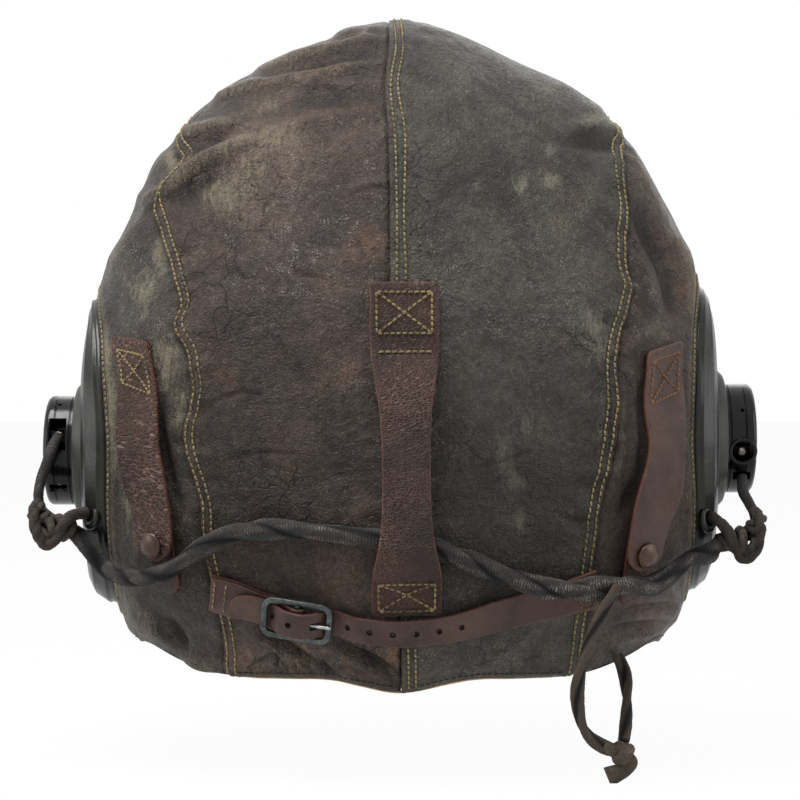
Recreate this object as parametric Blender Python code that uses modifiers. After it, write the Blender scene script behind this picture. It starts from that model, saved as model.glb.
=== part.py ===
"""Leather flying helmet with rubber ear cups, telephone receivers, goggle straps and a nape strap.

Metres, +Z up. The origin is the middle of the wearer's head on the line between the ears.
+X is the wearer's right, +Y the face opening, so the back of the hood faces -Y.
"""

import math

import bmesh
import bpy
from mathutils import Matrix, Vector

# Overall shape of the hood: its reach from the ear line, all round the middle plane
EAR_HALF_WIDTH = 0.131
NAPE_REACH = 0.121
BACK_REACH = 0.100
UPPER_BACK_REACH = 0.1205
CROWN_REACH = 0.171
BROW_REACH = 0.133
FACE_REACH = 0.095
CHIN_REACH = 0.132
JAW_REACH = 0.141
GABLE_DEPTH_SHARE = 0.03
GABLE_SPAN_SHARE = 0.42

# Leather, lining and the clearances between pieces
LEATHER = 0.0014
LINING = 0.0010
CLEAR = 0.0003
SEAM_GAP = 0.0004
LINING_CLEAR = 0.0008
LINING_SEAM_GAP = 0.0030
FLANGE_CLEAR = 0.0009
OVERRUN = 0.004
WELD = 0.000001

# Ear openings, ovals seen along the ear line
EAR_OVAL_HALF_WIDTH = 0.048
EAR_OVAL_HALF_HEIGHT = 0.063
EAR_DROP = {-1: 0.005, 1: 0.0}

# Rubber ear cups
RUBBER = 0.0016
FLANGE_REACH = 0.009
CUP_INSET = 0.005
CUP_FACE = EAR_HALF_WIDTH - CUP_INSET
TURRET_RADIUS = 0.0290
TURRET_TOP_RADIUS = 0.0262
TURRET_HEIGHT = 0.0053
TURRET_FACE = CUP_FACE + TURRET_HEIGHT
PAD_HALF_WIDTH = 0.008
PAD_HALF_THICKNESS = 0.005

# Telephone receivers, turned about the ear line
RECEIVER_RADIUS = 0.0223
RECEIVER_PROUD = 0.0122
RECEIVER_LENGTH = 0.0295
RECEIVER_FACE = TURRET_FACE + RECEIVER_PROUD
RECEIVER_END = RECEIVER_FACE - RECEIVER_LENGTH
RECEIVER_WALL = 0.0023
RECEIVER_FACE_WALL = 0.0024
RECEIVER_RIM_ROUND = 0.0024
COLLAR_REACH = 0.0020
COLLAR_WIDTH = 0.0024
RECEIVER_FIT = 0.0004
EAR_CAP_RADIUS = 0.0236
EAR_CAP_THICKNESS = 0.0036
SOUND_HOLE_RADIUS = 0.0018
SOUND_HOLE_RING = 0.0085
DIAPHRAGM_THICKNESS = 0.0005
DIAPHRAGM_STEP = 0.0050
MAGNET_LENGTH = 0.0146
MAGNET_RADIUS = 0.0120
MAGNET_BORE = 0.0080
COIL_LENGTH = 0.0190
COIL_RADIUS = 0.0074
COIL_BORE = 0.0034
WINDOW_WIDTH = 0.0070
WINDOW_HEIGHT = 0.0135
WINDOW_RISE = {-1: 0.0072, 1: -0.0050}
ROUND_WINDOW_RADIUS = 0.0044
PORT_HEIGHT = 0.0042
PORT_FALL = 0.0150
PIN_HOLE_RADIUS = 0.0008
PIN_HOLE_RISE = 0.0115
WINDOW_FROM_FACE = 0.0058
BLOCK_WIDTH = 0.0058
BLOCK_THICKNESS = 0.0022
TERMINAL_RADIUS = 0.0019
TERMINAL_HEIGHT = 0.0014

# Press studs
STUD_CAP_RADIUS = 0.0051
STUD_CAP_HEIGHT = 0.0024
STUD_SHANK_RADIUS = 0.0024
STUD_SOCKET_RADIUS = 0.0019
STUD_HOLE_RADIUS = 0.0027
STUD_BASE_RADIUS = 0.0040
STUD_BASE_HEIGHT = 0.0006
STUD_NUB_RADIUS = 0.0010
STUD_NUB_HEIGHT = 0.0018

# Centre goggle strap
STRAP_LEATHER = 0.0020
CENTRE_STRAP_TOP = 0.0590
CENTRE_STRAP_BOTTOM = -0.0640
CENTRE_STRAP_SHIFT = 0.0015
CENTRE_STRAP_LEAN = 0.0010
CENTRE_STRAP_END_WIDTH = 0.0258
CENTRE_STRAP_NECK_WIDTH = 0.0176
CENTRE_STRAP_STAND_OFF = 0.0082

# Side goggle straps: top and stud, as shares of the way across to the ear and as heights
SIDE_STRAP_WIDTH = 0.0190
SIDE_STRAP_ACROSS_SHARES = {-1: (-0.79084, -0.69466), 1: (0.77328, 0.69160)}
SIDE_STRAP_HEIGHTS = {-1: (0.0392, -0.0385), 1: (0.0362, -0.0425)}
SIDE_STRAP_SWAY = {-1: 0.0015, 1: 0.0042}
SIDE_STRAP_STAND_OFF = 0.0048
SIDE_STRAP_SEWN = 0.0150
SIDE_STRAP_FLAT_SHARE = 0.82
SIDE_STRAP_PAST_STUD = 0.0062
HINGE_GAP = 0.0006
SIDE_STRAP_WIDTH_SHARES = {
    -1: [(0.0, 1.0), (0.2, 0.97), (0.5, 0.95), (0.8, 1.0), (1.0, 1.02)],
    1: [(0.0, 1.0), (0.25, 1.02), (0.5, 0.86), (0.75, 1.02), (1.0, 0.98)],
}
PATCH_LEATHER = 0.0012
PATCH_WIDTH = 0.0135
PATCH_ABOVE_STUD = 0.0070
PATCH_BELOW_STUD = 0.0200

# Nape strap and buckle: the strap sags below its sewn ends
NAPE_END_SHARE = 0.56489
NAPE_END_SPREAD = EAR_HALF_WIDTH * NAPE_END_SHARE
NAPE_END_HEIGHT = -0.0557
NAPE_SAG = 0.0137
NAPE_SAG_POWER = 1.5
NAPE_LEATHER = 0.0016
NAPE_MIDDLE_LIFT = 0.0038
NAPE_SEWN_WIDTH = 0.0160
NAPE_MIDDLE_WIDTH = 0.0104
NAPE_TIP_SPREAD = 0.0620
HOLE_RADIUS = 0.0012
HOLE_PITCH = 0.0086
FIRST_HOLE_SPREAD = 0.0216
HOLES_BEFORE_BUCKLE = 6
HOLES_PAST_PRONG = 3
CHAPE_LEATHER = 0.0012
CHAPE_SEWN_WIDTH = 0.0145
CHAPE_FOLD_WIDTH = 0.0110
CHAPE_END_SHARE = 0.54351
CHAPE_END_SPREAD = EAR_HALF_WIDTH * CHAPE_END_SHARE
CHAPE_LAYER_GAP = 0.0006
BUCKLE_SPREAD = 0.0370
BUCKLE_LENGTH = 0.0266
BUCKLE_HEIGHT = 0.0164
BUCKLE_BAR = 0.0020
BUCKLE_ROUND = 0.0032
BUCKLE_LIFT = 0.0058
BUCKLE_TILT = math.radians(7.0)
BAR_CLEAR = 0.0005
PRONG_RADIUS = 0.00065
PRONG_SLOT_WIDTH = 0.0030
PRONG_HOLE_LENGTH = 0.0080
PRONG_HOLE_SHARE = 0.49
PRONG_REST_CLEAR = 0.0004

# Chin strap, across below the chin
CHIN_FORWARD = 0.0400
CHIN_STRAP_WIDTH = 0.0160
CHIN_LEATHER = 0.0018
CHIN_SEWN_TOP = -0.0540
CHIN_HINGE_HEIGHT = -0.0700
CHIN_PAST_EDGE = 0.0085
CHIN_LOW = -0.1000
CHIN_RISE = 0.0120
CHIN_SHOULDER_SHARE = 0.73282
CHIN_STUD_SHARE = 0.43511
CHIN_SHOULDER_SPREAD = EAR_HALF_WIDTH * CHIN_SHOULDER_SHARE
CHIN_STUD_SPREAD = EAR_HALF_WIDTH * CHIN_STUD_SHARE
CHIN_END_PAST_STUD = 0.0085

# Mask studs on the cheeks, as (forward, height)
MASK_STUD_PLACES = {"upper": (0.0550, 0.0120), "lower": (0.0530, -0.0360)}
MASK_STUD_BASE_RADIUS = 0.0045
MASK_STUD_BASE_HEIGHT = 0.0012
MASK_STUD_NECK_RADIUS = 0.0020
MASK_STUD_KNOB_RADIUS = 0.0031
MASK_STUD_HEIGHT = 0.0042

# Brow band at the forehead edge
BROW_BAND_THICKNESS = 0.0011
BROW_BAND_DEGREES = (126.0, 133.0)

# Cords
LOOM_RADIUS = 0.0038
LEAD_RADIUS = 0.0021
TIE_RADIUS = 0.0022
DROP_RADIUS = 0.0023
CORD_STEP_IN_DIAMETERS = 2.0

# Outlines on the hood: each entry is (degrees round the hood, share of the way to the ear)
BROW_EDGE_DEGREES = 134.0
SEAM_SHARES = {
    -1: [(-58, 0.332), (-36, 0.361), (3, 0.392), (24, 0.420), (38, 0.443), (51, 0.468), (66, 0.510),
         (76, 0.458), (92, 0.452), (134, 0.44)],
    1: [(-58, 0.332), (-38, 0.360), (-10, 0.392), (16, 0.418), (30, 0.440), (41, 0.472), (52, 0.455),
        (66, 0.466), (80, 0.452), (134, 0.44)],
}
RIM_SHARES = [(134, 0.44), (147, 0.445), (163, 0.50), (180, 0.547), (205, 0.557), (226, 0.567),
              (240, 0.582), (255, 0.596), (270, 0.600), (284, 0.576), (291, 0.538), (294, 0.500),
              (298.5, 0.418), (302, 0.332)]
HEM_SHARES = [(0.0, -51.6), (0.12, -51.0), (0.22, -54.2), (0.332, -58.0)]

# Soft folds in the left crown: ends as (degrees, share), then half width in share and height
FOLD_HEIGHT = 0.0026
CROWN_FOLDS_SHARES = [
    ((81.5, -0.262), (77.0, -0.032), 2.6, 1.0),
    ((78.5, -0.342), (71.0, -0.031), 2.6, 1.0),
    ((72.3, -0.408), (69.7, -0.336), 2.4, 0.8),
]

COLOURS = {
    "hood_leather": ((0.085, 0.062, 0.052, 1.0), 0.55, 0.0),
    "strap_leather": ((0.105, 0.050, 0.042, 1.0), 0.50, 0.0),
    "lining_suede": ((0.42, 0.30, 0.19, 1.0), 0.95, 0.0),
    "pad_leather": ((0.16, 0.10, 0.07, 1.0), 0.70, 0.0),
    "cup_rubber": ((0.045, 0.047, 0.045, 1.0), 0.45, 0.0),
    "bakelite": ((0.012, 0.012, 0.013, 1.0), 0.20, 0.0),
    "stud_lacquer": ((0.050, 0.025, 0.017, 1.0), 0.30, 0.4),
    "buckle_steel": ((0.060, 0.065, 0.065, 1.0), 0.42, 0.8),
    "nickel": ((0.55, 0.52, 0.45, 1.0), 0.35, 1.0),
    "magnet_steel": ((0.20, 0.20, 0.21, 1.0), 0.45, 1.0),
    "copper_winding": ((0.45, 0.18, 0.07, 1.0), 0.45, 0.8),
    "cord_cotton": ((0.045, 0.042, 0.044, 1.0), 0.90, 0.0),
}

SIDE_NAMES = {-1: "left", 1: "right"}


def clear_scene():
    for obj in list(bpy.data.objects):
        bpy.data.objects.remove(obj, do_unlink=True)


def new_collection(name):
    collection = bpy.data.collections.new(name)
    bpy.context.scene.collection.children.link(collection)
    return collection


def make_material(name):
    colour, roughness, metallic = COLOURS[name]
    material = bpy.data.materials.new(name)
    material.use_nodes = True
    shader = material.node_tree.nodes["Principled BSDF"]
    shader.inputs["Base Color"].default_value = colour
    shader.inputs["Roughness"].default_value = roughness
    shader.inputs["Metallic"].default_value = metallic
    material.diffuse_color = colour
    return material


clear_scene()
PARTS = new_collection("flying_helmet")
CUTTERS = new_collection("cutters")
MATERIALS = {name: make_material(name) for name in COLOURS}


def smooth_table(table, where, period=0.0):
    """Reads a table of (place, value) pairs with a smooth curve through them."""
    places = [entry[0] for entry in table]
    values = [entry[1] for entry in table]
    if period:
        where = (where - places[0]) % period + places[0]
        places = [places[-1] - period] + places + [places[0] + period, places[1] + period]
        values = [values[-1]] + values + [values[0], values[1]]
    else:
        where = min(max(where, places[0]), places[-1])
        places = [2 * places[0] - places[1]] + places + [2 * places[-1] - places[-2]]
        values = [2 * values[0] - values[1]] + values + [2 * values[-1] - values[-2]]
    index = 1
    while index < len(places) - 3 and where > places[index + 1]:
        index += 1
    step = places[index + 1] - places[index]
    part = (where - places[index]) / step
    slope_in = (values[index + 1] - values[index - 1]) / (places[index + 1] - places[index - 1]) * step
    slope_out = (values[index + 2] - values[index]) / (places[index + 2] - places[index]) * step
    return ((2 * part**3 - 3 * part**2 + 1) * values[index]
            + (part**3 - 2 * part**2 + part) * slope_in
            + (3 * part**2 - 2 * part**3) * values[index + 1]
            + (part**3 - part**2) * slope_out)


REACH_TABLE = [(-50, NAPE_REACH), (0, BACK_REACH), (45, UPPER_BACK_REACH), (90, CROWN_REACH),
               (135, BROW_REACH), (180, FACE_REACH), (225, CHIN_REACH), (270, JAW_REACH)]


def gable(share):
    """The tent-like crown: the skin dips a little between the centre seam and the side seams."""
    near = min(abs(share) / GABLE_SPAN_SHARE, 1)
    return 1 - GABLE_DEPTH_SHARE * math.sin(math.pi * near) ** 2


def base_point(degrees, share):
    turn = share * math.pi / 2
    reach = smooth_table(REACH_TABLE, degrees, 360) * math.cos(turn) * gable(share)
    angle = math.radians(degrees)
    return Vector((EAR_HALF_WIDTH * math.sin(turn), -reach * math.cos(angle), reach * math.sin(angle)))


def outward(degrees, share):
    """The direction square to the skin, pointing away from the head."""
    along = base_point(degrees + 0.05, share) - base_point(degrees - 0.05, share)
    across = base_point(degrees, share + 0.001) - base_point(degrees, share - 0.001)
    normal = across.cross(along).normalized()
    return normal if normal.dot(base_point(degrees, share)) > 0 else -normal


def skin(degrees, share, lift=0.0):
    """A point over the outer face of the leather, at a height above it."""
    return base_point(degrees, share) + outward(degrees, share) * lift


def back_place(x, z):
    """Degrees and share of the point on the back of the hood at x and z."""
    turn = math.asin(x / EAR_HALF_WIDTH)
    share = turn / (math.pi / 2)
    squeeze = math.cos(turn) * gable(share)
    low, high = -85.0, 89.0
    while high - low > 0.001:
        middle = (low + high) / 2
        height = smooth_table(REACH_TABLE, middle, 360) * squeeze * math.sin(math.radians(middle))
        if height < z:
            low = middle
        else:
            high = middle
    return low, share


def on_back(x, z, lift=0.0):
    return skin(*back_place(x, z), lift)


def side_place(side, y, z):
    """Degrees and share of the point on one side of the hood at y and z."""
    degrees = math.degrees(math.atan2(z, -y))
    part = math.hypot(y, z) / smooth_table(REACH_TABLE, degrees, 360)
    share = math.acos(min(part, 1)) / (math.pi / 2)
    for _ in range(12):
        share = math.acos(min(part / gable(share), 1)) / (math.pi / 2)
    return degrees, side * share


def on_side(side, y, z, lift=0.0):
    return skin(*side_place(side, y, z), lift)


def oval_point(side, grow, angle):
    """Forward and height of a point on the ear oval, made larger by grow."""
    y = -(EAR_OVAL_HALF_WIDTH + grow) * math.cos(angle)
    z = (EAR_OVAL_HALF_HEIGHT + grow) * math.sin(angle) - EAR_DROP[side]
    return y, z


def on_oval(side, grow, angle, lift=0.0):
    return on_side(side, *oval_point(side, grow, angle), lift)


def oval_share(side, grow, degrees):
    """Share of the way to the ear where the oval crosses the given direction."""
    wide = EAR_OVAL_HALF_WIDTH + grow
    high = EAR_OVAL_HALF_HEIGHT + grow
    run = -math.cos(math.radians(degrees))
    rise = math.sin(math.radians(degrees))
    drop = EAR_DROP[side]
    square = (run / wide) ** 2 + (rise / high) ** 2
    middle = rise * drop / high**2
    constant = (drop / high) ** 2 - 1
    distance = (-middle + math.sqrt(middle**2 - square * constant)) / square
    return abs(side_place(side, distance * run, distance * rise)[1])


def keep(obj, material, collection=PARTS):
    for old in list(obj.users_collection):
        old.objects.unlink(obj)
    collection.objects.link(obj)
    if material:
        obj.data.materials.clear()
        obj.data.materials.append(MATERIALS[material])
    return obj


def mesh_object(name, bm, material, collection=PARTS):
    mesh = bpy.data.meshes.new(name)
    bm.to_mesh(mesh)
    bm.free()
    mesh.shade_smooth()
    obj = bpy.data.objects.new(name, mesh)
    collection.objects.link(obj)
    if material:
        mesh.materials.append(MATERIALS[material])
    return obj


def mapped_grid(columns, rows, place):
    """A grid whose points are placed by a function of two shares, welded where its edges meet."""
    bm = bmesh.new()
    bmesh.ops.create_grid(bm, x_segments=columns, y_segments=rows, size=0.5)
    for vertex in bm.verts:
        vertex.co = place(vertex.co.x + 0.5, vertex.co.y + 0.5)
    bmesh.ops.remove_doubles(bm, verts=bm.verts, dist=WELD)
    return bm


def face_outward(bm, centre=Vector((0, 0, 0))):
    """Turns an open sheet's faces away from a point."""
    bm.normal_update()
    lean = sum(face.normal.dot(face.calc_center_median() - centre) * face.calc_area() for face in bm.faces)
    if lean < 0:
        bmesh.ops.reverse_faces(bm, faces=bm.faces)


def thicken(obj, thickness, offset=-1.0):
    solidify = obj.modifiers.new("thickness", "SOLIDIFY")
    solidify.thickness = thickness
    solidify.offset = offset
    return obj


def cut(obj, cutter):
    cutter.hide_render = True
    cutter.display_type = "WIRE"
    boolean = obj.modifiers.new("cut", "BOOLEAN")
    boolean.operation = "DIFFERENCE"
    boolean.solver = "EXACT"
    boolean.object = cutter
    return obj


def frame_at(origin, up, along):
    """A placing matrix with local Z along up and local X as near as it can be to along."""
    up = up.normalized()
    side = up.cross(along).normalized()
    forward = side.cross(up)
    return Matrix.Translation(origin) @ Matrix((forward, side, up)).transposed().to_4x4()


def add_drum(bm, radius, depth, matrix, sides=12, top_radius=None):
    """A cylinder from the local origin up local Z."""
    bmesh.ops.create_cone(
        bm, cap_ends=True, segments=sides, radius1=radius,
        radius2=radius if top_radius is None else top_radius, depth=depth,
        matrix=matrix @ Matrix.Translation((0, 0, depth / 2)))


def add_box(bm, size, matrix):
    bmesh.ops.create_cube(bm, size=1.0, matrix=matrix @ Matrix.Diagonal((*size, 1)))


def turned(name, profile, material, matrix, steps=32):
    """A turned piece: the profile's (radius, height) pairs run down its outer side."""
    mesh = bpy.data.meshes.new(name)
    closed = profile[0][0] > 0
    edges = [(i, i + 1) for i in range(len(profile) - 1)]
    if closed:
        edges.append((len(profile) - 1, 0))
    mesh.from_pydata([(radius, 0, height) for radius, height in profile], edges, [])
    obj = bpy.data.objects.new(name, mesh)
    PARTS.objects.link(obj)
    mesh.materials.append(MATERIALS[material])
    obj.matrix_world = matrix
    screw = obj.modifiers.new("turn", "SCREW")
    screw.axis = "Z"
    screw.steps = steps
    screw.render_steps = steps
    screw.use_merge_vertices = True
    screw.merge_threshold = 0.00001
    screw.use_smooth_shade = True
    return obj


def strip(name, stations, thickness, material, columns=3, offset=0.0):
    """A flat strap through stations of (point, direction of its width, half width)."""
    last = len(stations) - 1

    def place(u, v):
        point, width_way, half = stations[round(u * last)]
        return point + width_way * half * (2 * v - 1)

    bm = mapped_grid(last, columns, place)
    face_outward(bm)
    return thicken(mesh_object(name, bm, material), thickness, offset)


def widths_of(points, normals):
    """For each point of a path, the direction of a flat strap's width."""
    found = []
    for index, normal in enumerate(normals):
        ahead = points[min(index + 1, len(points) - 1)]
        behind = points[max(index - 1, 0)]
        found.append((ahead - behind).cross(normal).normalized())
    return found


def round_end(distance_left, half_width, round_share=1.0):
    """Half width of a strap whose end is rounded, at a distance from its tip."""
    reach = half_width * round_share
    if distance_left >= reach:
        return half_width
    part = 1 - max(distance_left, 0) / reach
    return half_width * max(math.sqrt(max(1 - part**2, 0)), 0.24)


# Leather panels and linings

def seam_share(side, degrees):
    return smooth_table(SEAM_SHARES[side], degrees)


def rim_share(side, degrees):
    """The outer edge of a side panel: the side seam, then the face edge and the flap's lower edge."""
    if degrees <= BROW_EDGE_DEGREES:
        return seam_share(side, degrees)
    return smooth_table(RIM_SHARES, degrees)


def crown_fold(degrees, share):
    """Height of the soft folds at a place on the crown."""
    height = 0.0
    for start, end, half_degrees, strength in CROWN_FOLDS_SHARES:
        run = (share - start[1]) / (end[1] - start[1])
        if -0.3 < run < 1.3:
            held = min(max(run, 0), 1)
            ridge = start[0] + (end[0] - start[0]) * held
            fade = math.exp(-((run - held) / 0.12) ** 2)
            height += strength * fade * math.exp(-((degrees - ridge) / half_degrees) ** 2)
    return FOLD_HEIGHT * min(height, 1.2)


TRIM_SHARE = SEAM_GAP / 2 / (EAR_HALF_WIDTH * math.pi / 2)
LINING_TRIM_SHARE = LINING_SEAM_GAP / 2 / (EAR_HALF_WIDTH * math.pi / 2)
SEAM_STEPS = 36
LINING_STEPS = 20


def crown_panel(side):
    def place(u, v):
        share_at_hem = v * SEAM_SHARES[side][0][1]
        low = smooth_table(HEM_SHARES, share_at_hem)
        degrees = low + (BROW_EDGE_DEGREES - low) * u
        share = TRIM_SHARE + (seam_share(side, degrees) - 2 * TRIM_SHARE) * v
        return skin(degrees, side * share, crown_fold(degrees, side * share))

    bm = mapped_grid(SEAM_STEPS, 8, place)
    face_outward(bm)
    obj = mesh_object(f"crown_panel_{SIDE_NAMES[side]}", bm, "hood_leather")
    return thicken(obj, LEATHER)


def spread(marks, counts):
    """Evenly spaced values between each two marks."""
    values = []
    for start, end, count in zip(marks, marks[1:], counts):
        values += [start + (end - start) * i / count for i in range(count)]
    return values + [marks[-1]]


def side_sheet(side, columns, rows, trim, grow, lift):
    """A sheet all round one ear, from the ear oval out to the panel's edge."""
    marks = [SEAM_SHARES[side][0][0], BROW_EDGE_DEGREES, 226.0, 284.0, 298.5, 302.0]
    directions = spread(marks, columns)
    last = len(directions) - 1

    def place(u, v):
        degrees = directions[round(u * last)]
        outer = rim_share(side, degrees) + trim
        inner = oval_share(side, grow, degrees)
        return skin(degrees, side * (inner + (outer - inner) * v), lift)

    bm = mapped_grid(last, rows, place)
    face_outward(bm)
    return bm


def side_panel(side):
    bm = side_sheet(side, (SEAM_STEPS, 9, 7, 3, 1), 4, TRIM_SHARE, 0.0, 0.0)
    obj = mesh_object(f"side_panel_{SIDE_NAMES[side]}", bm, "hood_leather")
    return thicken(obj, LEATHER)


def side_lining(side):
    lift = -(LEATHER + LINING_CLEAR)
    bm = side_sheet(side, (LINING_STEPS, 7, 5, 2, 1), 2, LINING_TRIM_SHARE, FLANGE_REACH + FLANGE_CLEAR, lift)
    obj = mesh_object(f"side_lining_{SIDE_NAMES[side]}", bm, "lining_suede")
    return thicken(obj, LINING)


def crown_lining():
    def place(u, v):
        side = -1 if v < 0.5 else 1
        part = abs(2 * v - 1)
        low = smooth_table(HEM_SHARES, part * SEAM_SHARES[side][0][1])
        degrees = low + (BROW_EDGE_DEGREES - low) * u
        share = (seam_share(side, degrees) - LINING_TRIM_SHARE) * part
        return skin(degrees, side * share, -(LEATHER + LINING_CLEAR))

    bm = mapped_grid(LINING_STEPS, 10, place)
    face_outward(bm)
    return thicken(mesh_object("crown_lining", bm, "lining_suede"), LINING)


def brow_band():
    half = SEAM_SHARES[1][-1][1]

    def place(u, v):
        degrees = BROW_BAND_DEGREES[0] + (BROW_BAND_DEGREES[1] - BROW_BAND_DEGREES[0]) * v
        return skin(degrees, half * (2 * u - 1), CLEAR + BROW_BAND_THICKNESS)

    bm = mapped_grid(24, 1, place)
    face_outward(bm)
    return thicken(mesh_object("brow_band", bm, "hood_leather"), BROW_BAND_THICKNESS)


# Rubber ear cups and ear pads

def ear_centre(side):
    return Vector((0, 0, -EAR_DROP[side]))


def receiver_matrix(side):
    """Local Z runs along the ear line, away from the head, and local X to the back of the hood."""
    return frame_at(ear_centre(side), Vector((side, 0, 0)), Vector((0, -1, 0)))


def ring_loft(name, rings, material, segments=36):
    """A hollow body swept round the ear, through a closed list of ring functions of the angle."""
    last = len(rings)

    def place(u, v):
        return rings[round(v * last) % last](u * 2 * math.pi)

    bm = mapped_grid(segments, last, place)
    if bm.calc_volume(signed=True) < 0:
        bmesh.ops.reverse_faces(bm, faces=bm.faces)
    return mesh_object(name, bm, material)


def ear_cup(side):
    bore = RECEIVER_RADIUS + RECEIVER_FIT
    wall = RUBBER + CLEAR

    def on_leather(grow, lift):
        return lambda angle: on_oval(side, grow, angle, lift)

    def raised(grow, part, sink=0.0):
        def point(angle):
            y, z = oval_point(side, grow, angle)
            foot = on_oval(side, grow, angle)
            return Vector((foot.x + (side * CUP_FACE - foot.x) * part - side * sink, y, z))
        return point

    def circle(radius, face):
        return lambda angle: Vector(
            (side * face, -radius * math.cos(angle), radius * math.sin(angle) - EAR_DROP[side]))

    under = LEATHER + FLANGE_CLEAR
    rings = [
        on_leather(FLANGE_REACH, -under),
        on_leather(-CLEAR, -under),
        on_leather(-2 * CLEAR - SEAM_GAP, 2 * CLEAR),
        raised(-2 * RUBBER, 0.5),
        raised(-4 * RUBBER, 0.8),
        raised(-8 * RUBBER, 0.96),
        circle(TURRET_RADIUS + RUBBER, CUP_FACE),
        circle(TURRET_RADIUS, CUP_FACE + RUBBER),
        circle(TURRET_TOP_RADIUS + 2 * CLEAR, TURRET_FACE - 2 * CLEAR),
        circle(TURRET_TOP_RADIUS, TURRET_FACE),
        circle(bore, TURRET_FACE),
        circle(bore, TURRET_FACE - wall),
        circle(TURRET_TOP_RADIUS - wall / 2, TURRET_FACE - wall),
        circle(TURRET_RADIUS - wall, CUP_FACE),
        circle(TURRET_RADIUS - wall / 2, CUP_FACE - wall),
        raised(-8 * RUBBER - wall / 2, 0.93, wall),
        raised(-4 * RUBBER - wall, 0.72, wall),
        raised(-2 * RUBBER - wall, 0.40, wall),
        on_leather(-2 * wall, -under - RUBBER),
        on_leather(FLANGE_REACH, -under - RUBBER),
    ]
    return ring_loft(f"ear_cup_{SIDE_NAMES[side]}", rings, "cup_rubber", 30)


def ear_pad(side):
    centre_lift = -(LEATHER + FLANGE_CLEAR + RUBBER + 2 * CLEAR + PAD_HALF_THICKNESS)

    def ring(turn):
        grow = PAD_HALF_WIDTH * math.cos(turn)
        lift = centre_lift + PAD_HALF_THICKNESS * math.sin(turn)
        return lambda angle: on_oval(side, grow, angle, lift)

    count = 6
    rings = [ring(2 * math.pi * i / count) for i in range(count)]
    return ring_loft(f"ear_pad_{SIDE_NAMES[side]}", rings, "pad_leather", 24)


# Telephone receivers

def drum_angle(rise):
    """Turn about the ear line that brings a place this high on the receiver to the back."""
    return math.asin(rise / RECEIVER_RADIUS)


def drum_frame(side, angle, radius):
    """Local Z out of the receiver's wall at an angle above the back, local X up round the wall."""
    way = Vector((0, -math.cos(angle), math.sin(angle)))
    height = side * (RECEIVER_FACE - WINDOW_FROM_FACE)
    middle = ear_centre(side) + Vector((height, 0, 0))
    return frame_at(middle + way * radius, way, Vector((0, math.sin(angle), math.cos(angle))))


def window_frame(side, rise):
    return drum_frame(side, drum_angle(rise), RECEIVER_RADIUS)


def receiver_shell(side):
    name = SIDE_NAMES[side]
    inner = RECEIVER_RADIUS - RECEIVER_WALL
    collar_top = TURRET_FACE - RUBBER - 3 * CLEAR
    collar_radius = RECEIVER_RADIUS + COLLAR_REACH
    step = RECEIVER_RIM_ROUND * (1 - math.sqrt(0.5))
    profile = [
        (0, RECEIVER_FACE),
        (RECEIVER_RADIUS - RECEIVER_RIM_ROUND, RECEIVER_FACE),
        (RECEIVER_RADIUS - step, RECEIVER_FACE - step),
        (RECEIVER_RADIUS, RECEIVER_FACE - RECEIVER_RIM_ROUND),
        (RECEIVER_RADIUS, collar_top),
        (collar_radius, collar_top),
        (collar_radius, collar_top - COLLAR_WIDTH),
        (RECEIVER_RADIUS, collar_top - COLLAR_WIDTH),
        (RECEIVER_RADIUS, RECEIVER_END),
        (inner, RECEIVER_END),
        (inner, RECEIVER_FACE - RECEIVER_FACE_WALL),
        (0, RECEIVER_FACE - RECEIVER_FACE_WALL),
    ]
    shell = turned(f"receiver_shell_{name}", profile, "bakelite", receiver_matrix(side), 28)
    bm = bmesh.new()
    depth = RECEIVER_WALL + OVERRUN
    window = window_frame(side, WINDOW_RISE[side])
    if side < 0:
        add_box(bm, (WINDOW_HEIGHT, WINDOW_WIDTH, 2 * depth), window)
    else:
        add_drum(bm, ROUND_WINDOW_RADIUS, 2 * depth, window @ Matrix.Translation((0, 0, -depth)), 14)
    add_box(bm, (PORT_HEIGHT, WINDOW_WIDTH, 2 * depth), window_frame(side, -PORT_FALL))
    pin = window_frame(side, PIN_HOLE_RISE + max(WINDOW_RISE[side], 0))
    add_drum(bm, PIN_HOLE_RADIUS, 2 * depth, pin @ Matrix.Translation((0, 0, -depth)), 8)
    return cut(shell, mesh_object(f"receiver_windows_{name}", bm, None, CUTTERS))


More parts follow.
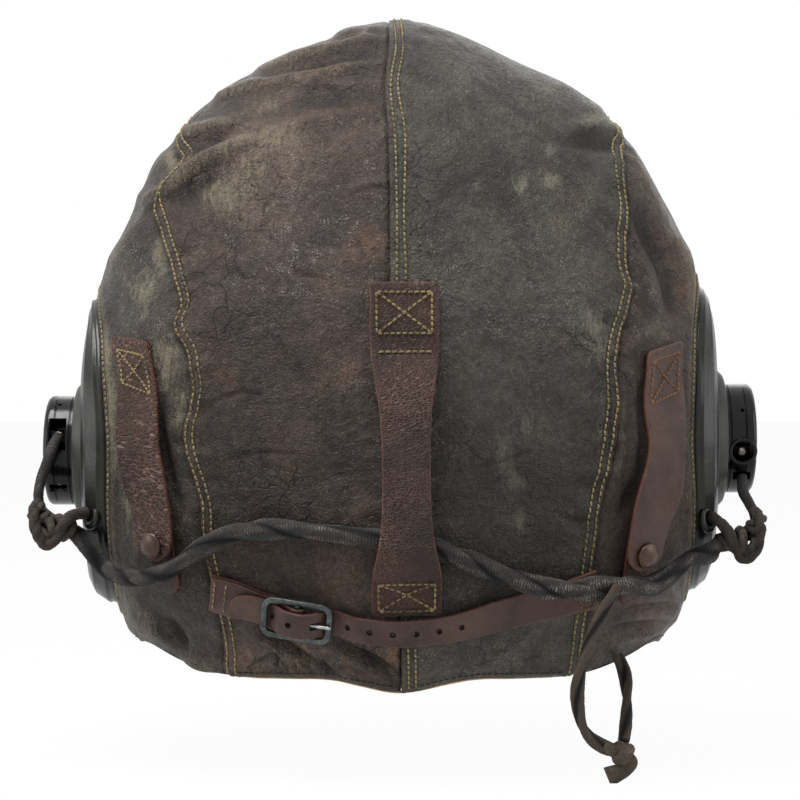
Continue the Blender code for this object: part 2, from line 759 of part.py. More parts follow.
def receiver_inside(side):
    name = SIDE_NAMES[side]
    place = receiver_matrix(side)
    inner = RECEIVER_RADIUS - RECEIVER_WALL
    floor = RECEIVER_FACE - RECEIVER_FACE_WALL - CLEAR
    rim = RECEIVER_END - CLEAR
    cap = turned(f"receiver_cap_{name}", [
        (0, rim), (EAR_CAP_RADIUS, rim), (EAR_CAP_RADIUS, rim - EAR_CAP_THICKNESS / 2),
        (EAR_CAP_RADIUS - EAR_CAP_THICKNESS / 2, rim - EAR_CAP_THICKNESS),
        (0, rim - EAR_CAP_THICKNESS / 2)], "bakelite", place, 20)
    bm = bmesh.new()
    holes = 6
    for index in range(holes):
        turn = Matrix.Rotation(2 * math.pi * index / holes, 4, "Z")
        shift = Matrix.Translation((SOUND_HOLE_RING, 0, rim - EAR_CAP_THICKNESS - OVERRUN))
        add_drum(bm, SOUND_HOLE_RADIUS, EAR_CAP_THICKNESS + 2 * OVERRUN, place @ turn @ shift, 8)
    cut(cap, mesh_object(f"sound_holes_{name}", bm, None, CUTTERS))
    disc = inner - RECEIVER_FIT
    top = RECEIVER_END + DIAPHRAGM_STEP
    turned(f"diaphragm_{name}", [
        (0, top), (disc, top), (disc, top - DIAPHRAGM_THICKNESS), (0, top - DIAPHRAGM_THICKNESS)],
        "magnet_steel", place, 16)
    for part, outer, bore, length, material in (
            ("magnet", MAGNET_RADIUS, MAGNET_BORE, MAGNET_LENGTH, "magnet_steel"),
            ("coil", COIL_RADIUS, COIL_BORE, COIL_LENGTH, "copper_winding")):
        turned(f"{part}_{name}", [
            (bore, floor), (outer, floor), (outer, floor - length), (bore, floor - length)],
            material, place, 16)


def terminals(side):
    """The moulded block behind the window and the port, with a terminal screw at each."""
    name = SIDE_NAMES[side]
    top = drum_angle(WINDOW_RISE[side])
    bottom = drum_angle(-PORT_FALL)
    half_turn = (top - bottom) / 2
    reach = RECEIVER_RADIUS - RECEIVER_WALL - RECEIVER_FIT
    tangent = (reach - BLOCK_THICKNESS) * math.tan(half_turn)
    half_length = min(tangent + TERMINAL_RADIUS, reach * math.sin(half_turn * 1.15))
    face = math.sqrt(reach**2 - half_length**2) - TERMINAL_HEIGHT
    block_frame = drum_frame(side, (top + bottom) / 2, face)
    bm = bmesh.new()
    size = (2 * half_length, BLOCK_WIDTH, BLOCK_THICKNESS)
    add_box(bm, size, block_frame @ Matrix.Translation((0, 0, -BLOCK_THICKNESS / 2)))
    block = mesh_object(f"terminal_block_{name}", bm, "bakelite")
    block.data.shade_flat()
    offset = half_length - TERMINAL_RADIUS
    for part, shift in (("upper", offset), ("lower", -offset)):
        place = block_frame @ Matrix.Translation((shift, 0, CLEAR))
        turned(f"terminal_screw_{part}_{name}", [
            (0, TERMINAL_HEIGHT), (TERMINAL_RADIUS * 0.7, TERMINAL_HEIGHT),
            (TERMINAL_RADIUS, TERMINAL_HEIGHT * 0.6), (TERMINAL_RADIUS, 0), (0, 0)],
            "nickel", place, 10)


# Press studs

def press_stud(name, place, strap_lift, strap_thickness):
    """Cap on the strap and post on the leather below, about the local Z axis of place."""
    cap_foot = strap_lift + strap_thickness + 2 * CLEAR
    base_top = CLEAR + STUD_BASE_HEIGHT
    shank_foot = base_top + CLEAR
    cap = turned(f"{name}_cap", [
        (0, cap_foot + STUD_CAP_HEIGHT),
        (STUD_CAP_RADIUS * 0.55, cap_foot + STUD_CAP_HEIGHT * 0.84),
        (STUD_CAP_RADIUS * 0.88, cap_foot + STUD_CAP_HEIGHT * 0.50),
        (STUD_CAP_RADIUS, cap_foot),
        (STUD_SHANK_RADIUS, cap_foot),
        (STUD_SHANK_RADIUS, shank_foot),
        (STUD_SOCKET_RADIUS, shank_foot),
        (STUD_SOCKET_RADIUS, cap_foot + CLEAR),
        (0, cap_foot + CLEAR)], "stud_lacquer", place, 16)
    post = turned(f"{name}_post", [
        (0, base_top + STUD_NUB_HEIGHT),
        (STUD_NUB_RADIUS, base_top + STUD_NUB_HEIGHT),
        (STUD_NUB_RADIUS, base_top),
        (STUD_BASE_RADIUS, base_top),
        (STUD_BASE_RADIUS, CLEAR),
        (0, CLEAR)], "nickel", place, 12)
    return cap, post


# Goggle straps

def centre_strap():
    """The middle strap, sewn down at both ends and standing off between them."""
    end_half = CENTRE_STRAP_END_WIDTH / 2
    neck_half = CENTRE_STRAP_NECK_WIDTH / 2
    length = CENTRE_STRAP_TOP - CENTRE_STRAP_BOTTOM
    lift_shares = [(0.0, 0.0), (0.19, 0.0), (0.30, 0.50), (0.45, 0.88), (0.60, 1.0), (0.72, 1.02),
                   (0.82, 1.02), (0.87, 0.62), (0.92, 0.04), (1.0, 0.0)]
    width_shares = [(0.0, 1.0), (0.22, 0.94), (0.40, 0.58), (0.58, 0.50), (0.75, 0.62), (0.88, 1.0),
                    (1.0, 1.0)]
    count = 26
    points, normals, halves = [], [], []
    for index in range(count + 1):
        part = index / count
        z = CENTRE_STRAP_TOP - length * part
        x = CENTRE_STRAP_SHIFT + CENTRE_STRAP_LEAN * part
        rise = CENTRE_STRAP_STAND_OFF * max(smooth_table(lift_shares, part), 0)
        wide = 2 * (smooth_table(width_shares, part) - 0.5)
        place = back_place(x, z)
        points.append(skin(*place, CLEAR + STRAP_LEATHER / 2 + rise))
        normals.append(outward(*place))
        halves.append(neck_half + (end_half - neck_half) * wide)
    stations = list(zip(points, widths_of(points, normals), halves))
    return strip("centre_goggle_strap", stations, STRAP_LEATHER, "strap_leather", 2)


def side_strap_line(side, part):
    """Place on the hood at a share of the way from a side strap's sewn end to its stud."""
    top_share, stud_share = SIDE_STRAP_ACROSS_SHARES[side]
    top, stud = SIDE_STRAP_HEIGHTS[side]
    sway = side * SIDE_STRAP_SWAY[side] * math.sin(math.pi * min(max(part, 0), 1))
    x = EAR_HALF_WIDTH * (top_share + (stud_share - top_share) * part) + sway
    z = top + (stud - top) * part
    return back_place(x, z)


def side_strap_length(side):
    top = skin(*side_strap_line(side, 0))
    stud = skin(*side_strap_line(side, 1))
    return (top - stud).length


def stud_strap_lift():
    """Height of the strap's underside at its stud, over the patch and the post's flange."""
    return PATCH_LEATHER + STUD_BASE_HEIGHT + 4 * CLEAR


def side_strap_lift(side, part):
    """Height of the strap's underside above the hood."""
    sewn = SIDE_STRAP_SEWN / side_strap_length(side)
    if part <= sewn:
        return CLEAR
    run = (part - sewn) / (1 - sewn)
    lift_shares = [(0.0, 0.0), (0.15, 0.45), (0.42, 1.0), (0.66, 0.72), (0.82, 0.08), (0.9, 0.0), (1.0, 0.0)]
    bow = SIDE_STRAP_STAND_OFF * max(smooth_table(lift_shares, run), 0)
    return CLEAR + bow + (stud_strap_lift() - CLEAR) * min(run / SIDE_STRAP_FLAT_SHARE, 1)


def stud_frame(side):
    """Local Z along the press stud, local X down the strap, local origin on the patch."""
    place = side_strap_line(side, 1)
    normal = outward(*place)
    ahead = skin(*side_strap_line(side, 1.02)) - skin(*side_strap_line(side, 0.98))
    return frame_at(skin(*place, CLEAR + PATCH_LEATHER), normal, ahead)


def side_strap_stations(side, parts, end):
    length = side_strap_length(side)
    points, normals, halves = [], [], []
    for part in parts:
        place = side_strap_line(side, part)
        points.append(skin(*place, side_strap_lift(side, part) + STRAP_LEATHER / 2))
        normals.append(outward(*place))
        wide = SIDE_STRAP_WIDTH / 2 * smooth_table(SIDE_STRAP_WIDTH_SHARES[side], part)
        halves.append(round_end((end - part) * length, wide, 0.8))
    return list(zip(points, widths_of(points, normals), halves))


def goggle_strap(side):
    """The sewn head stays on the hood, and the strap hinges below its stitching."""
    name = SIDE_NAMES[side]
    length = side_strap_length(side)
    sewn = SIDE_STRAP_SEWN / length
    end = 1 + SIDE_STRAP_PAST_STUD / length
    head = spread([0.0, sewn - HINGE_GAP / length], (3,))
    rest = spread([sewn, end - SIDE_STRAP_WIDTH / 2 / length, end], (14, 5))
    stations = side_strap_stations(side, head + rest, end)
    strip(f"goggle_strap_head_{name}", stations[:len(head)], STRAP_LEATHER, "strap_leather", 2)
    strap = strip(f"goggle_strap_{name}", stations[len(head):], STRAP_LEATHER, "strap_leather", 2)
    place = stud_frame(side)
    bm = bmesh.new()
    add_drum(bm, STUD_HOLE_RADIUS, 3 * OVERRUN, place @ Matrix.Translation((0, 0, -OVERRUN)), 16)
    cut(strap, mesh_object(f"stud_hole_{name}", bm, None, CUTTERS))
    strap_lift = stud_strap_lift() - CLEAR - PATCH_LEATHER
    press_stud(f"goggle_stud_{name}", place, strap_lift, STRAP_LEATHER)
    return strap


def stud_patch(side):
    """Leather patch under the press stud; its round end shows below the loom."""
    length = side_strap_length(side)
    start = 1 - PATCH_ABOVE_STUD / length
    end = 1 + PATCH_BELOW_STUD / length
    half = PATCH_WIDTH / 2
    parts = spread([start, end - half / length, end], (5, 5))
    points, normals, halves = [], [], []
    for part in parts:
        place = side_strap_line(side, part)
        points.append(skin(*place, CLEAR + PATCH_LEATHER / 2))
        normals.append(outward(*place))
        halves.append(round_end((end - part) * length, half))
    stations = list(zip(points, widths_of(points, normals), halves))
    return strip(f"stud_patch_{SIDE_NAMES[side]}", stations, PATCH_LEATHER, "strap_leather", 2)


def hinge_place(side):
    """Point on the hinge line of a side strap, in its outer face, and the direction of that line."""
    part = SIDE_STRAP_SEWN / side_strap_length(side)
    place = side_strap_line(side, part)
    point = skin(*place, CLEAR + STRAP_LEATHER)
    ahead = skin(*side_strap_line(side, part + 0.02)) - skin(*side_strap_line(side, part - 0.02))
    return point, ahead.cross(outward(*place)).normalized()


# Nape strap and buckle

def nape_height(x):
    return NAPE_END_HEIGHT - NAPE_SAG * (1 - (abs(x) / NAPE_END_SPREAD) ** NAPE_SAG_POWER)


def nape_place(x):
    return back_place(x, nape_height(x))


def buckle_frame_matrix():
    """Local X along the strap to the right, local Z away from the hood, origin at the bar."""
    place = nape_place(-BUCKLE_SPREAD)
    along = skin(*nape_place(-BUCKLE_SPREAD + CLEAR)) - skin(*nape_place(-BUCKLE_SPREAD - CLEAR))
    flat = frame_at(skin(*place, BUCKLE_LIFT), outward(*place), along)
    return flat @ Matrix.Rotation(BUCKLE_TILT, 4, "Y")


FOLD_RADIUS = BUCKLE_BAR * math.sqrt(0.5) + BAR_CLEAR / 2
END_BAR = BUCKLE_LENGTH / 2 - BUCKLE_BAR / 2
CHAPE_TOP_LIFT = CLEAR + 2 * CHAPE_LEATHER + CHAPE_LAYER_GAP
NAPE_OVER_CHAPE = CHAPE_TOP_LIFT + 3 * CLEAR
NAPE_OVER_BAR = BUCKLE_LIFT + FOLD_RADIUS + CHAPE_LEATHER + 2 * CLEAR
NAPE_UNDER_BAR = 3 * CLEAR


def nape_lift(x):
    """Height of the nape strap's underside: over the centre strap, then in and out of the buckle."""
    table = [
        (-NAPE_TIP_SPREAD, NAPE_OVER_CHAPE),
        (-BUCKLE_SPREAD - END_BAR - BUCKLE_BAR, NAPE_OVER_CHAPE),
        (-BUCKLE_SPREAD - END_BAR + BUCKLE_BAR, NAPE_OVER_CHAPE),
        (-BUCKLE_SPREAD - 0.40 * END_BAR, NAPE_OVER_BAR - 2 * CLEAR),
        (-BUCKLE_SPREAD, NAPE_OVER_BAR + CLEAR),
        (-BUCKLE_SPREAD + 0.32 * END_BAR, NAPE_OVER_BAR - CLEAR),
        (-BUCKLE_SPREAD + 0.66 * END_BAR, (NAPE_OVER_BAR + NAPE_UNDER_BAR) / 2),
        (-BUCKLE_SPREAD + END_BAR - BUCKLE_BAR, NAPE_UNDER_BAR),
        (-BUCKLE_SPREAD + END_BAR + BUCKLE_BAR, NAPE_UNDER_BAR),
        (-CENTRE_STRAP_END_WIDTH * 0.58, NAPE_MIDDLE_LIFT),
        (CENTRE_STRAP_END_WIDTH * 0.74, NAPE_MIDDLE_LIFT),
        (NAPE_END_SPREAD / 2, NAPE_LEATHER / 2),
        (NAPE_END_SPREAD - NAPE_SEWN_WIDTH, CLEAR),
        (NAPE_END_SPREAD, CLEAR),
    ]
    return smooth_table(table, x)


def nape_strap():
    """Sewn at the right, punched, and passed through the buckle to its pointed tip."""
    width_shares = [(-1.0, 1.0), (0.0, 1.0), (0.45, 1.15), (0.80, 1.32), (1.0, NAPE_SEWN_WIDTH / NAPE_MIDDLE_WIDTH)]
    fine = 240
    whole = NAPE_END_SPREAD + NAPE_TIP_SPREAD
    track = []
    for index in range(fine + 1):
        x = NAPE_END_SPREAD - whole * index / fine
        track.append((x, skin(*nape_place(x), nape_lift(x) + NAPE_LEATHER / 2)))
    lengths = [0.0]
    for before, after in zip(track, track[1:]):
        lengths.append(lengths[-1] + (after[1] - before[1]).length)

    def at_length(distance):
        index = 0
        while index < fine - 1 and lengths[index + 1] < distance:
            index += 1
        part = (distance - lengths[index]) / (lengths[index + 1] - lengths[index])
        return track[index][0] + (track[index + 1][0] - track[index][0]) * part

    def length_at(x):
        return lengths[min(range(fine), key=lambda i: abs(track[i][0] - x))]

    buckle_start = length_at(END_BAR + OVERRUN - BUCKLE_SPREAD)
    taper = NAPE_MIDDLE_WIDTH
    distances = spread([0.0, buckle_start, lengths[-1] - taper, lengths[-1]], (14, 18, 4))
    points, normals, halves = [], [], []
    for distance in distances:
        x = at_length(distance)
        place = nape_place(x)
        points.append(skin(*place, nape_lift(x) + NAPE_LEATHER / 2))
        normals.append(outward(*place))
        wide = NAPE_MIDDLE_WIDTH / 2 * smooth_table(width_shares, x / NAPE_END_SPREAD)
        halves.append(round_end(lengths[-1] - distance, wide, taper / wide))
    stations = list(zip(points, widths_of(points, normals), halves))
    strap = strip("nape_strap", stations, NAPE_LEATHER, "strap_leather", 2)
    first = length_at(FIRST_HOLE_SPREAD)
    bm = bmesh.new()
    count = HOLES_BEFORE_BUCKLE + 1 + HOLES_PAST_PRONG
    for index in range(count):
        distance = first + HOLE_PITCH * index
        if index == HOLES_BEFORE_BUCKLE:
            distance = length_at(PRONG_HOLE_SHARE * END_BAR - BUCKLE_SPREAD)
        x = at_length(distance)
        here = skin(*nape_place(x), nape_lift(x) + NAPE_LEATHER / 2)
        ahead_x = at_length(distance + CLEAR)
        ahead = skin(*nape_place(ahead_x), nape_lift(ahead_x) + NAPE_LEATHER / 2) - here
        normal = outward(*nape_place(x))
        across = ahead.cross(normal)
        place = frame_at(here, across.cross(ahead), ahead)
        if index == HOLES_BEFORE_BUCKLE:
            add_box(bm, (PRONG_HOLE_LENGTH, PRONG_SLOT_WIDTH, 2 * OVERRUN), place)
        else:
            add_drum(bm, HOLE_RADIUS, OVERRUN, place @ Matrix.Translation((0, 0, -OVERRUN / 2)), 8)
    return cut(strap, mesh_object("strap_holes", bm, None, CUTTERS))


def buckle_strap():
    """The short strap that is sewn down and folded round the buckle's bar."""
    radius = FOLD_RADIUS + CHAPE_LEATHER / 2
    low = CLEAR + CHAPE_LEATHER / 2
    high = CHAPE_TOP_LIFT - CHAPE_LEATHER / 2
    bar = -BUCKLE_SPREAD
    lead_in = bar - 0.45 * END_BAR
    flat = bar - 0.95 * END_BAR
    line = [(-CHAPE_END_SPREAD + (CHAPE_END_SPREAD + flat) * i / 6, low) for i in range(7)]
    line += [(lead_in, low + 0.25 * (BUCKLE_LIFT - radius - low))]
    turns = 9
    start = math.radians(60)
    for index in range(turns + 1):
        turn = start + (2 * math.pi - 2 * start) * index / turns
        line.append((bar - radius * math.cos(turn), BUCKLE_LIFT - radius * math.sin(turn)))
    line += [(lead_in, high + 0.52 * (BUCKLE_LIFT + radius - high))]
    line += [(flat + (-CHAPE_END_SPREAD + OVERRUN - flat) * i / 5, high) for i in range(6)]
    points, widths, halves = [], [], []
    for x, lift in line:
        place = nape_place(x)
        ahead = skin(*nape_place(x + CLEAR)) - skin(*nape_place(x - CLEAR))
        points.append(skin(*place, lift))
        widths.append(ahead.cross(outward(*place)).normalized())
        clear_of_frame = BUCKLE_SPREAD + BUCKLE_LENGTH / 2 + BAR_CLEAR
        part = (abs(x) - clear_of_frame) / (CHAPE_END_SPREAD - clear_of_frame)
        wide = CHAPE_FOLD_WIDTH + (CHAPE_SEWN_WIDTH - CHAPE_FOLD_WIDTH) * min(max(2 * part, 0), 1)
        halves.append(wide / 2)
    stations = list(zip(points, widths, halves))
    strap = strip("buckle_strap", stations, CHAPE_LEATHER, "strap_leather", 2)
    bm = bmesh.new()
    slot = (4 * radius, PRONG_SLOT_WIDTH, 4 * radius)
    add_box(bm, slot, buckle_frame_matrix())
    return cut(strap, mesh_object("prong_slot", bm, None, CUTTERS))


def rounded_outline(curve, centre_x, length, height, radius, corner_steps=3):
    """Adds one closed outline with round corners to a flat curve."""
    points = []
    for quarter, (sign_x, sign_y) in enumerate(((1, 1), (-1, 1), (-1, -1), (1, -1))):
        for step in range(corner_steps + 1):
            angle = math.pi / 2 * (quarter + step / corner_steps)
            x = centre_x + sign_x * (length / 2 - radius) + radius * math.cos(angle)
            y = sign_y * (height / 2 - radius) + radius * math.sin(angle)
            points.append((x, y))
    spline = curve.splines.new("POLY")
    spline.points.add(len(points) - 1)
    for point, (x, y) in zip(spline.points, points):
        point.co = (x, y, 0, 1)
    spline.use_cyclic_u = True


def buckle_frame():
    """A flat frame with a middle bar."""
    curve = bpy.data.curves.new("buckle_frame", "CURVE")
    curve.dimensions = "2D"
    curve.fill_mode = "BOTH"
    rim = BUCKLE_BAR * 0.22
    curve.extrude = BUCKLE_BAR / 2 - rim
    curve.bevel_depth = rim
    curve.bevel_resolution = 0
    rounded_outline(curve, 0, BUCKLE_LENGTH - 2 * rim, BUCKLE_HEIGHT - 2 * rim, BUCKLE_ROUND - rim)
    hole = BUCKLE_LENGTH / 2 - 1.5 * BUCKLE_BAR + 2 * rim
    middle = (BUCKLE_LENGTH / 2 - BUCKLE_BAR / 2) / 2
    for side in (-1, 1):
        rounded_outline(
            curve, side * middle, hole, BUCKLE_HEIGHT - 2 * BUCKLE_BAR + 2 * rim, BUCKLE_ROUND - BUCKLE_BAR + rim)
    source = bpy.data.objects.new("buckle_outline", curve)
    CUTTERS.objects.link(source)
    bpy.context.view_layer.update()
    evaluated = source.evaluated_get(bpy.context.evaluated_depsgraph_get())
    mesh = bpy.data.meshes.new_from_object(evaluated)
    bpy.data.objects.remove(source, do_unlink=True)
    bm = bmesh.new()
    bm.from_mesh(mesh)
    bpy.data.meshes.remove(mesh)
    bmesh.ops.remove_doubles(bm, verts=bm.verts, dist=WELD)
    frame = mesh_object("buckle_frame", bm, "buckle_steel")
    frame.matrix_world = buckle_frame_matrix()
    return frame


def cord_curve(name, points, radius, material, resolution=2, matrix=None):
    curve = bpy.data.curves.new(name, "CURVE")
    curve.dimensions = "3D"
    curve.bevel_depth = radius
    curve.bevel_resolution = resolution
    curve.use_fill_caps = True
    spline = curve.splines.new("POLY")
    spline.points.add(len(points) - 1)
    for knot, point in zip(spline.points, points):
        knot.co = (*point, 1)
    obj = bpy.data.objects.new(name, curve)
    PARTS.objects.link(obj)
    curve.materials.append(MATERIALS[material])
    if matrix:
        obj.matrix_world = matrix
    return obj


def buckle_prong():
    """A bent wire: an eye round the bar, then a shank that rests on the end bar."""
    eye = FOLD_RADIUS + BAR_CLEAR / 2 + PRONG_RADIUS
    points = []
    steps = 12
    for index in range(steps + 1):
        angle = math.radians(-55 - (360 - 125) * index / steps)
        points.append(Vector((eye * math.cos(angle), 0, eye * math.sin(angle))))
    rest = BUCKLE_BAR / 2 + PRONG_REST_CLEAR + PRONG_RADIUS
    rise = points[-1].z
    tip = END_BAR + BUCKLE_BAR * 0.6
    for part in (0.4, 0.7, 1.0):
        points.append(Vector((points[steps].x + (tip - points[steps].x) * part, 0, rise + (rest - rise) * part)))
    return cord_curve("buckle_prong", points, PRONG_RADIUS, "buckle_steel", 2, buckle_frame_matrix())


# Chin strap

def chin_height(x):
    """Height of the chin strap where it hangs under the chin."""
    return CHIN_LOW + CHIN_RISE * (x / CHIN_SHOULDER_SPREAD) ** 2


def flap_station(side, height, gap=CLEAR):
    """Point over a cheek flap's outer face for the chin strap, and the direction of its width."""
    place = side_place(side, CHIN_FORWARD, height)
    way = on_side(side, CHIN_FORWARD, height - CLEAR) - on_side(side, CHIN_FORWARD, height + CLEAR)
    return skin(*place, gap + CHIN_LEATHER / 2), way.cross(outward(*place)).normalized()


def chin_strip(name, keys, start_width, count, round_it=False):
    """A strap through key points, its width turning from the flap's to straight forward."""
    tables = [[(i, key[axis]) for i, key in enumerate(keys)] for axis in range(3)]
    steps = [(len(keys) - 1) * i / count for i in range(count + 1)]
    if round_it:
        steps = steps[:-1] + [steps[-2] + (steps[-1] - steps[-2]) * part for part in (0.35, 0.7, 1.0)]
    points = [Vector([smooth_table(table, step) for table in tables]) for step in steps]
    total = sum((b - a).length for a, b in zip(points, points[1:]))
    forward = Vector((0, 1 if start_width.y > 0 else -1, 0))
    stations = []
    run = 0.0
    for index, point in enumerate(points):
        if index:
            run += (point - points[index - 1]).length
        turn = min(run / (2 * CHIN_STRAP_WIDTH), 1)
        half = CHIN_STRAP_WIDTH / 2
        if round_it:
            half = round_end(total - run, half, 0.8)
        stations.append((point, start_width.lerp(forward, turn).normalized(), half))
    return strip(name, stations, CHIN_LEATHER, "strap_leather", 2)


def chin_start(side, gap=CLEAR):
    """Hinge station on a flap and the point just past the flap's edge."""
    hinge, width = flap_station(side, CHIN_HINGE_HEIGHT, gap)
    above, _ = flap_station(side, CHIN_HINGE_HEIGHT + CLEAR, gap)
    past_edge = hinge + (hinge - above).normalized() * CHIN_PAST_EDGE
    return hinge, past_edge, width


def chin_strap():
    """Sewn to the left flap, across under the chin, and held under the right tab by a press stud."""
    head = [(*flap_station(-1, height), CHIN_STRAP_WIDTH / 2)
            for height in spread([CHIN_SEWN_TOP, CHIN_HINGE_HEIGHT + CLEAR], (3,))]
    strip("chin_strap_head", head, CHIN_LEATHER, "strap_leather", 2)
    hinge, past_edge, width = chin_start(-1)
    keys = [hinge, past_edge]
    for part in (1.0, 0.75, 0.4, 0.0):
        x = -CHIN_SHOULDER_SPREAD * part
        keys.append(Vector((x, CHIN_FORWARD, chin_height(x))))
    flat = CHIN_STUD_SPREAD - CHIN_END_PAST_STUD
    for x in (flat, CHIN_STUD_SPREAD, CHIN_STUD_SPREAD + CHIN_END_PAST_STUD):
        keys.append(Vector((x, CHIN_FORWARD, chin_height(flat))))
    return chin_strip("chin_strap", keys, width, 22, True)


def chin_tab():
    """Sewn to the right flap; its stud points down through the strap's end."""
    drop = CHIN_LEATHER + STUD_BASE_HEIGHT + 3 * CLEAR
    flat = CHIN_STUD_SPREAD - CHIN_END_PAST_STUD
    height = chin_height(flat) + drop
    hinge, past_edge, width = chin_start(1, 5 * CLEAR)
    sewn, _ = flap_station(1, CHIN_SEWN_TOP, 2 * CLEAR)
    middle, _ = flap_station(1, (CHIN_SEWN_TOP + CHIN_HINGE_HEIGHT) / 2, 3 * CLEAR)
    shoulder = (CHIN_STUD_SPREAD + CHIN_END_PAST_STUD + past_edge.x) / 2
    keys = [sewn, middle, hinge, past_edge,
            Vector((shoulder, CHIN_FORWARD, (2 * height + past_edge.z) / 3)),
            Vector((CHIN_STUD_SPREAD + CHIN_END_PAST_STUD, CHIN_FORWARD, height)),
            Vector((CHIN_STUD_SPREAD + STUD_BASE_RADIUS, CHIN_FORWARD, height)),
            Vector((CHIN_STUD_SPREAD, CHIN_FORWARD, height)),
            Vector((flat, CHIN_FORWARD, height))]
    chin_strip("chin_tab", keys, width, 16)
    foot = Vector((CHIN_STUD_SPREAD, CHIN_FORWARD, height - CHIN_LEATHER / 2))
    return frame_at(foot, Vector((0, 0, -1)), Vector((1, 0, 0))), drop - CHIN_LEATHER


def chin_pieces():
    strap = chin_strap()
    place, strap_lift = chin_tab()
    bm = bmesh.new()
    add_drum(bm, STUD_HOLE_RADIUS, 2 * OVERRUN, place, 16)
    cut(strap, mesh_object("chin_stud_hole", bm, None, CUTTERS))
    press_stud("chin_stud", place, strap_lift, CHIN_LEATHER)


def chin_hinge():
    """Point on the chin strap's hinge line, in its outer face, and the direction of that line."""
    hinge, width = flap_station(-1, CHIN_HINGE_HEIGHT)
    normal = outward(*side_place(-1, CHIN_FORWARD, CHIN_HINGE_HEIGHT))
    return hinge + normal * CHIN_LEATHER / 2, width if width.y > 0 else -width


def mask_stud(side, part):
    y, z = MASK_STUD_PLACES[part]
    degrees, share = side_place(side, y, z)
    place = frame_at(skin(degrees, share), outward(degrees, share), Vector((0, 1, 0)))
    top = CLEAR + MASK_STUD_BASE_HEIGHT + MASK_STUD_HEIGHT
    neck = CLEAR + MASK_STUD_BASE_HEIGHT
    return turned(f"mask_stud_{part}_{SIDE_NAMES[side]}", [
        (0, top), (MASK_STUD_KNOB_RADIUS, top), (MASK_STUD_KNOB_RADIUS, top - MASK_STUD_HEIGHT / 3),
        (MASK_STUD_NECK_RADIUS, top - MASK_STUD_HEIGHT / 2), (MASK_STUD_NECK_RADIUS, neck),
        (MASK_STUD_BASE_RADIUS, neck), (MASK_STUD_BASE_RADIUS, CLEAR), (0, CLEAR)],
        "nickel", place, 14)


# Cords

# The loom across the back: shares of the way across to the ear, then (height, height above the hood)
LOOM_ACROSS_SHARES = [
    -0.8420, -0.8015, -0.7443, -0.6947, -0.6412, -0.5878, -0.5344, -0.4656, -0.3893,
    -0.3053, -0.2137, -0.1374, -0.0458, 0.0305, 0.0992, 0.1679, 0.2366, 0.3053,
    0.3664, 0.4275, 0.4962, 0.5649, 0.6336, 0.6908, 0.7443, 0.7901, 0.8321,
]
LOOM_HEIGHTS = [
    (-0.0480, 0.0062), (-0.0500, 0.0068), (-0.0504, 0.0072), (-0.0499, 0.0074), (-0.0474, 0.0072),
    (-0.0425, 0.0060), (-0.0378, 0.0050), (-0.0338, 0.0045), (-0.0322, 0.0043), (-0.0322, 0.0042),
    (-0.0330, 0.0042), (-0.0340, 0.0042), (-0.0352, 0.0042), (-0.0366, 0.0042), (-0.0390, 0.0042),
    (-0.0425, 0.0043), (-0.0460, 0.0046), (-0.0492, 0.0052), (-0.0518, 0.0062), (-0.0532, 0.0070),
    (-0.0535, 0.0074), (-0.0530, 0.0074), (-0.0525, 0.0074), (-0.0530, 0.0076), (-0.0505, 0.0066),
    (-0.0480, 0.0054), (-0.0450, 0.0048),
]

# Routes at the ears: each point's distance past the end of the ear line, then y and z
LEFT_LOOM_START = [(-0.00080, -0.0387, -0.0356), (-0.00480, -0.0415, -0.0378), (-0.00950, -0.0460, -0.0425)]
RIGHT_LOOM_END = [(-0.01050, -0.0465, -0.0445), (-0.00600, -0.0395, -0.0420), (-0.00220, -0.0362, -0.0402)]

LEAD_ROUTES = {
    -1: [(0.00670, -0.01816, 0.00083), (0.00670, -0.0234, -0.0003), (0.00710, -0.0270, -0.0020),
         (0.00820, -0.0292, -0.0055), (0.00970, -0.0306, -0.0105), (0.01160, -0.0318, -0.0165),
         (0.01240, -0.0327, -0.0225), (0.01140, -0.0331, -0.0275), (0.00850, -0.0333, -0.0304),
         (0.00517, -0.03452, -0.03232), (0.00245, -0.03643, -0.03382), (-0.00028, -0.03833, -0.03531)],
    1: [(0.00670, -0.01688, -0.01535), (0.00670, -0.01923, -0.01749), (0.00620, -0.0250, -0.0212),
        (0.00780, -0.0292, -0.0252), (0.00950, -0.0308, -0.0290), (0.01000, -0.0304, -0.0330),
        (0.00750, -0.0302, -0.0362), (0.00349, -0.03126, -0.0375), (0.00089, -0.03351, -0.03873),
        (-0.00170, -0.03577, -0.03996)],
}

TIE_ROUTES = {
    -1: [(-0.00773, -0.04050, -0.02863), (-0.00540, -0.04265, -0.02912), (-0.00260, -0.0460, -0.0298),
         (0.00020, -0.0480, -0.0325), (0.00350, -0.0478, -0.0390), (0.00750, -0.0480, -0.0408),
         (0.01100, -0.0492, -0.0350), (0.01220, -0.0465, -0.0276), (0.01200, -0.0410, -0.0256),
         (0.01200, -0.0356, -0.0256)],
    1: [(-0.00839, -0.03930, -0.03035), (-0.00690, -0.0417, -0.0314), (-0.00460, -0.0436, -0.0332),
        (-0.00200, -0.0442, -0.0375), (0.00100, -0.0430, -0.0430), (0.00400, -0.0424, -0.0468),
        (0.00820, -0.0440, -0.0440), (0.01000, -0.0458, -0.0370), (0.00930, -0.0432, -0.0300),
        (0.00930, -0.0385, -0.0288), (0.00930, -0.0329, -0.0288)],
}

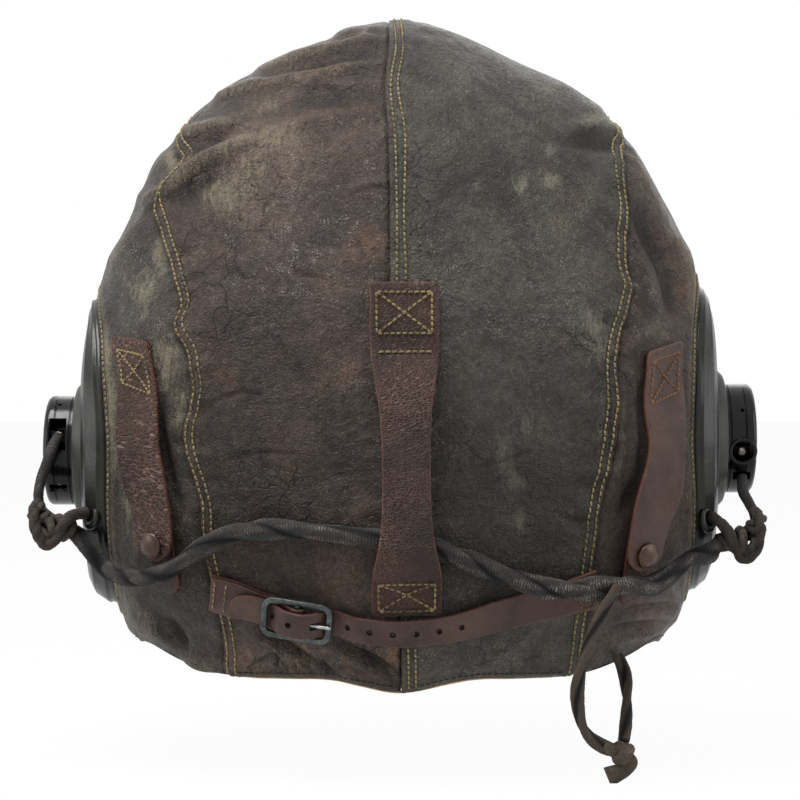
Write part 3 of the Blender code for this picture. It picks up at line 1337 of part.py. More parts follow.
DROP_ROUTE = [
    (0.0812, -0.0880, -0.0533), (0.0790, -0.0884, -0.0580), (0.0761, -0.0894, -0.0632),
    (0.0727, -0.0915, -0.0698), (0.0693, -0.0928, -0.0768), (0.0672, -0.0922, -0.0850),
    (0.0662, -0.0900, -0.0926), (0.0666, -0.0885, -0.0996), (0.0682, -0.0875, -0.1062),
    (0.0712, -0.0868, -0.1108), (0.0750, -0.0860, -0.1136), (0.0789, -0.0853, -0.1155),
]

DROP_BACK_ROUTE = [
    (0.08465, -0.05025, -0.08365), (0.0863, -0.0515, -0.0875), (0.0872, -0.0535, -0.0908),
    (0.0874, -0.0590, -0.0948), (0.0870, -0.0660, -0.1000), (0.0858, -0.0740, -0.1065),
    (0.08430, -0.08150, -0.11320),
]

DROP_KNOT_PLACE = (0.0838, -0.0848, -0.1174)
DROP_KNOT_RADIUS = 0.0046
DROP_KNOT_HALF_HEIGHT = 0.0052


def beside_ear(side, route):
    return [Vector((side * (EAR_HALF_WIDTH + past), y, z)) for past, y, z in route]


def smooth_route(points, radius):
    """Points every two diameters along a smooth curve through a route."""
    knots = [Vector(point) for point in points]
    tables = [[(i, knot[axis]) for i, knot in enumerate(knots)] for axis in range(3)]
    fine = 16 * (len(knots) - 1)
    curve = []
    for index in range(fine + 1):
        where = (len(knots) - 1) * index / fine
        curve.append(Vector([smooth_table(table, where) for table in tables]))
    lengths = [0.0]
    for before, after in zip(curve, curve[1:]):
        lengths.append(lengths[-1] + (after - before).length)
    count = max(round(lengths[-1] / (2 * radius * CORD_STEP_IN_DIAMETERS)), 4)
    found = []
    index = 0
    for step in range(count + 1):
        distance = lengths[-1] * step / count
        while index < fine - 1 and lengths[index + 1] < distance:
            index += 1
        part = (distance - lengths[index]) / (lengths[index + 1] - lengths[index])
        found.append(curve[index].lerp(curve[index + 1], part))
    print("cord route", len(found), "points", round(lengths[-1], 4), "m")
    return found


def drop_knot():
    """The lump where both strands of the drop cord are knotted together."""
    steps = 6
    profile = []
    for index in range(steps + 1):
        turn = math.pi * index / steps
        radius = DROP_KNOT_RADIUS * math.sin(turn) if 0 < index < steps else 0
        profile.append((radius, DROP_KNOT_HALF_HEIGHT * math.cos(turn)))
    place = frame_at(Vector(DROP_KNOT_PLACE), Vector((0, 0, 1)), Vector((1, 0, 0)))
    return turned("drop_cord_knot", profile, "cord_cotton", place, 12)


def cords():
    route = beside_ear(-1, LEFT_LOOM_START)
    for share, (z, lift) in zip(LOOM_ACROSS_SHARES, LOOM_HEIGHTS):
        route.append(on_back(EAR_HALF_WIDTH * share, z, lift))
    route += beside_ear(1, RIGHT_LOOM_END)
    cord_curve("loom", smooth_route(route, LOOM_RADIUS), LOOM_RADIUS, "cord_cotton", 3)
    for side in (-1, 1):
        name = SIDE_NAMES[side]
        lead = smooth_route(beside_ear(side, LEAD_ROUTES[side]), LEAD_RADIUS)
        cord_curve(f"receiver_lead_{name}", lead, LEAD_RADIUS, "cord_cotton", 2)
        tie = smooth_route(beside_ear(side, TIE_ROUTES[side]), TIE_RADIUS)
        cord_curve(f"tie_cord_{name}", tie, TIE_RADIUS, "cord_cotton", 2)
    cord_curve("drop_cord", smooth_route(DROP_ROUTE, DROP_RADIUS), DROP_RADIUS, "cord_cotton", 2)
    cord_curve("drop_cord_back", smooth_route(DROP_BACK_ROUTE, DROP_RADIUS), DROP_RADIUS, "cord_cotton", 2)
    drop_knot()


for ear in (-1, 1):
    crown_panel(ear)
    side_panel(ear)
    side_lining(ear)
    ear_cup(ear)
    ear_pad(ear)
    receiver_shell(ear)
    receiver_inside(ear)
    terminals(ear)
    goggle_strap(ear)
    stud_patch(ear)
    mask_stud(ear, "upper")
    mask_stud(ear, "lower")
    point, axis = hinge_place(ear)
    print("goggle strap hinge", SIDE_NAMES[ear], [round(v, 5) for v in point], [round(v, 4) for v in axis])

crown_lining()
brow_band()
centre_strap()
nape_strap()
buckle_strap()
buckle_frame()
buckle_prong()
chin_pieces()
cords()
point, axis = chin_hinge()
print("chin strap hinge", [round(v, 5) for v in point], [round(v, 4) for v in axis])
bar = buckle_frame_matrix()
print("buckle bar", [round(v, 5) for v in bar.translation], [round(v, 4) for v in bar.col[1][:3]])
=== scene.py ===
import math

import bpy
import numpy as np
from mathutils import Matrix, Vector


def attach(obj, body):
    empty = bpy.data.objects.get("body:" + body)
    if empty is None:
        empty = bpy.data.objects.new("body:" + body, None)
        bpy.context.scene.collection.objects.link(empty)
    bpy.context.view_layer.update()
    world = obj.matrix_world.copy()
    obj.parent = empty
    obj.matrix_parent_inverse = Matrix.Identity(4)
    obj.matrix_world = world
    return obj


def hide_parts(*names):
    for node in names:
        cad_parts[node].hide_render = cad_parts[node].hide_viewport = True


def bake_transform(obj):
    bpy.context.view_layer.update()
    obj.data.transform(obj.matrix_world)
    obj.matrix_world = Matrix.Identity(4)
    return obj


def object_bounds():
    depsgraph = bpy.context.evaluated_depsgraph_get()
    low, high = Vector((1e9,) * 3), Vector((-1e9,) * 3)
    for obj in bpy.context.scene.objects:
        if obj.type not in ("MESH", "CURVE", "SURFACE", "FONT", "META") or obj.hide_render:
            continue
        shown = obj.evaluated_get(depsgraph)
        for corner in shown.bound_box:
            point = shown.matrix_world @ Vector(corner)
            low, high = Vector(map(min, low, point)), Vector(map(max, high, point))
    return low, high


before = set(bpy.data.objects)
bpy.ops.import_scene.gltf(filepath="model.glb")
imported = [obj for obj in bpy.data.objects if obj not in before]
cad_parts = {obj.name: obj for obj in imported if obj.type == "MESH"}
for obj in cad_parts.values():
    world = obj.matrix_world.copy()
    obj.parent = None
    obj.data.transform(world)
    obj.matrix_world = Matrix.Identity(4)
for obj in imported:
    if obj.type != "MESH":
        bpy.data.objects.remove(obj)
cad_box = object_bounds()

# %% [markdown]
# # A leather flying helmet, seen from behind
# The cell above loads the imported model. Each of its nodes is a plain solid of one real piece, and each of its
# bodies is something that can move by itself. This lesson puts the looks on it. Soft leather, rubber and cord
# are made again as denser meshes in the places that the solids hold, and the small metal pieces inside the
# receivers keep their solids and get a better finish. Metres are the unit, +X is the wearer's right, and -Y is
# the back of the head, where the camera stands.

# %% [markdown]
# ## Camera
# The helmet was photographed level with the ears from about a metre behind the head, with a long lens. The same
# numbers also turn a place in the picture into a place on the leather, so they are kept as named values.

# %% Camera behind the head
EYE = Vector((0.0, -1.0, 0.0156))
PICTURE = 800
PICTURE_REACH = 2439.0
SENSOR = 36.0
camera_data = bpy.data.cameras.new("camera")
camera_data.sensor_width = SENSOR
camera_data.lens = SENSOR * PICTURE_REACH / PICTURE
camera = bpy.data.objects.new("camera", camera_data)
camera.location = EYE
camera.rotation_euler = (math.radians(90), 0, 0)
bpy.context.scene.collection.objects.link(camera)
bpy.context.scene.camera = camera
print("lens", round(camera_data.lens, 1), "mm")


def pixel_of(points):
    """Where points in metres appear in the picture, in pixels from its top left corner."""
    away = points[..., 1] - EYE.y
    px = PICTURE / 2 + points[..., 0] * PICTURE_REACH / away
    py = PICTURE / 2 - (points[..., 2] - EYE.z) * PICTURE_REACH / away
    return px, py


# %% [markdown]
# ## The shape under the leather
# A head-shaped skin is measured round the line between the ears: degrees round the hood (0 straight back, 90 up,
# 180 forward) and a share of the way from the middle of the head to the ear. Smooth tables give its reach. The
# CAD model was made on this same skin, so a piece made on it lands where its solid is. numpy works out
# thousands of points at once, which makes dense meshes quick.

# %% Smooth tables
def table(text, divisor=1):
    """Reads 'a,b c,d' as [(a, b), (c, d)]; a divisor turns whole numbers into metres."""
    return [tuple(float(number) / divisor for number in entry.split(",")) for entry in text.split()]


def smooth_table(table_rows, where, period=0.0):
    """Reads a table of (place, value) pairs with a smooth curve through them, for many places at once."""
    places, values = np.array(table_rows, float).T
    where = np.asarray(where, float)
    if period:
        where = (where - places[0]) % period + places[0]
        places = np.concatenate(([places[-1] - period], places, places[:2] + period))
        values = np.concatenate((values[-1:], values, values[:2]))
    else:
        where = np.clip(where, places[0], places[-1])
        places = np.concatenate(([2 * places[0] - places[1]], places, [2 * places[-1] - places[-2]]))
        values = np.concatenate(([2 * values[0] - values[1]], values, [2 * values[-1] - values[-2]]))
    at = np.clip(np.searchsorted(places, where) - 1, 1, len(places) - 3)
    step = places[at + 1] - places[at]
    part = (where - places[at]) / step
    slope_in = (values[at + 1] - values[at - 1]) / (places[at + 1] - places[at - 1]) * step
    slope_out = (values[at + 2] - values[at]) / (places[at + 2] - places[at]) * step
    return ((2 * part**3 - 3 * part**2 + 1) * values[at] + (part**3 - 2 * part**2 + part) * slope_in
            + (3 * part**2 - 2 * part**3) * values[at + 1] + (part**3 - part**2) * slope_out)


def ease(value, start, end):
    """0 before start, 1 after end, and a soft step between them."""
    part = np.clip((np.asarray(value, float) - start) / (end - start), 0, 1)
    return part * part * (3 - 2 * part)


# %% The skin of the head
EAR_HALF_WIDTH = 0.131
REACHES = [(-50, 0.121), (0, 0.100), (45, 0.1205), (90, 0.171), (135, 0.133), (180, 0.095), (225, 0.132),
           (270, 0.141)]
GABLE_DEPTH, GABLE_SPAN = 0.03, 0.42
QUARTER = math.pi / 2


def gable(share):
    return 1 - GABLE_DEPTH * np.sin(math.pi * np.minimum(np.abs(share) / GABLE_SPAN, 1)) ** 2


def base_point(degrees, share):
    turn = np.asarray(share, float) * QUARTER
    reach = smooth_table(REACHES, degrees, 360) * np.cos(turn) * gable(share)
    angle = np.radians(degrees)
    return np.stack([EAR_HALF_WIDTH * np.sin(turn) + 0 * angle, -reach * np.cos(angle), reach * np.sin(angle)], -1)


def unit(vectors):
    return vectors / np.maximum(np.linalg.norm(vectors, axis=-1, keepdims=True), 1e-12)


def outward(degrees, share):
    """The direction square to the skin, away from the head."""
    degrees, share = np.broadcast_arrays(np.asarray(degrees, float), np.asarray(share, float))
    along = base_point(degrees + 0.05, share) - base_point(degrees - 0.05, share)
    across = base_point(degrees, share + 0.001) - base_point(degrees, share - 0.001)
    normal = unit(np.cross(across, along))
    facing = np.sum(normal * base_point(degrees, share), -1, keepdims=True)
    return np.where(facing > 0, normal, -normal)


def skin(degrees, share, lift=0.0):
    """A point over the outer face of the leather, at a height above it."""
    return base_point(degrees, share) + outward(degrees, share) * np.asarray(lift, float)[..., None]


def back_place(x, z):
    """Degrees and share of the place on the back of the hood at x and z."""
    x, z = np.broadcast_arrays(np.asarray(x, float), np.asarray(z, float))
    turn = np.arcsin(np.clip(x / EAR_HALF_WIDTH, -1, 1))
    share = turn / QUARTER
    squeeze = np.cos(turn) * gable(share)
    low, high = np.full(x.shape, -85.0), np.full(x.shape, 89.0)
    for _ in range(22):
        middle = (low + high) / 2
        height = smooth_table(REACHES, middle, 360) * squeeze * np.sin(np.radians(middle))
        low, high = np.where(height < z, middle, low), np.where(height < z, high, middle)
    return low, share


def side_place(side, y, z):
    """Degrees and share of the place on one side of the hood at y and z."""
    y, z = np.broadcast_arrays(np.asarray(y, float), np.asarray(z, float))
    degrees = np.degrees(np.arctan2(z, -y))
    part = np.hypot(y, z) / smooth_table(REACHES, degrees, 360)
    share = np.arccos(np.minimum(part, 1)) / QUARTER
    for _ in range(12):
        share = np.arccos(np.minimum(part / gable(share), 1)) / QUARTER
    return degrees, side * share


def spot(px, py):
    """The place on the back of the hood that shows at a pixel of the picture."""
    px, py = np.asarray(px, float), np.asarray(py, float)
    y = np.full(np.broadcast(px, py).shape, -0.08)
    for _ in range(40):
        away = y - EYE.y
        x = (px - PICTURE / 2) * away / PICTURE_REACH
        z = EYE.z - (py - PICTURE / 2) * away / PICTURE_REACH
        place = back_place(x, z)
        y = 0.5 * y + 0.5 * base_point(*place)[..., 1]
    return place


print("the middle of the picture shows the place", [round(float(v), 3) for v in spot(400, 400)])

# %% [markdown]
# ## Turning numbers into meshes
# Most pieces here are sheets of leather or rubber. Each is worked out as a grid of points on its outer face, then
# given an inner face and a rim, so it is a closed body with a real edge. A grid keeps the faces even, which lets
# the leather be dented and puckered afterwards.

# %% Meshes from grids of points
def new_piece(name, points, faces, material=None, body="hood"):
    """A mesh object that rides on a body, or on none if body is None."""
    mesh = bpy.data.meshes.new(name)
    faces = faces if isinstance(faces, list) else faces.tolist()
    mesh.from_pydata(np.asarray(points).reshape(-1, 3).tolist(), [], faces)
    mesh.shade_smooth()
    piece = bpy.data.objects.new(name, mesh)
    bpy.context.scene.collection.objects.link(piece)
    if material:
        mesh.materials.append(material)
    if body:
        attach(piece, body)
    return piece


def grid_faces(rows, columns, wrap=False, start=0):
    """Four-sided faces between the points of a grid; wrap joins its last column to its first."""
    row = np.arange(rows - 1)[:, None]
    column = np.arange(columns if wrap else columns - 1)[None, :]
    beside = (column + 1) % columns
    corners = [row * columns + column, row * columns + beside, (row + 1) * columns + beside,
               (row + 1) * columns + column]
    return np.stack([corner.ravel() for corner in corners], 1) + start


def ring_faces(rows, steps):
    """Faces of a grid that closes both ways."""
    return grid_faces(rows + 1, steps, wrap=True) % (rows * steps)


def capped_faces(rows, steps):
    """Faces of a tube of rings that closes on one more point at each end."""
    faces = grid_faces(rows, steps, wrap=True).tolist()
    last, tip = (rows - 1) * steps, rows * steps
    for step in range(steps):
        beside = (step + 1) % steps
        faces += [[beside, step, tip], [last + step, last + beside, tip + 1]]
    return faces


def ring_ways(rings):
    """The directions square to a grid that closes both ways, not yet of length 1."""
    turn = np.roll(rings, -1, 1) - np.roll(rings, 1, 1)
    return np.cross(turn, np.roll(rings, -1, 0) - np.roll(rings, 1, 0))


def sheet_faces(rows, columns, wrap=False):
    """Faces of a closed sheet: the outer grid, the inner grid turned over, and the rim between them."""
    count = rows * columns
    faces = [grid_faces(rows, columns, wrap), grid_faces(rows, columns, wrap, count)[:, ::-1]]
    edges = [np.arange(columns), (rows - 1) * columns + np.arange(columns)[::-1]]
    if not wrap:
        edges += [np.arange(rows)[::-1] * columns, np.arange(rows) * columns + columns - 1]
    for edge in edges:
        first, second = (edge, np.roll(edge, -1)) if wrap else (edge[:-1], edge[1:])
        faces.append(np.stack([second, first, first + count, second + count], 1))
    return np.concatenate(faces)


def soft_sheet(name, outer, normals, thickness, material, body="hood", wrap=False, roll=0.3):
    """A closed sheet with rolled edges from the grid of its outer face."""
    rows, columns = outer.shape[:2]
    thickness = np.broadcast_to(np.asarray(thickness, float), (rows, columns))
    sunk = np.zeros((rows, columns))
    for at, depth in ((0, roll), (1, roll * 0.35)):
        sunk[[at, -1 - at], :] = np.maximum(sunk[[at, -1 - at], :], depth)
        if not wrap:
            sunk[:, [at, -1 - at]] = np.maximum(sunk[:, [at, -1 - at]], depth)
    front = outer - normals * (thickness * sunk)[..., None]
    back = outer - normals * (thickness * (1 - sunk))[..., None]
    faces = sheet_faces(rows, columns, wrap)
    points = np.concatenate([front.reshape(-1, 3), back.reshape(-1, 3)])
    front_faces = faces[:(rows - 1) * (columns if wrap else columns - 1)]
    corners = points[front_faces]
    face_ways = np.cross(corners[:, 2] - corners[:, 0], corners[:, 3] - corners[:, 1])
    if (face_ways * normals.reshape(-1, 3)[front_faces[:, 0]]).sum() < 0:
        faces = faces[:, ::-1]
    return new_piece(name, points, faces, material, body)


def stands_for(piece, slot, *nodes):
    """Hides the solids a piece takes the place of, if any, and prints how many points it has; slot is not used."""
    if nodes:
        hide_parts(*nodes)
    print(piece.name, len(piece.data.vertices), "points")
    return piece


def skin_sheet(name, degrees, share, lift, thickness, material, slot, *nodes, **options):
    """A sheet whose outer face lies over places on the skin."""
    piece = soft_sheet(name, skin(degrees, share, lift), outward(degrees, share), thickness, material, **options)
    return stands_for(piece, slot, *nodes)


def paint(piece, name, values):
    """Keeps a number for every point of a piece, for its material to read; the inner face gets the same."""
    values = np.asarray(values, np.float32).ravel()
    count = len(piece.data.vertices)
    if len(values) < count:
        values = np.resize(values, count)
    piece.data.attributes.new(name, "FLOAT", "POINT").data.foreach_set("value", values)


def spread(marks, counts):
    """Evenly spaced values between each two marks."""
    parts = [np.linspace(start, end, count, endpoint=False) for start, end, count in zip(marks, marks[1:], counts)]
    return np.concatenate(parts + [[marks[-1]]])


# %% [markdown]
# ## Uneven surfaces without random surprises
# Worn leather is never smooth. Adding up waves that run in seeded directions gives dents of any size, the same on
# every run. A stroke is a soft ridge or crease along a line of places in the picture.

# %% Waves and strokes
def waves(points, length, seed, count=14):
    """Dents about this long, between roughly -1 and 1, the same for the same seed."""
    chance = np.random.default_rng(seed)
    ways = unit(chance.normal(size=(count, 3)))
    turns = 2 * math.pi / (length * chance.uniform(0.6, 1.7, count))
    starts = chance.uniform(0, 2 * math.pi, count)
    return np.sin(points @ (ways * turns[:, None]).T + starts).sum(-1) / math.sqrt(count * 1.5)


def stroke(px, py, line, half_width, taper_and_painted_light_shade=0.5):
    """1 along a line of pixels, falling off to each side and towards both ends."""
    line = np.array(line, float)
    best = np.full(np.shape(px), 1e9)
    along = np.zeros(np.shape(px))
    runs = np.linalg.norm(np.diff(line, axis=0), axis=1)
    whole = runs.sum()
    done = 0.0
    for start, end, run in zip(line, line[1:], runs):
        way = (end - start) / run
        part = np.clip((px - start[0]) * way[0] + (py - start[1]) * way[1], 0, run)
        gap = np.hypot(px - start[0] - way[0] * part, py - start[1] - way[1] * part)
        nearer = gap < best
        best = np.where(nearer, gap, best)
        along = np.where(nearer, (done + part) / whole, along)
        done += run
    ends = 1 - taper_and_painted_light_shade + taper_and_painted_light_shade * np.sin(math.pi * np.clip(along, 0, 1)) ** 0.7
    return np.exp(-(best / half_width) ** 2) * ends


def patch(px, py, x, y, wide, high):
    """1 at a pixel, falling off over this many pixels across and up."""
    return np.exp(-((px - x) / wide) ** 2 - ((py - y) / high) ** 2)

# %% [markdown]
# ## Finishes
# Every finish is mixed from noise and cell patterns in the shader, so it needs no picture files. Colours are
# written as they would be read off a screen and turned into Blender's linear numbers by one helper. The others
# add a shader node and its wires in one call: clouds is noise spread over a range, layers lays colours over each
# other, shaded darkens a colour, and bumps lays one height over another.

# %% Helpers for finishes
def tone(red, green, blue):
    parts = [part / 255 for part in (red, green, blue)]
    return (*[part / 12.92 if part <= 0.04045 else ((part + 0.055) / 1.055) ** 2.4 for part in parts], 1.0)


class Finish:
    """A material with short ways to add its nodes; place is the point on the piece, in metres."""

    def __init__(self, name, roughness=0.6, metallic=0.0, specular=0.5):
        self.material = bpy.data.materials.new(name)
        self.material.use_nodes = True
        self.tree = self.material.node_tree
        self.shader = self.tree.nodes["Principled BSDF"]
        for key, value in (("Roughness", roughness), ("Metallic", metallic), ("Specular IOR Level", specular)):
            self.shader.inputs[key].default_value = value
        self.place = self.add("ShaderNodeTexCoord").outputs["Object"]

    def add(self, kind, wires=None, **settings):
        node = self.tree.nodes.new(kind)
        for key, value in settings.items():
            setattr(node, key, value)
        for key, value in (wires or {}).items():
            if isinstance(value, bpy.types.NodeSocket):
                self.tree.links.new(value, node.inputs[key])
            else:
                node.inputs[key].default_value = value
        return node

    def moved(self, location=(0, 0, 0), scale=(1, 1, 1)):
        wires = {"Vector": self.place, "Location": location, "Scale": scale}
        return self.add("ShaderNodeMapping", wires).outputs["Vector"]

    def noise(self, scale, detail=4.0, rough=0.55, warp=0.0, place=None):
        wires = {"Vector": place or self.place, "Scale": scale, "Detail": detail, "Roughness": rough,
                 "Distortion": warp}
        return self.add("ShaderNodeTexNoise", wires).outputs["Fac"]

    def cells(self, scale, feature="DISTANCE_TO_EDGE", place=None, jitter=1.0):
        wires = {"Vector": place or self.place, "Scale": scale, "Randomness": jitter}
        return self.add("ShaderNodeTexVoronoi", wires, feature=feature).outputs["Distance"]

    def between(self, value, low, high, to_low=0.0, to_high=1.0):
        """Spreads the part of a value from low to high over a new range."""
        wires = {"Value": value, "From Min": low, "From Max": high, "To Min": to_low, "To Max": to_high}
        return self.add("ShaderNodeMapRange", wires).outputs["Result"]

    def clouds(self, noise, *span):
        return self.between(self.noise(*noise), *span)

    def sum(self, kind, first, second):
        return self.add("ShaderNodeMath", {0: first, 1: second}, operation=kind).outputs[0]

    def times(self, first, second):
        return self.sum("MULTIPLY", first, second)

    def plus(self, first, second):
        return self.sum("ADD", first, second)

    def minus(self, first, second):
        return self.sum("SUBTRACT", first, second)

    def blend(self, share, first, second, kind="MIX"):
        node = self.add("ShaderNodeMix", {0: share, 6: first, 7: second}, data_type="RGBA", blend_type=kind)
        return node.outputs[2]

    def layers(self, colour, *rows):
        """Lays screen colours over a colour, each where its share says."""
        for share, over in rows:
            colour = self.blend(share, colour, tone(*over))
        return colour

    def shaded(self, colour, value, share=1.0):
        grey = self.add("ShaderNodeCombineColor", {"Red": value, "Green": value, "Blue": value}).outputs[0]
        return self.blend(share, colour, grey, "MULTIPLY")

    def warped(self, scale, reach):
        """The place moved about by noise, so that lines drawn there wander."""
        push = self.add("ShaderNodeTexNoise", {"Vector": self.place, "Scale": scale, "Detail": 4.0}).outputs["Color"]
        wires = {0: push, 1: (reach, reach, reach), 2: self.place}
        return self.add("ShaderNodeVectorMath", wires, operation="MULTIPLY_ADD").outputs[0]

    def painted(self, name):
        return self.add("ShaderNodeAttribute", attribute_name=name).outputs["Fac"]

    def bumps(self, *rows):
        """One bump over another, from rows of a height, or a noise's settings, and how far it stands."""
        normal = None
        for height, distance in rows:
            wires = {"Height": self.noise(*height) if isinstance(height, tuple) else height, "Distance": distance}
            if normal:
                wires["Normal"] = normal
            normal = self.add("ShaderNodeBump", wires).outputs["Normal"]
        return normal

    def done(self, colour, roughness, normal):
        for key, socket in (("Base Color", colour), ("Roughness", roughness), ("Normal", normal)):
            if socket:
                self.tree.links.new(socket, self.shader.inputs[key])
        return self.material


# %% [markdown]
# ## Leather
# The hood is thin glazed sheep leather that has been rubbed for years. Its dye varies in clouds, its surface is a
# net of fine cells with painted glints, pale specks where the glaze is left, and the high places and seams are
# scuffed to a dusty olive, which on the fold tops is also a painted highlight. The scuffs are painted on the mesh
# as numbers, and the shader breaks them into specks. Painted shade in the creases, laps and seam rows, and broad
# painted light and shade that lightens or darkens whole areas, are painted on the mesh as numbers too.

# %% Hood leather
def hood_leather(name, deep, light, flush, scuffed, seed, roughness):
    """deep and light are the dye's clouds, flush the warmer patches, and scuffed the rubbed places."""
    finish = Finish(name, roughness, specular=0.23)
    finish.place = finish.moved((seed, seed * 0.7, -seed))
    clouds, between, times, painted = finish.clouds, finish.between, finish.times, finish.painted
    colour = finish.blend(clouds((30, 7, 0.66, 0.8), 0.36, 0.66), tone(*deep), tone(*light))
    warm = times(clouds((48, 6, 0.66, 0.9), 0.47, 0.66, 0, 0.62), painted("flush"))
    colour = finish.layers(colour, (clouds((11, 4, 0.55, 0.5), 0.40, 0.64, 0, 0.50), (34, 29, 25)), (warm, flush))
    colour = finish.shaded(colour, clouds((380, 6, 0.78, 0.5), 0.36, 0.66, 0.58, 1.40))
    net = finish.cells(760)
    colour = finish.shaded(colour, between(net, 0.0, 0.18, 0.45, 1.08), 0.75)
    # Painted glints: pale specks in the glazed places stand for glints of light; the same painted number makes those
    # places less rough.
    dots = between(finish.cells(1250, "F1"), 0.10, 0.42, 1, 0)
    glaze_and_painted_glints = times(times(dots, clouds((150, 7, 0.75, 0.9), 0.50, 0.62)), painted("glaze_and_painted_glints"))
    cracks = between(finish.cells(70, place=finish.warped(90, 0.016)), 0.0, 0.030, 1, 0)
    cracks = times(cracks, clouds((24, 4, 0.6, 0.4), 0.52, 0.62))
    streaks = finish.noise(260, 10, 0.82, 1.2, finish.moved(scale=(2.2, 1.0, 0.55)))
    specks = finish.noise(1300, 6, 0.8, 0.4)
    torn = finish.plus(times(streaks, 1.7), times(specks, 0.9))
    wear = finish.plus(times(painted("wear"), 0.50), finish.minus(torn, 1.30))
    wear = times(between(wear, 0.14, 0.56, 0, 0.85), between(painted("wear"), 0.0, 0.10))
    dust = clouds((900, 3, 0.9, 0.0), 0.735, 0.80, 0, 0.55)
    colour = finish.layers(colour, (glaze_and_painted_glints, (172, 168, 162)), (times(cracks, 0.65), (20, 16, 14)), (wear, scuffed),
                           (dust, scuffed))
    # Painted light and shade: a painted number lightens the colour in broad zones (the nape, the right side, the
    # upper crown) and darkens it lower down on both crown panels; its small random part is tone.
    colour = finish.shaded(colour, between(painted("taper_and_painted_light_shade"), 0.0, 1.0, 0.50, 1.50))
    raw = times(painted("edge"), between(specks, 0.35, 0.60, 0.2, 1.0))
    # Painted shade: a painted number darkens the colour in low places between folds, along the laps and beside the
    # seam rows.
    colour = finish.layers(colour, (raw, (122, 84, 66)), (painted("crease_shade"), (20, 17, 15)))
    rough = clouds((190, 7, 0.75, 0.6), 0.35, 0.68, roughness - 0.12, roughness + 0.14)
    rough = finish.minus(finish.plus(rough, times(wear, 0.22)), times(painted("glaze_and_painted_glints"), 0.10))
    normal = finish.bumps((between(net, 0.0, 0.34), 0.00022), ((1500, 4, 0.7, 0.4), 0.00026),
                          ((260, 7, 0.66, 1.8), 0.00085), ((70, 4, 0.6, 1.2), 0.0020),
                          (finish.minus(1.0, cracks), 0.00040))
    return finish.done(colour, rough, normal)


CROWN_LEFT = hood_leather("leather_crown_left", (46, 36, 32), (84, 70, 63), (102, 76, 57), (124, 115, 96), 0.0, 0.43)
CROWN_RIGHT = hood_leather("leather_crown_right", (44, 42, 38), (80, 77, 70), (86, 72, 58), (128, 123, 107), 0.31,
                           0.42)
SIDE_LEFT = hood_leather("leather_side_left", (44, 37, 33), (78, 69, 62), (84, 64, 48), (128, 120, 100), 0.17, 0.45)
SIDE_RIGHT = hood_leather("leather_side_right", (46, 37, 33), (80, 67, 60), (84, 60, 46), (120, 110, 92), 0.43, 0.46)

# %% [markdown]
# The straps are another hide: thicker, dyed oxblood, with a coarse pebbled grain where the strap was cut from the
# belly and a smooth glazed one elsewhere. Their cut edges were never dyed, so they show pink, and the handled
# corners have gone orange-brown. How near a point is to the edge is painted on the mesh.

# %% Strap leather
def strap_leather(name, deep, light, worn, edge, cell, pebble, seed, roughness, stretch=(1, 1, 1)):
    """cell and pebble are the size and height of the grain, and worn and edge the colours of rubbed places."""
    finish = Finish(name, roughness, specular=0.26)
    fluff = finish.noise(260, 6, 0.8)
    finish.place = finish.moved((seed, -seed, seed * 0.5), stretch)
    clouds, times = finish.clouds, finish.times
    colour = finish.blend(clouds((55, 6, 0.6, 0.8), 0.32, 0.68), tone(*deep), tone(*light))
    grain = finish.cells(cell, jitter=0.95)
    pale = times(finish.between(grain, 0.02, 0.14, 1, 0), finish.painted("pale"))
    scratch = times(clouds((520, 7, 0.75, 1.5), 0.60, 0.76, 0, 0.5), finish.painted("wear"))
    rim = finish.plus(finish.painted("edge"), times(fluff, 0.9))
    colour = finish.layers(colour, (times(pale, 0.85), worn), (scratch, worn),
                           (finish.between(rim, 1.14, 1.46, 0, 0.85), edge))
    rough = clouds((90, 4, 0.6, 0.0), 0.3, 0.7, roughness - 0.07, roughness + 0.10)
    return finish.done(colour, rough, finish.bumps(
        (finish.between(grain, 0.0, 0.16), pebble), ((1300, 4, 0.7, 0.2), 0.00010), ((160, 5, 0.6, 1.0), 0.00035)))


OXBLOOD_COARSE = strap_leather("oxblood_coarse", (30, 18, 15), (54, 35, 29), (132, 98, 84), (108, 62, 54), 500,
                               0.00085, 0.0, 0.42, (0.66, 1, 1.45))
OXBLOOD_CREASED = strap_leather("oxblood_creased", (28, 17, 14), (53, 35, 29), (100, 73, 62), (112, 66, 56), 900,
                                0.00018, 0.2, 0.38, (0.75, 1, 1.2))
OXBLOOD_SMOOTH = strap_leather("oxblood_smooth", (50, 36, 32), (78, 59, 53), (108, 80, 66), (104, 64, 55), 1300,
                               0.00007, 0.5, 0.36)

# %% [markdown]
# ## Cord, thread, rubber, bakelite and metal
# The cord's cover is braided from black cotton that has greyed where it rubs. The braid itself is in the mesh; the
# finish adds fluff. Thread is waxed and ochre. Rubber has a dull bloom with a sheen, bakelite is glossy and almost
# black, and the small metal pieces are lacquered, blued or nickelled and dulled with age.

# %% Cord and thread
def cotton(name, dark, light, faded, fine):
    finish = Finish(name, 0.88, specular=0.25)
    colour = finish.blend(finish.clouds((fine, 3, 0.7), 0.35, 0.65), tone(*dark), tone(*light))
    fading = finish.times(finish.clouds((900, 6, 0.7, 0.8), 0.42, 0.66), finish.painted("faded"))
    # Painted shade: a painted number darkens the cotton in the grooves between lobes and rows, and between a knot's
    # strands.
    colour = finish.layers(colour, (fading, faded), (finish.painted("crease_shade"), (12, 12, 13)))
    return finish.done(colour, None, finish.bumps(((fine * 1.4, 4, 0.75), 0.00018)))


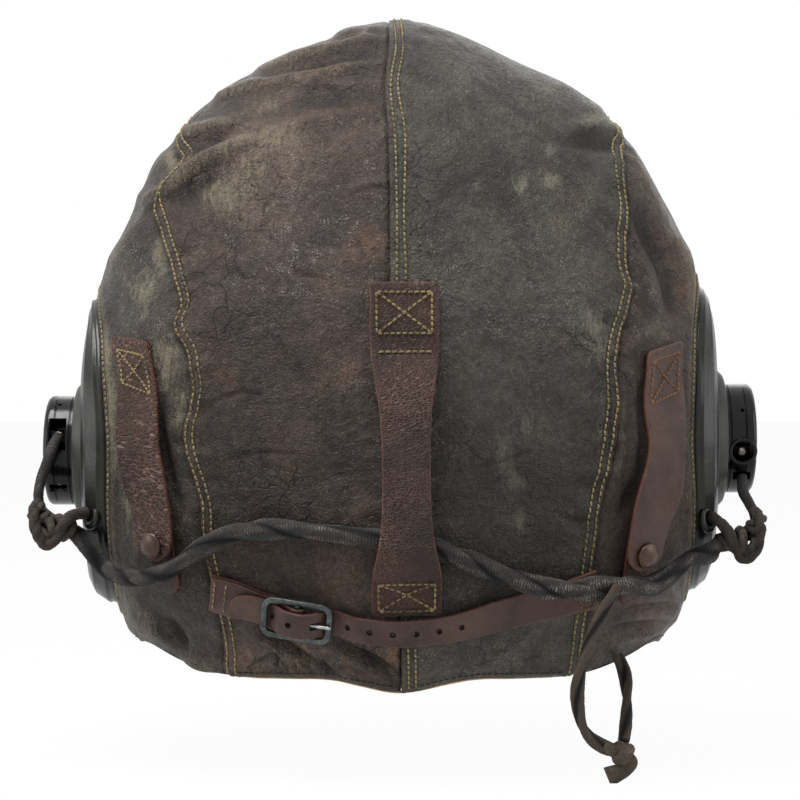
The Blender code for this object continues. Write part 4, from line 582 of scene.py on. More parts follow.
BRAID = cotton("braided_cotton", (34, 32, 32), (62, 59, 58), (172, 163, 152), 1700)
TAPE = cotton("worn_tape", (62, 54, 48), (80, 70, 62), (116, 104, 92), 1700)
TIE_COTTON = cotton("tie_cotton", (38, 34, 31), (70, 63, 57), (118, 106, 94), 1900)


def thread(name, dark, light):
    finish = Finish(name, 0.62, specular=0.35)
    colour = finish.blend(finish.clouds((1900, 3, 0.6), 0.35, 0.68), tone(*dark), tone(*light))
    colour = finish.layers(colour, (finish.clouds((90, 6, 0.75, 0.5), 0.44, 0.62, 0, 0.85), (66, 60, 44)))
    return finish.done(colour, None, finish.bumps(((4200, 2, 0.5), 0.00012)))


OCHRE_THREAD = thread("ochre_thread", (112, 97, 64), (170, 152, 108))
RUST_THREAD = thread("rust_thread", (96, 66, 42), (140, 100, 66))
DARK_THREAD = thread("dark_thread", (44, 38, 32), (76, 66, 54))


# %% Rubber, bakelite, suede
def rubber(name):
    finish = Finish(name, 0.30, specular=0.30)
    bloom, dusty = finish.clouds((40, 6, 0.65, 0.6), 0.36, 0.70), finish.painted("dusty")
    colour = finish.blend(dusty, finish.blend(bloom, tone(13, 13, 12), tone(36, 35, 32)),
                          finish.blend(bloom, tone(44, 44, 41), tone(68, 68, 63)))
    colour = finish.layers(colour, (finish.clouds((300, 8, 0.75, 0.5), 0.58, 0.74, 0, 0.45), (98, 96, 84)))
    rough = finish.plus(finish.clouds((120, 5, 0.6), 0.3, 0.7, 0.22, 0.38), finish.times(dusty, 0.16))
    return finish.done(colour, rough, finish.bumps(((700, 5, 0.6), 0.00006), ((60, 3, 0.5), 0.00045)))


def moulding(name):
    finish = Finish(name, 0.16, specular=0.24)
    colour = finish.blend(finish.clouds((90, 6, 0.7), 0.4, 0.7), tone(8, 8, 9), tone(20, 19, 19))
    scratch = finish.clouds((1.0, 8, 0.8, 0.0, finish.moved(scale=(300, 1400, 1400))), 0.66, 0.80, 0, 0.30)
    rough = finish.clouds((260, 7, 0.75, 0.6), 0.40, 0.72, 0.13, 0.34)
    return finish.done(finish.layers(colour, (scratch, (96, 92, 86))), rough,
                       finish.bumps(((160, 3, 0.5), 0.00008)))


def suede(name, dark, light, nap=0.00030):
    finish = Finish(name, 0.95, specular=0.2)
    finish.shader.inputs["Sheen Weight"].default_value = 0.25
    colour = finish.blend(finish.clouds((38, 6, 0.65, 0.8), 0.32, 0.68), tone(*dark), tone(*light))
    colour = finish.layers(colour, (finish.clouds((14, 5, 0.6, 0.4), 0.50, 0.74, 0, 0.55), (92, 72, 50)))
    colour = finish.shaded(colour, finish.clouds((1700, 4, 0.75, 0.8), 0.3, 0.7, 0.86, 1.10))
    return finish.done(colour, None, finish.bumps(((1500, 5, 0.8, 0.6), nap)))


CUP_RUBBER = rubber("cup_rubber_worn")
BAKELITE = moulding("bakelite_polished")
CHAMOIS = suede("lining_chamois", (150, 122, 84), (190, 162, 118))
PAD_LEATHER = suede("pad_leather_soft", (84, 62, 46), (122, 94, 70), 0.00016)


# %% Metals and inner pieces
def metal(name, dark, light, worn, roughness, metallic, scale, wear_low=0.56):
    finish = Finish(name, roughness, metallic)
    colour = finish.blend(finish.clouds((scale, 6, 0.65, 0.5), 0.34, 0.68), tone(*dark), tone(*light))
    rubbed = finish.clouds((scale * 3.1, 7, 0.8, 0.7), wear_low, wear_low + 0.14, 0, 0.8)
    rough = finish.clouds((scale * 2, 5, 0.7), 0.3, 0.7, roughness - 0.08, roughness + 0.14)
    return finish.done(finish.layers(colour, (rubbed, worn)), rough,
                       finish.bumps(((scale * 7, 4, 0.7), 0.00007), ((scale * 1.3, 3, 0.6), 0.00012)))


LACQUER = metal("lacquered_stud", (48, 30, 22), (84, 56, 40), (120, 84, 56), 0.24, 0.35, 160, 0.66)
BUCKLE_STEEL = metal("blued_steel", (50, 54, 53), (92, 98, 96), (140, 144, 140), 0.32, 0.75, 260)
PRONG_STEEL = metal("bright_prong_steel", (120, 124, 122), (186, 190, 188), (90, 88, 84), 0.22, 0.95, 300)
NICKEL = metal("dull_nickel", (150, 142, 124), (196, 190, 172), (110, 96, 72), 0.30, 1.0, 400)
MAGNET = metal("magnet_steel_dull", (96, 96, 98), (132, 132, 134), (90, 74, 60), 0.42, 1.0, 180)
COPPER = metal("copper_winding_varnished", (138, 78, 42), (178, 106, 60), (86, 48, 28), 0.36, 0.85, 900)
print("finishes:", len(bpy.data.materials))

# %% [markdown]
# ## Cords
# The wiring loom is a braided cotton sleeve over two wires that turn slowly round each other, so it looks like
# two soft lobes. Each route is a line of given places, the same ones that the solids follow. A tube of
# rings is laid along it, and the rings are pushed in and out to give the lobes and the rows of the braid. A
# curve with a bevel would be quicker, but it can't carry a braid.

# %% Smooth routes
def lengths_along(points):
    return np.concatenate([[0.0], np.cumsum(np.linalg.norm(np.diff(points, axis=0), axis=1))])


def read_line(line, lengths, where):
    return np.stack([np.interp(where, lengths, line[:, axis]) for axis in range(3)], -1)


def smooth_curve(points, where):
    return np.stack([smooth_table(list(enumerate(points[:, axis])), where) for axis in range(3)], -1)


def smooth_route(points, step):
    """Evenly spaced points along a smooth curve through a route, and its length."""
    points = np.array(points, float)
    curve = smooth_curve(points, np.linspace(0, len(points) - 1, 40 * len(points)))
    lengths = lengths_along(curve)
    places = np.linspace(0, lengths[-1], max(int(round(lengths[-1] / step)), 4) + 1)
    return read_line(curve, lengths, places), lengths[-1]


def frames_along(points):
    """Two directions square to the route at each point, carried along so that they don't spin."""
    ways = unit(np.gradient(points, axis=0))
    first = np.cross(ways[0], (0.0, 0.0, 1.0))
    if np.linalg.norm(first) < 0.1:
        first = np.cross(ways[0], (0.0, 1.0, 0.0))
    firsts = [first / np.linalg.norm(first)]
    for way in ways[1:]:
        carried = firsts[-1] - way * np.dot(firsts[-1], way)
        firsts.append(carried / np.linalg.norm(carried))
    firsts = np.array(firsts)
    return firsts, np.cross(ways, firsts)


def turns_round(steps):
    return np.linspace(0, 2 * math.pi, steps, endpoint=False)


def tube(name, points, wide, material, body="hood", ways=None, deep=None):
    """A closed tube of rings, from a grid of ring by step of half widths and, for a flat one, half depths."""
    first, second = frames_along(points) if ways is None else ways
    deep = wide if deep is None else deep
    rings, steps = wide.shape
    angle = turns_round(steps)[None, :, None]
    shell = points[:, None] + (first[:, None] * np.cos(angle) * wide[..., None]
                               + second[:, None] * np.sin(angle) * deep[..., None])
    points = np.concatenate([shell.reshape(-1, 3), points[:1], points[-1:]])
    return new_piece(name, points, capped_faces(rings, steps), material, body)


# %% Braid
def braided(points, length, radius, lobe, braid, pitch, turn_length, strands, steps, seed, fuzz):
    """Radii of a braided sleeve: two lobes that turn slowly, and crossed rows of yarn on them."""
    run = np.linspace(0, length, len(points))[:, None]
    angle = turns_round(steps)[None, :]
    wander = 0.9 * np.sin(run / turn_length * 2.3 + seed) + 0.5 * np.sin(run / turn_length * 5.1 + seed * 2)
    lobes = lobe * (np.abs(np.cos(angle - 2 * math.pi * run / turn_length - wander)) - 0.55)
    column = np.abs((strands * angle / (2 * math.pi) + 0.3 * np.sin(run / 0.009)) % 1 - 0.5) * 2
    slip = 1.6 * np.sin(run / 0.0051 + seed) + 1.4 * np.sin(2 * angle + run / 0.009) + 0.9 * np.sin(run / 0.0023)
    rows = 0.5 + 0.5 * np.sin(2 * math.pi * run / pitch + 3.4 * column + slip)
    worn = 0.62 + 0.38 * np.sin(run / 0.0034 + 3 * angle + seed) * np.sin(run / 0.0057 - 2 * angle)
    rows = rows * (0.40 + 0.60 * column) * worn
    bumps = 1 + 0.05 * np.sin(run / 0.011 + seed) + 0.04 * np.sin(run / 0.0043 + 2 * seed)
    rough = fuzz * np.random.default_rng(seed).normal(size=(len(points), steps))
    return radius * bumps + lobes + braid * (rows - 0.5) + rough, rows


def cord_looks(piece, faded, crease_shade):
    """Paints a tube that closes on a point at each end: its faded places and its painted shade in the grooves."""
    for name, values in (("faded", faded), ("crease_shade", crease_shade)):
        paint(piece, name, np.concatenate([values.ravel(), [0, 0]]))


# %% Loom across the back
HUNDREDTHS = 100000  # hundredths of a millimetre in a metre
LOOM_RADIUS, LOOM_LENGTH = 0.0038, 0.3189
LOOM_LEFT = table("-13020,-3870,-3560 -12620,-4150,-3780 -12150,-4600,-4250", HUNDREDTHS)
LOOM_RIGHT = table("12050,-4650,-4450 12500,-3950,-4200 12880,-3620,-4020", HUNDREDTHS)
# The part behind, as x, z and lift over the leather:
LOOM_BACK = table("""
-11030,-4800,620 -10500,-5000,680 -9750,-5040,720 -9100,-4990,740 -8400,-4740,720 -7700,-4250,600
-7000,-3780,500 -6100,-3380,450 -5100,-3220,430 -4000,-3220,420 -2800,-3300,420 -1800,-3400,420
-600,-3520,420 400,-3660,420 1300,-3900,420 2200,-4250,430 3100,-4600,460 4000,-4920,520
4800,-5180,620 5600,-5320,700 6500,-5350,740 7400,-5300,740 8300,-5250,740 9050,-5300,760
9750,-5050,660 10350,-4800,540 10900,-4500,480""", HUNDREDTHS)


def loom():
    back = [skin(*back_place(x, z), lift) for x, z, lift in LOOM_BACK]
    points, length = smooth_route(LOOM_LEFT + back + LOOM_RIGHT, 0.00030)
    sleeve = LOOM_RADIUS - 0.0003
    radii, rows = braided(points, length, sleeve, 0.0016, 0.00034, 0.00110, 0.052, 5, 60, 4, 0.00007)
    run = np.linspace(0, 1, len(points))[:, None]
    radii = radii * (0.97 - 0.10 * np.exp(-((run - 0.12) / 0.09) ** 2) + 0.13 * np.exp(-((run - 0.76) / 0.10) ** 2))
    piece = tube("loom_braided", points, radii, BRAID)
    faded = 0.15 + 0.60 * np.exp(-((run - 0.78) / 0.11) ** 2) + 0.20 * np.exp(-((run - 0.45) / 0.05) ** 2)
    faded = np.clip(faded * 0.45 + 1.9 * (rows - 0.34) * (0.40 + faded), 0, 1)
    # Painted shade in the grooves, where the sleeve sinks below its radius.
    cord_looks(piece, faded, np.clip((sleeve - radii) / 0.0008, 0, 0.9))
    stands_for(piece, "cord_cotton", "loom")
    print("loom", round(length, 4), "m", len(radii), "rings")


loom()


# %% Leads, ties and drop cord
CORD_ROUTES = {  # radius, declared length, far end, stiffness, then the route in hundredths of a millimetre
    "receiver_lead_left": (0.0021, 0.0523, "object", "medium", """
-13770,-1816,83 -13770,-2340,-30 -13810,-2700,-200 -13920,-2920,-550 -14070,-3060,-1050 -14260,-3180,-1650
-14340,-3270,-2250 -14240,-3310,-2750 -13950,-3330,-3040 -13617,-3452,-3232 -13345,-3643,-3382
-13072,-3833,-3531"""),
    "receiver_lead_right": (0.0021, 0.0406, "object", "medium", """
13770,-1688,-1535 13770,-1923,-1749 13720,-2500,-2120 13880,-2920,-2520 14050,-3080,-2900 14100,-3040,-3300
13850,-3020,-3620 13449,-3126,-3750 13189,-3351,-3873 12930,-3577,-3996"""),
    "tie_cord_left": (0.0022, 0.0506, "knot", "limp", """
-12327,-4050,-2863 -12560,-4265,-2912 -12840,-4600,-2980 -13120,-4800,-3250 -13450,-4780,-3900
-13850,-4800,-4080 -14200,-4920,-3500 -14320,-4650,-2760 -14300,-4100,-2560 -14300,-3560,-2560"""),
    "tie_cord_right": (0.0022, 0.0543, "knot", "limp", """
12261,-3930,-3035 12410,-4170,-3140 12640,-4360,-3320 12900,-4420,-3750 13200,-4300,-4300 13500,-4240,-4680
13920,-4400,-4400 14100,-4580,-3700 14030,-4320,-3000 14030,-3850,-2880 14030,-3290,-2880"""),
    "drop_cord": (0.0023, 0.0722, "knot", "limp", """
8120,-8800,-5330 7900,-8840,-5800 7610,-8940,-6320 7270,-9150,-6980 6930,-9280,-7680 6720,-9220,-8500
6620,-9000,-9260 6660,-8850,-9960 6820,-8750,-10620 7120,-8680,-11080 7500,-8600,-11360 7890,-8530,-11550"""),
    "drop_cord_back": (0.0023, 0.0445, "knot", "limp", """
8465,-5025,-8365 8630,-5150,-8750 8720,-5350,-9080 8740,-5900,-9480 8700,-6600,-10000 8580,-7400,-10650
8430,-8150,-11320"""),
}
CORD_STEPS, TAPE_TURN = 28, 0.058


def thin_cord(name, with_pieces=()):
    """A lead is a plain round cord, a tie is twisted, and the drop cord's strands are a flat tape, twisted."""
    radius, length, far_end, stiffness, route = CORD_ROUTES[name]
    points, run = smooth_route(table(route, HUNDREDTHS), 0.00035)
    plain, flat = name.startswith("receiver"), name.startswith("drop")
    lobe, braid = (0.00008, 0.00006) if flat else (0.00010 if plain else 0.00040, 0.00020)
    radii, rows = braided(points, run, radius - 0.00004, lobe, braid, 0.0013, 0.030 if plain else 0.012, 4,
                          CORD_STEPS, len(name), 0.00003)
    if flat:
        twist = 2 * math.pi * np.linspace(0, run, len(points)) / TAPE_TURN
        radii = radii * (1.20 - 0.52 * np.sin(turns_round(CORD_STEPS)[None, :] - twist[:, None]) ** 2)
    piece = tube(name + "_braided", points, radii, BRAID if plain else TAPE if flat else TIE_COTTON)
    faded = 0.25 + 0.25 * waves(points, 0.02, 3)[:, None] + 0.8 * (rows - 0.6)
    # Painted shade in the grooves, where the cord sinks below its radius.
    cord_looks(piece, np.clip(faded, 0, 1), np.clip((radius - 0.0001 - radii) / 0.0006, 0, 1))
    stands_for(piece, "cord_cotton", name)
    print(name, round(run, 4), "m")


# %% [markdown]
# ## Knots
# At each side the tie cord is wound round the loom and the lead and knotted. A real knot is a strand that passes
# over and under itself, so each knot here is a short strand on its own closed winding, laid over the place where
# the cords meet. The drop cord's two strands are a flat woven tape, twisted, and end in one knot with the cut end
# of the tape below it.

# %% Knots at the sides and on the drop cord
def round_knot(name, centre, axis, along, size, radius, seed, material):
    """Two turns of cord wound round a place: a lumpy ball made of one strand."""
    axis = np.array(axis, float) / np.linalg.norm(axis)
    along = np.array(along, float) - axis * np.dot(along, axis)
    along /= np.linalg.norm(along)
    third = np.cross(axis, along)
    chance = np.random.default_rng(seed)
    points = []
    for index in range(17):
        angle = 2 * math.pi * index / 8
        drift = (index / 16 - 0.5) * 2
        lean = 0.5 * math.sin(angle + drift * 2.2)
        wide = size[1] * (1 - 0.25 * drift * drift) * (1 + 0.08 * chance.normal())
        points.append(np.array(centre, float) + axis * (size[0] * drift + lean * size[0] * 0.6)
                      + along * (wide * math.cos(angle)) + third * (wide * math.sin(angle)))
    route, run = smooth_route(points, 0.0004)
    radii, _ = braided(route, run, radius, 0.00022, 0.00022, 0.0013, 0.012, 4, 24, seed, 0.00003)
    radii[0], radii[-1] = radii[0] * 0.5, radii[-1] * 0.5
    piece = tube(name, route, radii, material)
    spots = np.array([vertex.co[:] for vertex in piece.data.vertices])
    paint(piece, "faded", np.clip(0.35 + 0.5 * waves(spots, 0.006, seed), 0, 1))
    # Painted shade: the strands nearest the knot's middle are darkened, as shade falls between them.
    away = np.linalg.norm(spots - route.mean(0), axis=1)
    paint(piece, "crease_shade", 0.9 * ease(-(away - away.min()) / (away.max() - away.min()), -0.72, -0.35))
    return stands_for(piece, "cord_cotton")


INNER, MIDDLE, OUTER = (0.0034, 0.0034), (0.0034, 0.0036), (0.0032, 0.0028)
KNOTS = {  # centre, axis, a direction across it, half height and radius, the strand's radius, seed
    "knot_left_inner": ((-0.1318, -0.0420, -0.0350), (-0.8, -0.3, 0.5), (0, 0.4, 1), INNER, 0.0019, 2),
    "knot_left_middle": ((-0.1372, -0.0440, -0.0352), (-0.9, 0.1, -0.4), (0, 0.2, 1), MIDDLE, 0.0018, 5),
    "knot_left_outer": ((-0.1418, -0.0430, -0.0300), (-0.2, 0.1, 1), (1, 0, 0.1), OUTER, 0.0017, 8),
    "knot_right_inner": ((0.1302, -0.0400, -0.0392), (0.8, -0.3, 0.4), (0, 0.4, 1), INNER, 0.0019, 3),
    "knot_right_middle": ((0.1362, -0.0410, -0.0412), (0.8, 0.1, -0.5), (0, 0.2, 1), MIDDLE, 0.0018, 6),
    "knot_right_outer": ((0.1400, -0.0405, -0.0345), (0.2, 0.1, 1), (1, 0, -0.1), OUTER, 0.0017, 9),
}
knots = {name: round_knot(name, *values, TIE_COTTON) for name, values in KNOTS.items()}

# %% Drop knot and the end of the tape
drop_knot = round_knot("drop_knot_wound", (0.0838, -0.0848, -0.1174), (0.9, 0.1, -0.35), (0, 1, 0.2),
                       (0.0024, 0.0026), 0.0022, 12, TAPE)
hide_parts("drop_cord_knot")
TAIL_ROUTE = table("""
7600,-8590,-11410 8000,-8560,-11600 8420,-8560,-11760 8680,-8580,-12020 8460,-8600,-12280 8060,-8580,-12460
7770,-8560,-12580""", HUNDREDTHS)


def tape_end(name, route):
    """The flat end of the tape: it folds out of the knot, widens and is cut off straight."""
    line, _ = smooth_route(route, 0.0004)
    part = np.linspace(0, 1, len(line))[:, None] + np.zeros(24)
    ahead = unit(np.gradient(line, axis=0))
    broad = unit(np.cross(ahead, (0.0, 1.0, 0.0)))
    wide, deep = 0.0024 + 0.0014 * ease(part, 0.55, 1.0), 0.0020 - 0.0013 * ease(part, 0.5, 0.95)
    piece = tube(name, line, wide, TAPE, ways=(broad, unit(np.cross(broad, ahead))), deep=deep)
    spots = np.array([vertex.co[:] for vertex in piece.data.vertices])
    paint(piece, "faded", np.clip(0.5 + 0.4 * waves(spots, 0.008, 5), 0, 1))
    paint(piece, "crease_shade", np.zeros(len(spots)))
    return stands_for(piece, "cord_cotton")


tail = tape_end("drop_cord_tail_tape", TAIL_ROUTE)
for side in ("left", "right"):
    thin_cord(f"receiver_lead_{side}")
for side in ("left", "right"):
    thin_cord(f"tie_cord_{side}", [knots[name] for name in knots if side in name])
thin_cord("drop_cord", [drop_knot, tail])
thin_cord("drop_cord_back")

# %% [markdown]
# ## Where the seams run
# Two crown panels meet in the middle and lap over a side panel at each side. Each lap is sewn with two rows of
# thread that wander with the hand that guided them, so the seams are drawn through places in the picture and
# carried on round the front with the CAD model's own line.

# %% Seam lines
EAR_OVAL_WIDE, EAR_OVAL_HIGH = 0.048, 0.063
EAR_DROP = {-1: 0.005, 1: 0.0}
SIDE_NAMES = {-1: "left", 1: "right"}
BROW_EDGE, NAPE_CORNER = 134.0, -58.0
RIM = table("""
134,0.44 147,0.445 163,0.5 180,0.547 205,0.557 226,0.567 240,0.582 255,0.596 270,0.6 284,0.576 291,0.538 294,0.5
298.5,0.418 302,0.332""")
HEM = table("0,-51.6 .12,-51 .22,-54.2 .332,-58")
SIDE_SEAM_PIXELS = {
    -1: """
183,143 186,166 162,199 163,219 172,250 183,286 186,304 180,324 191,348 196,371 198,392 191,426 190,443 198,472
202,485 208,506 208,531 211,557 214,570 225,616 231,648 234,676""",
    1: """
616,145 619,179 624,204 621,235 621,260 627,288 623,306 615,332 610,357 610,407 603,464 595,497 590,538 587,563
583,600 577,640 573,668"""}
SIDE_SEAM_AWAY = {-1: [(78, 0.470), (92, 0.452), (134, 0.44)], 1: [(78, 0.462), (92, 0.452), (134, 0.44)]}
LIP_PIXELS = "389,22 389,48 385.5,81 385.5,96 388,124 390,200 390,275 391,450 399,600 401.5,645 401.5,690"
ROW_PIXELS = ["394,22 396,48 391,81 391,96 395,134 397,205 397,275 398,450 405,600 408,645 409,690",
              "401,22 403,50 398,83 399,96 405,134 404,217 406,275 406,450 412,600 415,645 416,690"]
MILLIMETRE = 0.001
ACROSS = EAR_HALF_WIDTH * QUARTER


def line_on_hood(pixels, tail):
    """A seam as a table of (degrees, share), through places in the picture, low end first."""
    pairs = [tuple(float(v) for v in spot(px, py)) for px, py in table(pixels)][::-1]
    kept = [pairs[0]]
    for pair in pairs[1:]:
        if pair[0] > kept[-1][0] + 0.8:
            kept.append(pair)
    return kept + [entry for entry in tail if entry[0] > kept[-1][0] + 2]


SIDE_SEAMS = {}
for side in (-1, 1):
    away = [(degrees, side * share) for degrees, share in SIDE_SEAM_AWAY[side]]
    SIDE_SEAMS[side] = [(-60.0, side * 0.330)] + [
        entry for entry in line_on_hood(SIDE_SEAM_PIXELS[side], away) if entry[0] > -56.5]
    print(SIDE_NAMES[side], "side seam", [(round(a), round(b, 3)) for a, b in SIDE_SEAMS[side]])
LIP = line_on_hood(LIP_PIXELS, [(84, -0.020), (100, -0.018), (134, -0.016)])
ROWS = [line_on_hood(pixels, [(84, place), (100, place + 0.002), (134, place + 0.004)])
        for pixels, place in zip(ROW_PIXELS, (-0.010, 0.004))]


def seam(side, degrees):
    """How far from the middle a side seam runs, as a share above 0."""
    return np.abs(smooth_table(SIDE_SEAMS[side], np.minimum(degrees, BROW_EDGE)))


def rim(side, degrees):
    """Outer edge of a side panel: the side seam, then the face edge and the flap's lower edge."""
    return np.where(degrees <= BROW_EDGE, seam(side, degrees), smooth_table(RIM, degrees))


def hem(share):
    return smooth_table(HEM, np.abs(share))


def oval_share(side, grow, degrees):
    """Share of the way to the ear where the ear opening's oval crosses a direction."""
    wide, high = EAR_OVAL_WIDE + grow, EAR_OVAL_HIGH + grow
    run, rise = -np.cos(np.radians(degrees)), np.sin(np.radians(degrees))
    drop = EAR_DROP[side]
    square = (run / wide) ** 2 + (rise / high) ** 2
    middle = rise * drop / high**2
    distance = (-middle + np.sqrt(middle**2 - square * ((drop / high) ** 2 - 1))) / square
    return np.abs(side_place(side, distance * run, distance * rise)[1])


def bell(gap, width):
    """1 where the gap is 0, falling off to both sides."""
    return np.exp(-(gap / width) ** 2)


# %% [markdown]
# ## Folds, puckers and scuffs
# The leather hangs in soft folds at the top left, is drawn into puckers wherever it is sewn, and is dented all
# over. All of that is one height over the skin, worked out from a place, so the stitches can be set down on the
# same height. Under the sewn straps it is kept low, so that nothing comes through them.

# %% Height of the leather over the skin
FOLD_DEPTH = 1.65
# Each line is one fold: height in millimetres, half width in pixels, then places in pixels.
FOLDS = """
2.2 5.5 384,38 363,37 343,46 323,53 297,60 262,73
1.2 4 385,31 371,31 353,33 338,36
-1.5 4 384,35 366,33 348,39 330,45
2 6 384,64 347,68 327,74 303,79 278,83 252,88 222,97
-1.2 6 380,52 350,56 322,64 300,70 268,79
0.9 4.5 376,84 350,84 323,84 300,87
1.1 9 384,113 363,110 343,112 317,119 286,125
-0.9 9 376,98 340,98 310,102 280,110 240,118
2 6.5 236,122 209,129 193,134 183,140
-1.6 7 226,136 205,147 190,155
2.6 8 250,140 230,148 208,158 189,174 175,186 159,195 146,200
-1.4 8 215,172 190,192 172,208
1.4 9 166,150 160,168 152,182
1.2 10 150,210 132,232 112,262
-1 7 140,206 122,232 106,252
0.8 6 388,182 372,184 352,190
-0.5 2.2 386,187 368,189 352,194
-0.45 2 317,245 347,249 377,243
-0.5 2.4 280,262 300,275 330,280
1.6 8 575,128 600,127 616,134
-1.3 8 560,142 590,142 612,148
1.8 9 626,150 634,168 650,205 668,240
2.2 9 668,240 682,256 690,280 694,320 697,360
-2.2 8 640,218 654,246 668,276 674,310
1.3 8 640,262 650,290 656,318
1.4 7 625,350 640,336 660,330 676,332
1.6 7 630,372 634,400 636,440 632,480
-0.55 2.6 556,514 572,519 589,521
-0.4 2.4 470,470 500,462 530,452
-0.4 2.2 230,460 262,452 300,455
-0.45 2.4 212,402 240,392 262,396
1.5 7 150,618 160,630 168,638
-2.6 6 166,622 176,634 184,648
2.2 15 132,596 140,616 152,640
-1 6 186,600 196,622 206,640
1.6 9 186,656 200,664 216,668
-1.3 3.6 252,627 270,636 287,646 307,659 335,674
1.1 4.5 248,634 266,643 286,655 310,668
-1.2 3.4 334,640 347,648 371,659 397,671
1 4.5 322,642 342,655 366,667 390,680
-0.8 2.4 254,665 262,660 270,657
-0.9 2.4 276,669 277,662 272,652
-0.9 2.4 297,671 293,661 296,652
-0.9 2.6 315,677 309,667 305,660
-0.8 2.6 330,677 324,665 320,655
-0.9 2.6 362,652 372,664 380,674
-0.9 2.6 372,657 386,672 397,686
0.6 3 340,668 348,676 356,682
1.3 7 586,107 594,114 600,120
-1.7 6.5 642,384 637,405 640,440 637,470 627,505 616,532
-1.3 5 158,372 157,400 160,430 168,470 178,505
1.4 7 612,380 618,420 618,450 606,500
-0.8 4 601,117 607,122 612,128
1.1 5 606,606 640,600 668,598
-1.1 4 604,613 636,608 668,605
1 5 608,622 640,616 668,614
-1 4 612,630 640,625 662,622
0.9 5 622,640 644,634 660,630
1.3 7 668,588 676,600 672,622
0.7 8 520,640 500,655 470,668
-0.6 8 548,630 540,650 520,668"""
ROW_OFFSET, LAP_EDGE = 1.75 * MILLIMETRE, 3.1 * MILLIMETRE
# Where straps are sewn on, as x, y, half width and half height in pixels:
STRAP_ZONES = table("""
405,312,40,52 405,596,40,34 134,372,26,50 668,380,26,50 585,588,46,30 225,600,42,34 164,556,24,40 636,556,26,40""")
CENTRE_ZONES = table("405,325,42,70 405,590,42,42")


def near_seam(side, degrees, share):
    """Distance in metres from the side seam's middle line, growing towards the ear."""
    return (side * share - seam(side, degrees)) * ACROSS


def folds(points):
    px, py = pixel_of(points)
    total = np.zeros(points.shape[:-1])
    for fold in FOLDS.strip().splitlines():
        height, half_width, line = fold.split(None, 2)
        total += float(height) * stroke(px, py, table(line), float(half_width))
    return FOLD_DEPTH * total * ease(-points[..., 1], -0.03, 0.0)


def zone_gaps(points, zones):
    """For each zone, how far points are from its middle, 1 being its edge."""
    px, py = pixel_of(points)
    return [np.hypot((px - x) / wide, (py - y) / high) for x, y, wide, high in zones]


def quiet(points):
    """1 where the leather is free, and towards 0 under what is sewn on it."""
    calm = np.minimum.reduce([ease(gap, 0.95, 1.5) for gap in zone_gaps(points, STRAP_ZONES)])
    return np.where(points[..., 1] < 0, calm, 1.0)


def relief(degrees, share):
    """Height of the leather's outer face over the skin, before any lap or seam."""
    degrees, share = np.broadcast_arrays(np.asarray(degrees, float), np.asarray(share, float))
    points = base_point(degrees, share)
    calm = quiet(points)
    dents = 0.55 * waves(points, 0.050, 3) + 0.30 * waves(points, 0.022, 5)
    warped = points + 0.004 * np.stack([waves(points, 0.03, 7 + k) for k in range(3)], -1)
    lines = bell(waves(warped, 0.034, 11), 0.10) * ease(waves(points, 0.06, 13), -0.1, 0.9)
    from_seam = np.where(share < 0, near_seam(-1, degrees, share), near_seam(1, degrees, share))
    draw = bell(np.abs(from_seam) - 0.005, 0.0045) * (degrees < BROW_EDGE)
    bend = 2 * np.sin(degrees / 9.1 + np.where(share < 0, -1.0, 1.0))
    pucker = draw * (0.55 * np.sin(degrees / 3.4 * 2.2 + bend) + 0.25 * np.sin(degrees / 1.9 * 2.6))
    middle = bell(np.abs(share * ACROSS) - 0.010, 0.004) * 0.22 * np.sin(degrees * 1.31 + np.sin(degrees / 3))
    height = folds(points) + 0.75 * dents - 0.28 * lines + pucker * 0.8 + middle
    return (height * calm - 0.1 * (1 - calm)) * MILLIMETRE


# %% [markdown]
# ## Crown and side panels
# Each panel is a grid on the skin, finer near its sewn edges. Where one panel laps over another, the upper one
# is raised a little and the lower one sinks, so a real step shows along the seam.

# %% Lapped edges
LAP_RISE, LAP_SINK = 0.55 * MILLIMETRE, 0.75 * MILLIMETRE
HOOD_LEATHER, LAP_LEATHER = 1.4 * MILLIMETRE, 0.9 * MILLIMETRE
CREASE_GAP, SEWN_WIDTH = 0.30 * MILLIMETRE, 0.7 * MILLIMETRE


def past_line(line, degrees, share):
    """Distance in metres past a line near the middle, towards the right."""
    return (share - smooth_table(line, degrees)) * ACROSS


def middle_lap(degrees, share):
    """Rise of the right crown's edge where it laps over the left one, less under the centre strap."""
    points = base_point(degrees, share)
    rise = LAP_RISE * (1 - ease(past_line(LIP, degrees, share), 0.0070, 0.0115))
    rise = rise - CREASE_GAP * sum(bell(past_line(row, degrees, share), SEWN_WIDTH) for row in ROWS)
    held = np.maximum.reduce([1 - ease(gap, 0.9, 1.25) for gap in zone_gaps(points, CENTRE_ZONES)])
    return rise * (1 - 0.6 * np.where(points[..., 1] < 0, held, 0.0)) * (0.2 + 0.8 * quiet(points))


def side_lap(side, degrees, share):
    """Rise of a crown panel's edge where it laps over the side panel."""
    past = near_seam(side, degrees, share)
    rows = bell(past - ROW_OFFSET, SEWN_WIDTH) + bell(past + ROW_OFFSET, SEWN_WIDTH)
    return (LAP_RISE * ease(past, -0.0060, -0.0025) - CREASE_GAP * rows) * (
        0.1 + 0.9 * quiet(base_point(degrees, share)))


